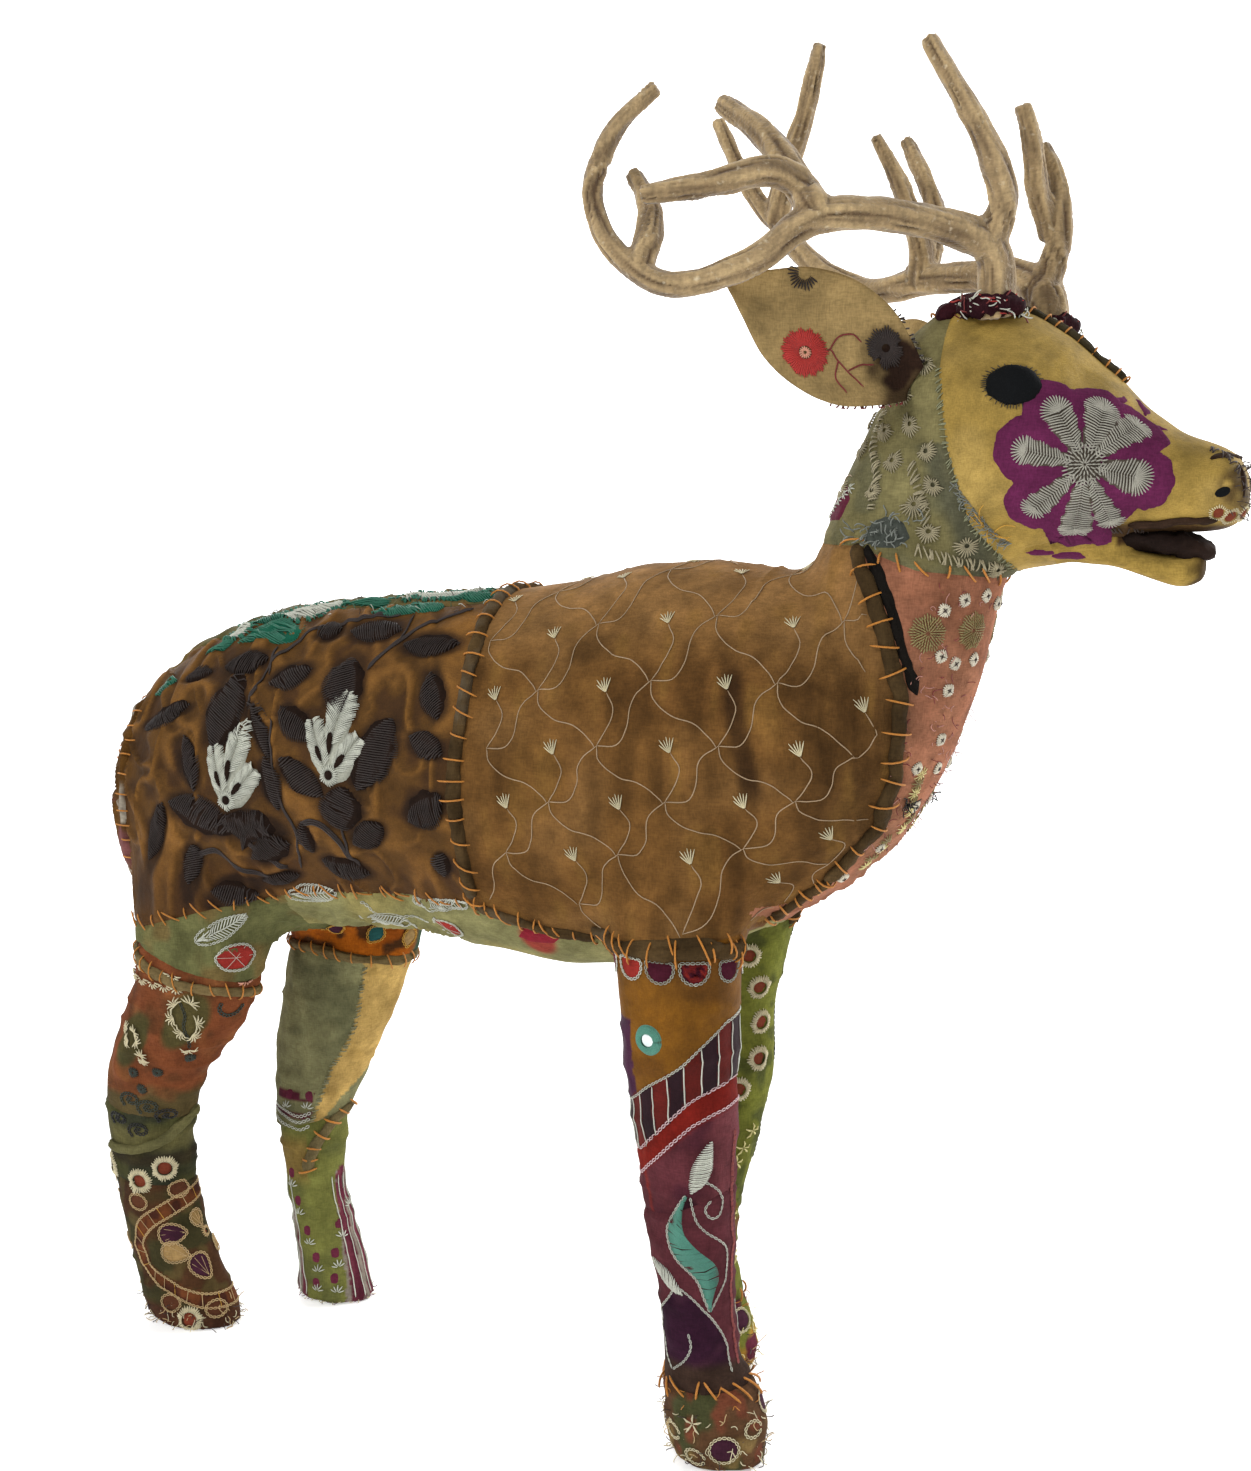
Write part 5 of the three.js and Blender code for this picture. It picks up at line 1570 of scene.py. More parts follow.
def sew_belly(surface):
    for side, tag in SIDE_NAMES.items():
        y = side
        fern(surface, f"belly_{tag}", "white", (-148, y * 70, 256), (-120, y * 62, 270), 10)
        fern(surface, f"belly_{tag}", "white", (-14, y * 54, 290), (24, y * 57, 287), 9)
        red_flower(surface, f"belly_{tag}", (-128, y * 60, 246), 12)
        red_flower(surface, f"belly_{tag}", (1, y * 40, 272), 13)
        fern(surface, f"belly_{tag}", "white", (-95, y * 52, 286), (-66, y * 53, 288), 13)
        fern(surface, f"belly_{tag}", "white", (-62, y * 36, 270), (-28, y * 34, 268), 10)
        path = [(-50, y * 50, 284), (-40, y * 42, 276), (-24, y * 44, 276), (-14, y * 38, 270)]
        SEW.chain(f"belly_{tag}", "white", surface.laid(curve(path))[0], surface, 3, 0.6)
        spot = Spot(surface, (62, y * 48, 276), (0, 0, 1))
        SEW.patch(f"belly_{tag}", "crimson", spot, [(-14, -3), (-8, 6), (6, 7), (16, 2), (8, -6), (-6, -7)],
                  0.6)


def sew_seams(surface):
    """Strong orange whipstitches, and the rolled bindings they hold."""
    roll = cloth("cloth_binding", RGB["binding"], weave=0.0004, rough=0.92, mottle=0.5, wrinkle=0.001,
                 stain_and_shade=hex_rgb("6b6456"))
    # Black cloth for the painted shadow beside the collar roll.
    black = cloth("cloth_painted_shadow", RGB["black"], weave=0.0004, rough=0.9, mottle=0.3, wrinkle=0.001)
    waist = []
    for a in np.linspace(-2.35, 2.35, 60):
        way = np.array([0, math.sin(a), math.cos(a)])
        waist.append(surface.ray(np.array([WAIST_X + 1.5 * math.sin(5 * a), 0, AXIS_Z]) + 300 * way, -way)[0])
    waist = np.array(waist)
    binding("waist_roll", waist, surface, 3.9, roll, ["waist_binding"])
    SEW.whip("waist", "orange", waist, surface, 11.5, 7.5, 4.3, 0.52, -0.2)
    for side, tag in SIDE_NAMES.items():
        line = surface.side_line([(x - 1.5, z) for x, z in COLLAR_SEAM], side)
        binding(f"collar_roll_{tag}", line, surface, 4.0, roll, [f"collar_binding_{tag}"])
        SEW.whip(f"collar_{tag}", "orange", line, surface, 13.5, 7, 4.3, 0.52, 0.12 * side)
        # A strip of black cloth in the gap beside the collar roll, laid there as painted shadow.
        strip = surface.side_line([(x + 5.5, z) for x, z in COLLAR_SEAM[3:]], side)
        if len(strip) > 8:
            binding(f"collar_shadow_strip_{tag}", strip, surface, 2.6, black, (), -0.1, 0.6)
        low = surface.side_line([(x, z + 1) for x, z in BELLY_SEAM if x < 40], side)
        SEW.whip(f"belly_seam_{tag}", "orange", low, surface, 9.5, 5.5, 1.3, 0.5, -0.3 * side, 0.5)
        front = surface.side_line([(30, 290), (68, 280), (94, 277)], side)
        binding(f"front_hem_{tag}", front, surface, 3.2, roll)
        SEW.whip(f"belly_seam_{tag}", "orange", front, surface, 8.5, 7, 3.0, 0.55, -0.4 * side, 0.3)
        chest = surface.side_line([(182, 290), (217, 315)], side)
        binding(f"chest_hem_{tag}", chest, surface, 3.8, roll)
        SEW.whip(f"belly_seam_{tag}", "orange", chest, surface, 8, 6, 4, 0.6, 0.2 * side)
        end = surface.side_line([(RUMP_END_X, 272), (RUMP_END_X - 1, 330), (RUMP_END_X, 398)], side)
        SEW.whip(f"rump_end_{tag}", "orange", end, surface, 10, 5, 1.3, 0.5, 0.4, 0.5)
        neck = surface.side_line([(244, 476), (262, 471), (300, 466)], side)
        if len(neck) > 4:
            SEW.whip(f"neck_seam_{tag}", "orange", neck, surface, 11, 4, 1.5, 0.6, 0.7, 0.7)
        face = surface.side_line([(x, z) for x, z in FACE_SEAM[1:]], side)
        if len(face) > 6:
            SEW.whip(f"face_seam_{tag}", "greygreen", face, surface, 1.7, 2.0, 0.8, 0.3, 0.3, 0.5)
        leg = "front_right" if side == RIGHT else "front_left"
        top = surface.leg_line(leg, [(281, 215), (281, 180), (280, 140), (280, 100), (281, 60), (284, 25)])
        binding(f"leg_top_{leg}", top, surface, 4.0, roll, (), 0.2, 0.7)
        SEW.whip(f"leg_top_{leg}", "orange", top, surface, 12, 7, 3.8, 0.55, 0.1)
        rear = "rear_right" if side == RIGHT else "rear_left"
        if side == RIGHT:
            hem = surface.leg_line(rear,
                                   [(250, 185), (243, 150), (237, 120), (232, 90), (228, 60), (226, 30),
                                    (222, 0), (220, -30)])
        else:
            hem = surface.leg_line(rear,
                                   [(236, -170), (237, -120), (236, -90), (233, -60), (231, -30), (230, 0),
                                    (232, 60), (236, 120)])
        binding(f"thigh_hem_{rear}", hem, surface, 3.0,
                cloth(f"cloth_hem_{rear}", hex_rgb("6a5a3a"), mottle=0.5), (), 0.2, 0.7)
        SEW.whip(f"thigh_hem_{rear}", "orange", hem, surface, 9.5, 5, 2.8, 0.5, 0.3)
    brow = []
    for x in np.arange(285, 353, 2.0):
        brow.append(surface.ray(np.array([x, -2.0, 800.0]), np.array([0, 0, -1.0]))[0])
    binding("brow_roll", brow, surface, 2.7, cloth("cloth_brow", hex_rgb("37301f"), mottle=0.5),
            ["brow_binding"])
    SEW.whip("brow", "orange", np.array(brow), surface, 7.5, 4, 3.2, 0.5, 0.1)


# ---- Papier-mâché cores ----
CORE_INSET = 6.5


def build_cores():
    """The shells under the cloth, drawn a little inside it."""
    ex, ey, ez = np.eye(3)
    paper = cloth("papier_mache", hex_rgb("8a7c5e"), weave=0.0008, mottle=0.4, wrinkle=0.0015)

    def core(name, centres, us, vs):
        verts, faces = loft_mesh(centres, us, vs, 40)
        new_object("core_" + name, place(verts), faces, paper, nodes=[name])

    def shrunk(values):
        return np.maximum(values - CORE_INSET, 2.0)

    for name, table in (("torso_form", TORSO), ("head_form", HEAD), ("jaw_form", JAW)):
        s = softened(table, 6)[2:-2]
        half = (s[:, 1] - s[:, 2]) / 2
        inset = shrunk(half) if name != "jaw_form" else half * 0.45
        wide = shrunk(s[:, 3]) if name != "jaw_form" else s[:, 3] * 0.45
        core(name, np.stack([s[:, 0], 0 * s[:, 0], (s[:, 1] + s[:, 2]) / 2], 1), wide[:, None] * ey,
             inset[:, None] * ez)
    s = softened(NECK, 6)
    core("neck_form", np.stack([s[:, 0], 0 * s[:, 0], s[:, 1]], 1), shrunk(s[:, 3])[:, None] * ey,
         shrunk(s[:, 2])[:, None] * ex)
    for leg, (side, table) in LEGS.items():
        s = softened(table, 6)[:-2]
        centres = np.stack([s[:, 1], side * s[:, 2], s[:, 0]], 1)
        core("leg_form_" + leg, centres, shrunk(s[:, 3])[:, None] * ex, shrunk(s[:, 4])[:, None] * ey)


def dress_wire():
    """Dull steel for the spine, the leg rods and the antler wire, which stay as they are modelled."""
    n = Nodes("steel_wire")
    steel = n.finish(
        n.blend(n.noise(220), (0.12, 0.11, 0.1), (0.24, 0.2, 0.16)), n.bump(n.noise(900), 0.0002),
        Metallic=0.9, Roughness=0.5,
    )
    for name in ("spine_rod", "antler_wire", *("leg_rod_" + leg for leg in LEGS)):
        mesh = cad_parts[name].data
        mesh.materials.clear()
        mesh.materials.append(steel)


# ---- Ears and tail ----
EAR_SHAPE = [(0, 9), (0.1, 17), (0.28, 27), (0.48, 29), (0.68, 24), (0.86, 12), (1, 2)]
TAIL_SHAPE = [(0, 7), (0.3, 12), (0.6, 13), (0.85, 8), (1, 2)]
LEAVES = {
    "ear_right": (EAR_SHAPE, (257, -38, 558), (180, -86, 606), (-0.1, 0, 1), -1),
    "ear_left": (EAR_SHAPE, (257, 38, 558), (196, 98, 592), (-0.1, 0, 1), 1),
    "tail": (TAIL_SHAPE, (-236, 0, 384), (-257, 0, 334), (0, 1, 0), 1),
}


class Leaf:
    """A stiffened cloth leaf, hollowed on one face: t runs from root to tip, v across it in millimetres."""

    def __init__(self, name, material, thick=2.4, hollow=8.0):
        shape, root, tip, up, face = LEAVES[name]
        self.root, tip = np.array(root, float), np.array(tip, float)
        self.length = np.linalg.norm(tip - self.root)
        self.along = (tip - self.root) / self.length
        across = np.array(up, float) - np.dot(up, self.along) * self.along
        self.across = across / np.linalg.norm(across)
        self.facing = np.cross(self.along, self.across) * face
        if face == -1:
            self.facing = -np.cross(self.along, self.across)
        self.shape, self.hollow = curve(np.array(shape) * [40, 1], 1.0) / [40, 1], hollow
        rows, cols = 70, 40
        t = np.linspace(0, 1, rows)
        c = np.linspace(-1, 1, cols)
        tt, cc = np.meshgrid(t, c, indexing="ij")
        front = self.point(tt.ravel(), cc.ravel(), thick / 2)
        back = self.point(tt.ravel(), cc.ravel(), -thick / 2)
        verts = np.vstack([front, back])
        n = rows * cols
        i = np.arange(rows - 1)[:, None] * cols + np.arange(cols - 1)[None]
        i = i.ravel()
        quads = np.stack([i, i + cols, i + cols + 1, i + 1], 1)
        rim = [i * cols for i in range(rows)] + [(rows - 1) * cols + j for j in range(1, cols)] \
            + [i * cols + cols - 1 for i in range(rows - 2, -1, -1)] + [j for j in range(cols - 2, 0, -1)]
        rim = np.array(rim)
        nxt = np.roll(rim, -1)
        wall = np.stack([rim, nxt, nxt + n, rim + n], 1)[:, ::-1]
        self.quads = np.vstack([quads, quads[:, ::-1] + n, wall])
        if face == -1:
            self.quads = self.quads[:, ::-1]
        self.verts = verts
        self.surface = Surface(verts, self.quads)
        self.obj = new_object("sewn_" + name, place(verts), self.quads, material, nodes=[name])
        bm = bmesh.new()
        bm.from_mesh(self.obj.data)
        bmesh.ops.recalc_face_normals(bm, faces=bm.faces)
        bm.to_mesh(self.obj.data)
        bm.free()
        self.obj.data.shade_smooth()

    def point(self, t, c, lift=0.0):
        """c runs from -1 to 1 over the width."""
        half = np.interp(t, self.shape[:, 0], self.shape[:, 1])
        half = half * (1 - 0.0 * t)
        cup = self.hollow * (1 - 0.65 * t)
        fold = cup * (np.abs(c) ** 1.8) - cup * 0.35
        edge = np.sqrt(np.clip(1 - np.abs(c) ** 8, 0, 1))
        p = self.root + np.multiply.outer(t * self.length, self.along)
        p = p + np.multiply.outer(c * half, self.across)
        bump = 0.8 * smooth_noise(p, 13, 81) + 0.35 * smooth_noise(p, 5, 82)
        return p + self.facing * (fold + bump + lift * edge)[:, None]

    def spot(self, t, v, spin=0.0):
        half = np.interp(t, self.shape[:, 0], self.shape[:, 1])
        p = self.point(np.array([t]), np.array([v / half]), 1.2)[0]
        return Spot(self.surface, p + self.facing * 1.5, self.across, spin)


def build_ears():
    ear_cloth = painted_cloth("cloth_ear")
    for side, tag in SIDE_NAMES.items():
        ear = Leaf("ear_" + tag, ear_cloth)
        t = ((ear.verts - ear.root) @ ear.along) / ear.length
        v = (ear.verts - ear.root) @ ear.across
        c = np.tile(hex_rgb("a68c5c"), (len(t), 1))
        # A painted shadow in the fold at the ear's root, and painted shade along the root where the ear meets
        # the head.
        root_fold_shadow = smoothstep(17, 6,
                            np.hypot((t - 0.16) * ear.length, v - 7) + 4 * smooth_noise(ear.verts, 6, 83))
        root = smoothstep(0.2, 0.04, t + 0.04 * smooth_noise(ear.verts, 7, 87))
        stain_and_shade = np.clip(0.92 * root_fold_shadow + 0.9 * root, 0, 1)[:, None]
        c = c * (1 - stain_and_shade) + np.array(hex_rgb("2b1c14")) * stain_and_shade
        c *= (1 + 0.12 * smooth_noise(ear.verts, 9, 84) + 0.08
              * smooth_noise(ear.verts, 3, 85))[:, None] * 0.8
        set_paint(ear.obj, c)
        piece = f"ear_{tag}_stitching"
        rose = ear.spot(0.52, -12)
        SEW.ring(piece, "red", rose, 3.2, 11, 0.5, 0.9)
        SEW.ring(piece, "red", rose, 6.5, 11.5, 0.5, 0.5)
        SEW.ring(piece, "peach", rose, 0.8, 3.4, 0.4, 0.9)
        for path in ([(0.43, -8), (0.42, -4), (0.36, -7), (0.3, -9), (0.2, -12)],
                     [(0.42, -5), (0.41, 3), (0.36, 7), (0.3, 6)],
                     [(0.36, -7), (0.34, -15), (0.26, -19)], [(0.3, -9), (0.25, -3), (0.2, 0)]):
            line = np.array(
                [ear.spot(a, b).o for a, b in curve([(p[0], p[1] / 40) for p in path], 0.02) * [1, 40]])
            SEW.line(piece, "darkred", line, ear.surface, 0.4, 0.3, 0.3)
        SEW.rays(piece, "dark", ear.spot(0.69, 20), np.linspace(185, 355, 14), 3, 8, 0.4, 0.4)
        SEW.ring(piece, "dark", ear.spot(0.19, 9), 2, 10, 0.5, 0.6)
        low = np.array([ear.point(np.array([a]), np.array([-0.97]))[0] for a in np.linspace(0.02, 0.3, 14)])
        SEW.whip(piece, "darkred", low, ear.surface, 1.8, 2.6, 1.0, 0.45, 0.3)
        up = np.array([ear.point(np.array([a]), np.array([0.97]))[0] for a in np.linspace(0.02, 0.25, 10)])
        SEW.whip(piece, "dark", up, ear.surface, 2.2, 2.6, 1.0, 0.45, 0.3)
    tail = Leaf("tail", ear_cloth, 4.0, 3.0)
    c = np.tile(np.array(hex_rgb("7d4a34")) * 0.7, (len(tail.verts), 1))
    c *= (1 + 0.3 * smooth_noise(tail.verts, 5, 86))[:, None]
    set_paint(tail.obj, c)
    rim = np.array(
        [tail.point(np.array([a]), np.array([0.95 * s]))[0] for s in (-1, 1)
         for a in np.linspace(0.05, 0.95, 14)])
    SEW.whip("tail_stitching", "orange", rim[:14], tail.surface, 6, 3.5, 1.4, 0.5)
    SEW.whip("tail_stitching", "orange", rim[14:], tail.surface, 6, 3.5, 1.4, 0.5)


def set_paint(obj, rgb):
    paint = obj.data.color_attributes.new("paint", "FLOAT_COLOR", "POINT")
    rgba = np.concatenate([np.clip(rgb, 0, 1), np.ones((len(rgb), 1))], axis=1)
    paint.data.foreach_set("color", rgba.astype(np.float32).ravel())


def painted_cloth(name, **options):
    return cloth(name, None, **options)


# ---- Face ----
# Petals of the cheek flower: tip (right, up) from its centre, and width.
CHEEK_PETALS = [
    ((-16, 32), 19), ((13, 35.5), 22), ((32, 25), 18), ((32, -8), 20), ((17, -35), 15), ((-2, -44), 20),
    ((-27, -27), 16),
    ((-34, 8), 16),
]


def dome(name, spot, half_width, half_height, rise, material, nodes=(), rough=0.0):
    rings, count = 12, 40
    uv, lifts = [(0.0, 0.0)], [rise]
    for i in range(1, rings + 1):
        r = i / rings
        for k in range(count):
            a = 2 * math.pi * k / count
            wob = 1 + rough * math.sin(7 * a + 1) * (r**6) + rough * math.sin(17 * a) * (r**6)
            uv.append((half_width * r * wob * math.cos(a), half_height * r * wob * math.sin(a)))
            lifts.append(rise * math.sqrt(max(0, 1 - r * r)) - (0.5 if i == rings else 0))
    at, _ = spot.at(uv, np.array(lifts))
    faces = [(0, 1 + k, 1 + (k + 1) % count) for k in range(count)]
    for i in range(rings - 1):
        for k in range(count):
            a, b = 1 + i * count + k, 1 + i * count + (k + 1) % count
            faces.append((a, a + count, b + count, b))
    obj = new_object(name, place(at), faces, material, nodes=nodes)
    return obj


# Dark lining between the lips: x, z, half height, half width.
MOUTH_LINING = [
    (350, 485, 3, 14), (354, 486, 6, 18), (362, 485, 7, 18.5), (372, 484, 7, 18), (382, 482, 7, 15.5),
    (389, 480, 6, 12), (394, 479, 3, 7),
]


def build_mouth(surface):
    """The dark lining between the lips, and the worn edge of the nose."""
    table = softened(MOUTH_LINING, 2.0, 2)
    centres = np.stack([table[:, 0], 0 * table[:, 0], table[:, 1]], 1)
    verts, faces = loft_mesh(centres, table[:, 3:4] * np.array([0, 1.0, 0]),
                             table[:, 2:3] * np.array([0, 0, 1.0]), 60)
    verts = verts + 1.5 * np.stack([smooth_noise(verts + 30 * k, 4, 95 + k) for k in range(3)], 1)
    lining = cloth("cloth_mouth", hex_rgb("1d130f"), weave=0.0004, mottle=0.5, wrinkle=0.0015,
                   stain_and_shade=hex_rgb("3a2a22"))
    new_object("mouth_lining", place(verts), faces, lining)
    edge = cloth("cloth_nose_edge", hex_rgb("33241a"), weave=0.0004, mottle=0.6, wrinkle=0.002)
    nose = [(392, 18, 521), (397, 13, 524), (401, 6, 522), (402, 0, 522), (401, -6, 522), (397, -13, 524),
            (392, -18, 521)]
    binding("nose_edge", np.array(nose), surface, 1.8, edge, (), -0.1, 0.7)
    for side in (RIGHT, LEFT):
        down = [(402, side * 9, 519), (406, side * 12, 512), (406, side * 12, 504)]
        binding("nose_side_" + SIDE_NAMES[side], np.array(down), surface, 1.5, edge, (), -0.1, 0.7)
        lip = [(357, side * 22, 491), (368, side * 21, 490), (380, side * 20, 490), (396, side * 15, 492)]
        binding("lip_" + SIDE_NAMES[side], np.array(lip), surface, 2.2, edge, (), 0.2, 0.8)


def sew_face(surface):
    eye_cloth = cloth("cloth_eye", hex_rgb("06080a"), weave=0.0003, rough=0.8, sheen=0.0, shine=0.12,
                      mottle=0.2)
    for side, tag in SIDE_NAMES.items():
        eye = Spot(surface, (EYE[0], side * 45, EYE[1]), (0, 0, 1), -6)
        dome("cloth_eye_" + tag, eye, 14, 10, 3.0, eye_cloth, ["eye_" + tag], 0.03)
        for a in np.linspace(0, 360, 60, endpoint=False):
            r = math.radians(a)
            way = np.array([math.cos(r) * 14, math.sin(r) * 10 * (1 + 0.08 * math.sin(3 * r))])
            reach = 1.10 + 0.09 * math.sin(3.7 * a)
            SEW._arc(f"eye_{tag}_fray", "black", eye, way * 0.86, way * reach + [0.8 * math.sin(a), 0], 0.22,
                     0.5)
        flower = Spot(surface, (340, side * 42, 519), (0, 0, 1))
        mirror = 1 if side == RIGHT else -1
        circles = [(np.array([t[0] * mirror, t[1]]) * (1 - 7 / np.hypot(*t)), 16.5) for t, _ in CHEEK_PETALS]
        rim = []
        for a in full_turn(140):
            way = toward(a)
            best = 20.0
            for c, r in circles:
                b = way @ c
                gap = r * r - (c @ c - b * b)
                if gap > 0:
                    best = max(best, b + math.sqrt(gap))
            spot = way * best * (1 + 0.012 * math.sin(23 * a))
            if spot[1] < -24 and spot[0] * mirror > 0:
                spot = way * min(best, 50 - 22 * way[0] * mirror)
            rim.append(spot)
        SEW.patch(f"cheek_flower_{tag}", "purple", flower, np.array(rim), 0.9, 1.8, 1.0)
        piece = f"cheek_petals_{tag}"
        SEW.patch(piece, "petalground", flower, circle(9.5, 20), 1.3, 1.8, 0.8)
        for tip, width in CHEEK_PETALS:
            tip = np.array([tip[0] * mirror, tip[1]], float)
            way = tip / np.hypot(*tip)
            across = np.array([-way[1], way[0]])
            length, half = np.hypot(*tip), width * 0.46
            along = np.linspace(0.2, 1.0, 12)
            round_end = np.clip(1 - np.clip((along - 0.74) / 0.27, 0, 1) ** 2, 0.02, 1)
            swell = half * np.clip(0.35 + 0.9 * along, 0, 1) * np.sqrt(round_end)
            rim = [way * length * t + across * w for t, w in zip(along, swell)]
            rim += [way * length * t - across * w for t, w in zip(along[::-1], swell[::-1])]
            SEW.patch(piece, "petalground", flower, np.array(rim) * 0.96, 1.3, 1.8, 0.8)
            body = length - half
            for k, r in enumerate(np.arange(7, body, 1.35)):
                w = half * min(1, 0.4 + 0.75 * (r - 7) / (body - 7)) + 0.7 * math.sin(5.1 * k)
                for sign in (-1, 1):
                    SEW._arc(piece, "silver", flower, way * (r - 0.6) - across * sign * 0.8,
                             way * (r + 1.6 + 0.5 * math.sin(7 * k)) + across * sign * w, 0.36, 1.9)
            for k, a in enumerate(np.linspace(-80, 80, max(9, int(width * 0.8)))):
                r = math.radians(a)
                to = way * math.cos(r) + across * math.sin(r)
                SEW._arc(piece, "silver", flower, way * body - to * 0.4,
                         way * body + to * (half + 0.9 + 0.6 * math.sin(6.3 * k)), 0.36, 1.9)
        for k in range(4):
            SEW.ring(piece, "silver", flower, 0.6 + 2.3 * k, 3.6 + 2.3 * k, 0.36, 1.9, gap=1.7)
        for at, shape in (
            ((352, side * 27, 551), [(-9, 0), (-4, 3), (2, 2), (8, 4), (10, 0), (4, -2), (-3, -1)]),
            ((360, side * 12, 545), [(-4, -6), (0, 8), (4, 6), (5, -3)]),
            ((366, side * 22, 538), [(-8, 0), (-2, 3), (8, 2), (12, -1), (2, -2)]),
            ((330, side * 18, 472), [(-10, 0), (-4, 4), (5, 4), (10, 0), (3, -4), (-6, -3)]),
            ((316, side * 26, 471), [(-8, -1), (-2, 3), (7, 2), (8, -2), (0, -3)]),
        ):
            shape = [(x * mirror, y) for x, y in shape]
            SEW.patch(f"cheek_flower_{tag}", "purple", Spot(surface, at, (0, 0, 1)), shape, 0.6, 1.6)
        nostril = Spot(surface, (398, side * 17, 507), (0, 0, 1), 20 * mirror)
        dome(f"nostril_{tag}", nostril, 4.2, 2.4, 0.5, eye_cloth)
        for at, r in (((401, side * 12, 496), 3.4), ((404, side * 5, 498), 3.2),
                      ((397, side * 19, 495), 3.0)):
            spot = Spot(surface, at, (0, 0, 1))
            SEW.patch(f"muzzle_{tag}", "rustred", spot,
                      [(r * math.cos(a), 1.2 * r * math.sin(a)) for a in np.linspace(0, 6.28, 13)[:-1]], 0.5,
                      1.4)
            SEW.ring(f"muzzle_{tag}", "cream", spot, r * 0.95, r * 1.5, 0.25, 0.4, gap=1.0)
        for k in range(7):
            start, n = surface.near((292 + k * 0.8, side * 34, 492 - k))
            SEW.loose(f"muzzle_{tag}", "yellow", start, (-0.8 + 0.3 * k, side * 0.9, 0.3 * math.sin(k)),
                      11 + 2 * (k % 3), 0.25, 100 + k)
        for k in range(26):
            z = 520 - k * 0.95
            start, n = surface.near((404 + 2 * math.sin(k), side * (2 + (k * 7) % 17), z))
            SEW.loose(f"muzzle_{tag}", "darkbrown", start, n + [0.2, 0, 0.4 * math.sin(k * 3.3)],
                      3.2 + (k % 4) * 0.6, 0.22, 200 + k)
        edge = surface.side_line([(392, 526), (400, 522), (404, 516)], side)
        SEW.whip(f"muzzle_{tag}", "darkbrown", edge, surface, 1.5, 2.4, 0.9, 0.4, 0.3, 0.6)
        lip = surface.side_line([(340, 489), (356, 489), (372, 487), (392, 488)], side)
        SEW.whip(f"muzzle_{tag}", "darkbrown", lip, surface, 2.2, 1.8, 0.6, 0.35, 0.6, 0.6)


# ---- Crown ----
CROWN_RINGS, CROWN_SIDES = 64, 32
CROWN_RADIUS, CROWN_THICK = 10.5, 4.2
CROWN_SCRAPS = 90


def build_crown(surface):
    wad = cloth("cloth_crown", hex_rgb("2a1016"), weave=0.0004, mottle=0.6, wrinkle=0.002,
                stain_and_shade=hex_rgb("4a1420"))
    for tag, centre, nodes in (("right", (291, -22, 597), ["antler_wrap_right"]),
                               ("left", (309, 24, 592), ["antler_wrap_left"])):
        t, p = np.meshgrid(full_turn(CROWN_RINGS), full_turn(CROWN_SIDES), indexing="ij")
        reach = CROWN_RADIUS + CROWN_THICK * np.cos(p)
        ring = np.stack([np.cos(t) * reach, np.sin(t) * reach, 4.6 * np.sin(p)], 2).reshape(-1, 3)
        away = np.stack([np.cos(t) * np.cos(p), np.sin(t) * np.cos(p), np.sin(p)], 2).reshape(-1, 3)
        folds = 3.2 * (1 - np.abs(smooth_noise(ring * [1, 1, 0.6], 5, 91))) ** 4
        ring = ring + away * (folds + 1.8 * smooth_noise(ring, 4, 92) - 1.0)[:, None]
        i, k = np.meshgrid(np.arange(CROWN_RINGS), np.arange(CROWN_SIDES), indexing="ij")
        i, k = i.ravel(), k.ravel()
        after, beside = (i + 1) % CROWN_RINGS, (k + 1) % CROWN_SIDES
        corners = ((i, k), (after, k), (after, beside), (i, beside))
        quads = np.stack([row * CROWN_SIDES + column for row, column in corners], 1)
        obj = new_object(f"crown_wad_{tag}", place(ring + centre + [0, 0, -3]), quads, wad, nodes=nodes)
        rng = np.random.default_rng(5)
        for j in range(CROWN_SCRAPS):
            a = rng.uniform(0, 2 * math.pi)
            start = np.array(centre) + [14.5 * math.cos(a), 14.5 * math.sin(a), rng.uniform(-7, 2)]
            way = np.array([-math.sin(a), math.cos(a), rng.uniform(-0.5, 0.3)]) + 0.3 * rng.normal(size=3)
            colour = "white" if j % 5 < 3 else ("red" if j % 5 == 3 else "darkred")
            SEW.loose(f"crown_{tag}", colour, start, way, rng.uniform(4, 9), 0.34, 300 + j, 0.6)
    strip = [surface.near(p)[0]
             for p in ((262, -26, 598), (270, -14, 602), (282, -4, 603), (296, 4, 601), (300, 12, 598))]
    binding("crown_strip", np.array(strip), surface, 5.0, wad, (), 0.3)
    nape = surface.side_line([(262, 592), (270, 597), (280, 600)], RIGHT)
    if len(nape) > 3:
        SEW.whip("crown_right", "orange", nape, surface, 6, 4, 2.5, 0.6)


# ---- Legs ----
def circle(radius, count=16, squash=1.0):
    a = full_turn(count)
    return np.stack([radius * np.cos(a), radius * squash * np.sin(a)], 1)


def eyelet(piece, spot, inner, outer, centre="rustred", rim="cream"):
    """A round hole worked over with a thick ruffled rim."""
    SEW.patch(piece, centre, spot, circle(inner + 0.6, 14), 0.3, 1.6)
    SEW.ring(piece, rim, spot, inner, outer, 0.42, 1.1, gap=0.95)
    SEW.ring(piece, rim, spot, inner + 0.6, outer + 0.4, 0.34, 0.6, gap=1.3)


def floret(piece, spot, colour="cream", size=5.0, petals=7):
    """A little daisy of thick loop stitches."""
    for k in range(petals):
        a = math.radians(360 / petals * k + 20)
        way = toward(a)
        reach = size * (1 + 0.15 * math.sin(5 * k + size))
        SEW.stitch(piece, colour, *spot.at([way * 0.5, way * reach * 0.6, way * reach], [0.9, 1.5, 0.7]),
                   0.62)


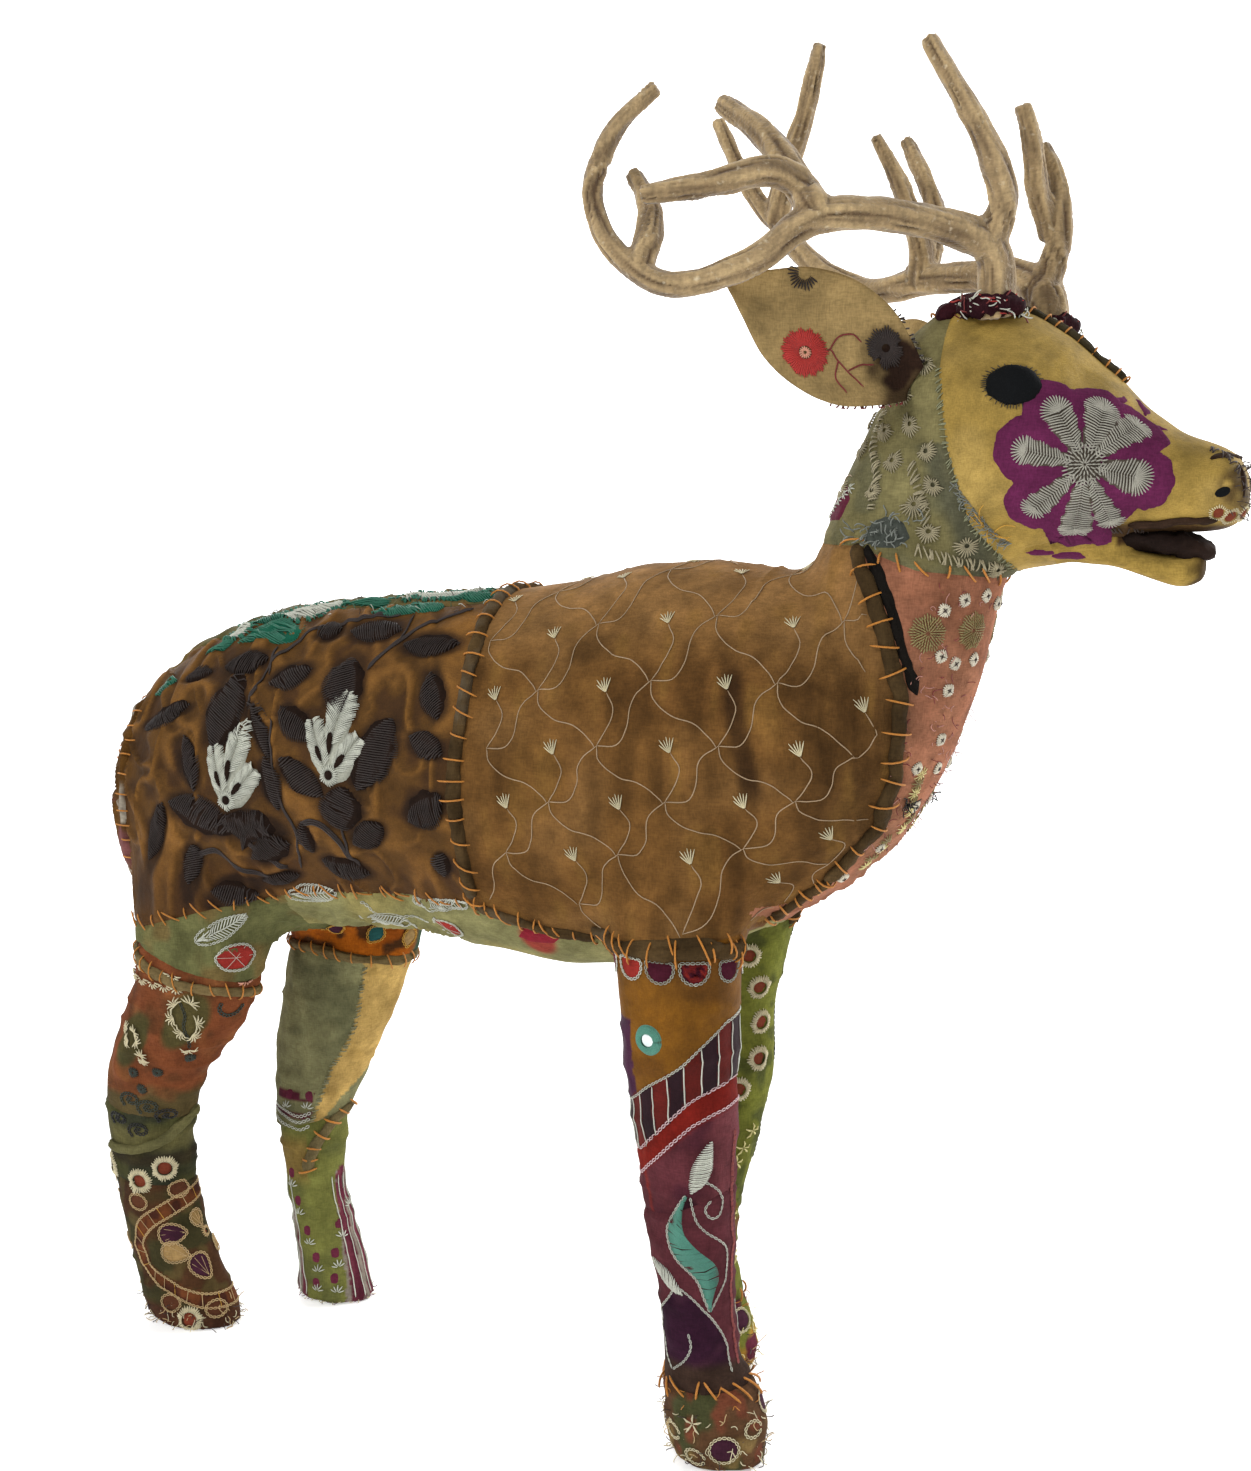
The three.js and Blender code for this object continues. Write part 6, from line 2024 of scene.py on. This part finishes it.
def bloom(piece, colour, spot, centre, lean, size=5.5):
    """Half a flower of thick curled stitches, opening the way it leans."""
    centre = np.array(centre, float)
    for a in np.linspace(-85, 85, 7):
        r = math.radians(lean + a)
        way = toward(r)
        bend = np.array([-way[1], way[0]]) * math.copysign(1.3, a)
        path = [centre, centre + way * size * 0.6, centre + way * size + bend]
        SEW.stitch(piece, colour, *spot.at(path, [0.9, 1.9, 1.1]), 0.5)


def ribbon_leaf(surface, piece, colour, leg, left, right, turn0, lift=1.3):
    """A long leaf of satin stitches laid from one edge to the other."""
    a = np.array([surface.leg(leg, h, t + turn0)[0] for h, t in curve(left, 0.7)])
    b = np.array([surface.leg(leg, h, t + turn0)[0] for h, t in curve(right, 0.7)])
    for k in range(len(a)):
        start, end = a[k], b[int(k * (len(b) - 1) / (len(a) - 1))]
        middle, facing = surface.near((start + end) / 2)
        if np.linalg.norm(end - start) > 1 and k % 11 != 7:
            points = [start, middle + facing * lift, end]
            SEW.stitch(piece, colour, points, [facing] * 3, 0.42)


def outlined(surface, piece, colour, line_colour, spot, shape, lift=0.6):
    shape = np.asarray(shape, float)
    SEW.patch(piece, colour, spot, shape, lift, 1.8)
    loop = np.vstack([shape, shape[:1]])
    SEW.chain(piece, line_colour, spot.at(resample(loop, 2.0))[0], surface, 2.5, 0.55, 0.28, 0.7)


def sew_front_right(surface):
    leg, piece = "front_right", "front_right_leg"
    for k, turn in enumerate(range(-168, 190, 36)):
        colour = ("red", "plumred")[k % 2]
        spot = surface.leg_spot(leg, 272, turn + 3)
        shape = [(-7.5, 4), (7.5, 4), (7.5, -2), (4.5, -6), (0, -7.5), (-4.5, -6), (-7.5, -2)]
        outlined(surface, piece, colour, "white", spot, shape)
    ring = Spot(surface, (139, -82, 235), (0, 0, 1))
    glass = Nodes("mirror_glass")
    silver = glass.finish(glass.blend(glass.noise(300), (0.75, 0.8, 0.8), (0.5, 0.56, 0.56)), Metallic=1.0,
                          Roughness=0.12)
    dome("mirror_disc", ring, 4.6, 4.6, 1.0, silver, ["shisha_mirror"])
    for k in range(7):
        loop = ring.at(circle(3.9 + 0.62 * k, 40), 1.9 - 0.18 * (k - 2) ** 2 / 2)[0]
        SEW.line(piece, "aqua", np.vstack([loop, loop[:1]]), surface, 0.5, 1.5 - 0.1 * (k - 2) ** 2)
    turns = [-58, 18, 46, 71, 104, 152, 240, 300]
    chain = surface.leg_line(leg, list(zip(CHAIN_RISE[1:-1], turns[1:-1])))
    SEW.chain(piece, "white", chain, surface, 2.6, 0.45, 0.22)
    back = surface.leg_line(leg, [(196, 240), (222, 270), (240, 300), (247, 340), (244, 378)])
    SEW.chain(piece, "white", back, surface, 3.0, 0.6, 0.28)
    for k in range(19):
        turn = -200 + 19 * k
        top = np.interp((turn + 60) % 360 - 60, [-60, 18, 46, 71, 104, 152, 240, 300], CHAIN_RISE) - 1
        x_here = surface.leg(leg, 200, turn)[0][0]
        low = height_of(LEG_SEAMS[leg][0], x_here)
        if top - low > 5:
            line = surface.leg_line(leg, [(top, turn), ((top + low) / 2, turn), (low, turn)])
            SEW.line(piece, "white", line, surface, 0.36, 0.3, 0.25)
    for seam, shift in ((LEG_SEAMS[leg][0], 0), (LEG_SEAMS[leg][0], -12.5)):
        loop = []
        for turn in np.arange(-180, 181, 5.0):
            x_here = surface.leg(leg, 180, turn)[0][0]
            loop.append(surface.leg(leg, height_of(seam, x_here) + shift, turn)[0])
        SEW.chain(piece, "palepink", np.array(loop), surface, 3.0, 0.6, 0.28)
    # The leaves, spiral and petal on the plum velvet, repeated on its far side.
    for turn0 in (0, 190):
        def at(z, turn):
            return surface.leg(leg, z, turn + turn0)[0]

        def stitched(path, colour="white"):
            line = np.array([at(z, t) for z, t in curve(path, 2.0)])
            SEW.chain(piece, colour, line, surface, 2.8, 0.4, 0.22)

        SEW.leaf(piece, "white", Spot(surface, at(156, 64), at(182, 34) - at(156, 64)), 31, 11.5, 1.0, 0.42,
                 1.4, 62)
        small = Spot(surface, at(116, 138), at(103, 58) - at(116, 138))
        SEW.leaf(piece, "white", small, 27, 9, 1.0, 0.42, 1.2, 62)
        ribbon_leaf(surface, piece, "aqua", leg, S_LEAF_LEFT, S_LEAF_RIGHT, turn0)
        for path in (S_LEAF_LEFT, S_LEAF_BORDER, SPIRAL, PLUM_PETAL[1:]):
            stitched(path)
        stitched([(80, 85), (73, 82), (65, 95), (58, 119)])
        stitched([(76, 141), (65, 133), (58, 122)])
        stitched([(186, 4), (160, 6), (130, 3), (100, 8), (60, 6)], "redseam")
        stitched([(186, 1), (160, 3), (130, 0), (100, 5), (60, 3)], "redseam")
    sew_hoof(surface, leg, 48)


def frayed(surface, leg, piece, colours, count, low, rise, seed):
    """Broken threads that stand out all round the foot."""
    for k in range(count):
        rng = np.random.default_rng(seed + k)
        p, n = surface.leg(leg, low + rise * rng.random() ** 1.6, 360 * rng.random())
        if p is not None:
            way = n * 0.5 + rng.normal(size=3) * 0.7
            SEW.loose(piece, colours[k % len(colours)], p, way, 4 + 5 * rng.random(), 0.24, seed + k, 1.1)


def sew_hoof(surface, leg, top, motif="cream"):
    piece = leg + "_leg"
    ring = surface.leg_line(leg, [(top + 1.5 * math.sin(t / 40), t) for t in range(-180, 185, 20)])
    SEW.whip(piece, "orange", ring, surface, 9, 5.5, 1.6, 0.65, 0.5, 0.7)
    for k, (z, turn) in enumerate(
        ((34, 95), (22, 60), (26, 130), (32, -120), (24, 180), (30, 20), (20, -60), (38, -20), (16, 100))):
        spot = surface.leg_spot(leg, z, turn)
        if k % 3 == 0:
            floret(piece, spot, motif, 5.5, 5)
        elif k % 3 == 1:
            outlined(surface, piece, "plum", "cream", spot, circle(8.0, 14, 0.85))
        else:
            SEW.chain(piece, motif, spot.at(circle(6, 16, 0.7))[0], surface, 2.4, 0.6, 0.3)
    frayed(surface, leg, piece, ("cream", "tanthread", motif, "darkbrown"), 150, 10, 30, 400)
    frayed(surface, leg, piece, ("orange",), 16, top - 10, 12, 460)


def sew_front_left(surface):
    leg, piece = "front_left", "front_left_leg"
    for z, turn in ((256, -50), (237, -30), (216, -22), (195, -23), (178, -46), (256, 60), (232, 75),
                    (208, 80), (184, 95), (160, 100),
                    (240, 170), (214, 176), (188, 165), (165, -170), (245, -110), (222, -115), (200, -108)):
        eyelet(piece, surface.leg_spot(leg, z, turn), 3.9, 7.0)
    for z, turn in ((244, -76), (224, -72), (205, -68), (190, -72), (222, 40), (196, 45), (226, 120),
                    (196, 130)):
        SEW.patch(piece, "rustred", surface.leg_spot(leg, z, turn), circle(5.5, 12, 1.2), 0.4, 1.8)
    for z, turn in ((152, -19), (142, -27), (133, -33), (128, 40), (148, 150), (120, -140), (100, -20),
                    (86, -70), (92, 60), (76, 140), (150, 60), (104, 170), (68, -120), (72, 10)):
        floret(piece, surface.leg_spot(leg, z, turn), "paleyellow", 5.0, 5)
    for t0 in (-62, 20, 120, -150):
        line = surface.leg_line(leg, [(270, t0), (235, t0 + 6), (200, t0 - 4), (165, t0 + 4), (130, t0)])
        SEW.chain(piece, "darkgreen", line, surface, 3.0, 1.0, 0.4)
    sew_hoof(surface, leg, 50, "paleyellow")


def sew_rear_right(surface):
    leg, piece = "rear_right", "rear_right_leg"
    for turn0 in (0, 180):
        cluster = surface.leg_spot(leg, 207, 55 + turn0)
        for centre, lean in (
            ((-4, 10), 135), ((5, 12), 50), ((-6, 2), 190), ((7, -1), 0), ((-2, -7), 215), ((4, -9), -40),
            ((1, -19), 270),
        ):
            bloom(piece, "cream", cluster, centre, lean)
        stem = cluster.at(curve([(-1, 12), (1, 4), (-1, -4), (1, -12), (1, -18)], 2))[0]
        SEW.chain(piece, "darkgreen", stem, surface, 2.6, 0.7, 0.35)
        side = surface.leg_spot(leg, 191, 118 + turn0)
        for centre, lean in (((-4, 6), 150), ((3, 5), 40), ((-3, -1), 200), ((4, 0), -20), ((10, -12), 250),
                             ((8, -9), 60)):
            bloom(piece, "cream", side, centre, lean, 4.5)
        curl = surface.leg_spot(leg, 213, 15 + turn0)
        SEW.chain(piece, "darkgreen", curl.at(curve([(-6, 5), (-7, 0), (-2, -4), (4, -3), (8, 2)], 1.5))[0],
                  surface, 2.2, 0.9, 0.5)
        for z, turn in ((170, 96), (172, 58), (182, 30), (160, 72)):
            SEW.ring(piece, "darkgreen", surface.leg_spot(leg, z, turn + turn0), 0.6, 3.6, 0.45, 0.7)
    # The scalloped edge of cream loops under the thigh's hem.
    for k in range(20):
        turn = 178 - 8.5 * k if k < 13 else 40 - 30 * (k - 12)
        z = 236 + 0.062 * (turn - 100) - 4 * math.cos(k * 3.1)
        spot = surface.leg_spot(leg, z - 3, turn)
        angles = np.linspace(-165, -15, 6)
        SEW.rays(piece, "cream" if turn > 70 else "peach", spot, angles, 1.6, 5.0, 0.5, 1.0)
    for k, (z, turn) in enumerate(
        ((148, 57), (142, 30), (152, 90), (138, 110), (150, -160), (146, -90), (142, 180), (132, 70))):
        swirl = [((0.8 + 0.6 * j) * math.cos(j * 0.8), (0.8 + 0.6 * j) * 0.6 * math.sin(j * 0.8))
                 for j in range(14)]
        SEW.chain(piece, ("darkgreen", "black")[k % 2], surface.leg_spot(leg, z, turn).at(swirl)[0], surface,
                  2.2, 0.8, 0.4)
    roll = surface.leg_line(leg, [(118, 150), (118, 110), (120, 70), (126, 35), (137, 8), (144, -12)])
    binding("rear_right_fold", roll, surface, 2.9, cloth("cloth_fold", hex_rgb("5d5938"), mottle=0.4), (),
            0.2, 0.8)
    for z, turn in ((108, 34), (99, 78), (104, 150), (100, -150), (106, -80), (15, 58)):
        eyelet(piece, surface.leg_spot(leg, z, turn), 4.4, 7.9)
    for z, turn in ((94, 20), (86, 88), (92, 190), (88, -100), (24, 84), (21, 20), (24, 200), (22, -80)):
        outlined(surface, piece, "brick", "tanthread", surface.leg_spot(leg, z, turn), circle(7, 14, 0.75),
                 0.4)
    # Rows of bricks: two chains with stitches across, in an open ring round the leaves.
    for turn0 in (0, 180):
        path = np.array(curve([(t * BRICK_TURN, h) for h, t in BRICK_ARC], 2.0))
        way = np.gradient(path, axis=0)
        across = np.stack([-way[:, 1], way[:, 0]],
                          1) / np.maximum(np.linalg.norm(way, axis=1, keepdims=True), 1e-9)
        edges = []
        for side in (-4.2, 4.2):
            edge = path + across * side
            edges.append(np.array([surface.leg(leg, h, t / BRICK_TURN + turn0)[0] for t, h in edge]))
            SEW.chain(piece, "tanthread", edges[-1], surface, 2.6, 0.5, 0.3)
        for k in range(2, len(path) - 1, 4):
            SEW.line(piece, "tanthread" if k % 3 else "yellow", np.array([edges[0][k], edges[1][k]]),
                     surface, 0.5, 0.5, 0.2)
        for z, turn, spin, size, colour in (
            (67, 41, 95, 1.0, "plum"), (55, 46, 75, 1.0, "tan"), (46, 20, 30, 1.0, "plum"),
            (73, 4, 20, 0.7, "tan"), (54, -24, 90, 0.8, "tan"),
        ):
            spot = surface.leg_spot(leg, z, turn + turn0, spin)
            shape = np.array(
                [(0, -9), (4, -5), (6.5, 2), (5, 7), (0, 9), (-5, 7), (-6.5, 2), (-4, -5)]) * size
            outlined(surface, piece, colour, "tanthread", spot,
                     curve(np.vstack([shape, shape[:1]]), 2.0)[:-1])
            for to in ((0, 7), (-3.5, 5), (3.5, 5)):
                SEW.line(piece, "tanthread", spot.at([(0, -7 * size), (to[0] * size, to[1] * size)])[0],
                         surface, 0.32, 0.9)
        eyelet(piece, surface.leg_spot(leg, 64, -4 + turn0), 1.6, 3.4, "rustred", "tanthread")
    frayed(surface, leg, piece, ("cream", "tanthread", "darkbrown"), 110, 9, 14, 500)


def sew_rear_left(surface):
    leg, piece = "rear_left", "rear_left_leg"
    for z, turn, colour in ((252, -80, "plum"), (248, -40, "darkteal"), (244, -10, "tan"), (252, 60, "plum"),
                            (248, 120, "darkteal"), (250, -140, "darkteal")):
        outlined(surface, piece, colour, "yellow", surface.leg_spot(leg, z, turn, turn),
                 [(0, -7), (5, -2), (5, 3), (0, 8), (-5, 3), (-5, -2)])
    edge = surface.leg_line(leg, [(226, -42), (183, -36), (157, -47), (122, -58)])
    SEW.whip(piece, "greygreen", edge, surface, 2.6, 1.6, 0.7, 0.3, 0.6)
    hem = surface.leg_line(leg, [(133, 4), (124, -22), (114, -42), (104, -58), (90, -72)])
    binding("rear_left_fold", hem, surface, 3.4, cloth("cloth_fold_left", hex_rgb("665a3c"), mottle=0.5), (),
            0.2, 0.8)
    SEW.whip(piece, "orange", hem, surface, 9, 5, 3.4, 0.65, 0.3)
    for shift in (0, -4, -9):
        line = surface.leg_line(
            leg, [(131 + shift, -150), (129 + shift, -110), (127 + shift, -80), (130 + shift, -62)])
        SEW.chain(piece, ("white", "palepink", "white")[shift % 3], line, surface, 2.8, 0.7, 0.3)
    dots = [(88, -112), (71, -102), (53, -92), (37, -82), (21, -92), (73, 10), (57, -25), (40, -44),
            (25, -54),
            (80, 150), (62, 140), (44, 146), (26, 140), (140, -108), (141, -70)]
    for k, (z, turn) in enumerate(dots):
        SEW.patch(piece, "plumred", surface.leg_spot(leg, z, turn), circle(3.7, 10, 1.1), 0.4, 1.6)
        SEW.rays(piece, "white", surface.leg_spot(leg, max(z - 8.5, 16), turn),
                 np.linspace(20, 160, 5) + 9 * math.sin(3 * k), 0.8, 4.6, 0.36, 0.7)
    for turn in (-24, -9, 6, 21, 40, 60, -118, -135, -150, -170):
        line = surface.leg_line(leg, [(86, turn), (60, turn + 3), (36, turn + 1), (12, turn - 2)])
        SEW.line(piece, "white", line, surface, 0.38, 0.3, 0.3)
    for k in range(50):
        p, n = surface.leg(leg, 10, -180 + 7.2 * k)
        if p is not None:
            SEW.loose(piece, "plumthread" if k % 2 else "cream", p - n * 0.3, n, 2.2 + k % 3, 0.25, 600 + k,
                      0.6)


# ---- Chest and neck ----
def sew_chest(surface):
    for side, tag in SIDE_NAMES.items():
        piece = "chest_" + tag
        for k, (x, y, z) in enumerate(((274, 34, 451), (282, 27, 456), (290, 15, 458), (292, 3, 454),
                                       (272, 32, 429), (278, 26, 425), (283, 14, 427),
                                       (274, 25, 412), (270, 20, 387), (261, 29, 373), (266, 12, 372),
                                       (256, 14, 352), (240, 18, 330), (222, 22, 314))):
            spot = Spot(surface, (x, side * y, z), (0, 0, 1), 35 * math.sin(k * 1.9))
            SEW.ring(piece, "ivory", spot, 0.5, 3.5, 0.5, 0.9, gap=0.7)
            for a in (40, 130):
                way = 3.0 * np.array([math.cos(math.radians(a)), math.sin(math.radians(a))])
                SEW.stitch(piece, "darkbrown", *spot.at([-way, 0 * way, way], [0.9, 1.75, 0.9]), 0.34)
        for (x, y, z), size in (((267, 38, 440), 7.8), ((285, 20, 441), 7.4)):
            spot = Spot(surface, (x, side * y, z), (0, 0, 1))
            for r in np.arange(1.0, size, 1.5):
                SEW.ring(piece, "goldgreen", spot, r, r + 2.2, 0.34, 0.9, gap=1.3)
        for k in range(150):
            rng = np.random.default_rng(700 + k)
            z = rng.uniform(318, 462)
            start, n = surface.near((262 + 0.2 * (z - 400), side * rng.uniform(2, 44), z))
            if start[0] > 246 - (400 - z) * 0.25 and n[0] > 0.2:
                SEW.loose(piece, "pinkish" if k % 2 else "darkred", start, np.cross(n, [0, 0.3, 1]),
                          5 + 3 * rng.random(), 0.2, 800 + k, 0.9)
        for k, z in enumerate(np.arange(320, 372, 5.0)):
            x = height_of([(p[1], p[0]) for p in COLLAR_SEAM], z) + 8
            p = surface.side_line([(x, z), (x + 0.5, z)], side, 0.4)
            if len(p):
                SEW.rays(piece, ("paleyellow", "goldgreen")[k % 2], Spot(surface, p[0], (0, 0, 1)),
                         np.arange(0, 360, 36), 0.4, 4.2, 0.34, 0.8)
        for k in range(14):
            start, n = surface.near((258, side * 24, 352))
            SEW.loose(piece, "black", start, np.array([0.5, side * 0.4, -0.3]) + 0.5
                      * np.random.default_rng(k).normal(size=3), 8, 0.3, 850 + k)


def sew_neck(surface):
    for side, tag in SIDE_NAMES.items():
        piece = "neck_" + tag
        for x, y, z, size in ((260, 42, 502, 7.5), (267, 40, 489, 6), (269, 40, 511, 5.5),
                              (283, 31, 483, 6.5), (293, 15, 474, 6), (246, 44, 524, 6),
                              (256, 42, 540, 6.5), (238, 38, 540, 6), (250, 40, 556, 6), (240, 32, 508, 5),
                              (266, 42, 527, 5.5), (236, 26, 560, 6),
                              (262, 40, 570, 6), (228, 20, 530, 6), (250, 30, 582, 5), (224, 12, 548, 6),
                              (222, 16, 508, 6)):
            spot = Spot(surface, (x, side * y, z), (0, 0, 1), 40 * math.sin(x))
            SEW.rays(piece, "taupe", spot, np.linspace(-200, 20, 15), 1.2, size, 0.4, 1.1)
            SEW.rays(piece, "taupe", spot, np.linspace(40, 140, 5), 1.0, size * 0.6, 0.36, 0.8)
        for path in ([(262, 480), (274, 476), (286, 473), (296, 472)], [(258, 520), (262, 508), (266, 494)],
                     [(238, 500), (240, 516), (236, 532), (242, 552)]):
            line = surface.side_line(curve(path, 2), side)
            if len(line) > 3:
                SEW.whip(piece, "taupe", line, surface, 1.3, 2.6, 1.3, 0.4, 0.4, 0.5)
        for k in range(46):
            rng = np.random.default_rng(900 + k)
            start, n = surface.near((246 + 9 * rng.normal(), side * 42, 489 + 4.5 * rng.normal()))
            SEW.loose(piece, "bluegrey", start, n + 0.8 * rng.normal(size=3), 6 + 4 * rng.random(), 0.34,
                      900 + k, 1.0)
        for k in range(60):
            t = k / 59
            x = float(np.interp(t, [0, 1], [281, 306]))
            z = float(np.interp(t, [0, 1], [512, 470]))
            start, n = surface.near((x, side * 40, z))
            SEW.loose(piece, "bluegrey", start, n * 0.5 + [-0.8, 0, 0.2 * math.sin(k)], 4.5 + k % 4, 0.25,
                      960 + k, 0.5)
        spot = Spot(surface, (246, side * 44, 489), (0, 0, 1))
        SEW.patch(piece, "bluepatch", spot,
                  [(-12, -4), (-8, 5), (0, 8), (9, 5), (13, -3), (6, -8), (-5, -8)], 1.6, 1.8, 2.0)
        nape = Spot(surface, (222, side * 18, 500), (0, 0, 1))
        SEW.patch(piece, "plumred", nape, [(-14, -8), (-10, 6), (2, 12), (10, 4), (6, -8)], 0.8)
        for k in range(5):
            SEW.rays(piece, "white", nape, np.arange(0, 360, 60), 0.4, 2.8, 0.35, 1.2,
                     (-9 + 4.4 * k, -4 + 3.2 * k))


# ---- Build ----
THREAD_COLOURS = {
    "vinecream": "9c8466", "cream": "c4ba98", "dark": "21140e", "white": "b9bbae", "jade": "17614a",
    "orange": "ab6c1c",
    "greygreen": "77785a", "yellow": "b98a28", "red": "a3261f", "darkred": "6d1d1c", "peach": "c98f77",
    "black": "0c0b0b",
    "silver": "9a978b", "darkbrown": "2f2018", "aqua": "47806f", "palepink": "c9aeb0", "paleyellow": "cdc283",
    "darkgreen": "242b20", "tanthread": "b59a6c", "plumthread": "5a2436", "goldgreen": "85794a",
    "pinkish": "a8766a",
    "plumred": "5b2334", "taupe": "8d8468", "ivory": "c9c2ae", "bluegrey": "6f736c", "redseam": "8e4440",
}
CLOTH_COLOURS = {
    "dark": "1d120c", "whitecloth": "96978a", "red": "8a2a24", "crimson": "7d1d2a", "purple": "581f41",
    "rustred": "6e3322", "plumred": "5b2334",
    "plum": "3a1c2a", "jadecloth": "14513e", "petalground": "4c453c", "tan": "94784c", "darkteal": "24504e",
    "ivory": "d6cdb6", "bluepatch": "454943", "brick": "53301f",
}
SLOT_COLOURS = {
    "black": "black dark darkbrown", "olive": "darkgreen goldgreen greygreen",
    "jade": "jade jadecloth aqua darkteal bluepatch bluegrey", "maroon": "red darkred crimson redseam",
    "plum": "plumred plumthread purple plum", "rust": "rustred pinkish peach",
    "papier": "palepink cream white silver ivory whitecloth taupe petalground",
    "mustard": "vinecream yellow paleyellow tanthread tan", "brown": "brick", "orange": "orange",
}
COLOUR_SLOTS = {colour: slot for slot, colours in SLOT_COLOURS.items() for colour in colours.split()}
SURFACE = build_panels()
build_cores()
for antler_name, branches in ANTLERS.items():
    antler(antler_name, branches)
build_ears()
build_crown(SURFACE)
build_mouth(SURFACE)
for flank_side in (RIGHT, LEFT):
    sew_flank(SURFACE, flank_side)
for sew in (sew_back, sew_belly, sew_seams, sew_face, sew_chest, sew_neck, sew_front_right, sew_front_left,
            sew_rear_right, sew_rear_left):
    sew(SURFACE)
SEW.finish(
    {k: thread("thread_" + k, hex_rgb(v)) for k, v in THREAD_COLOURS.items()},
    {k: cloth("patch_" + k, hex_rgb(v), mottle=0.3) for k, v in CLOTH_COLOURS.items()},
    COLOUR_SLOTS,
)
dress_wire()
build_stage()
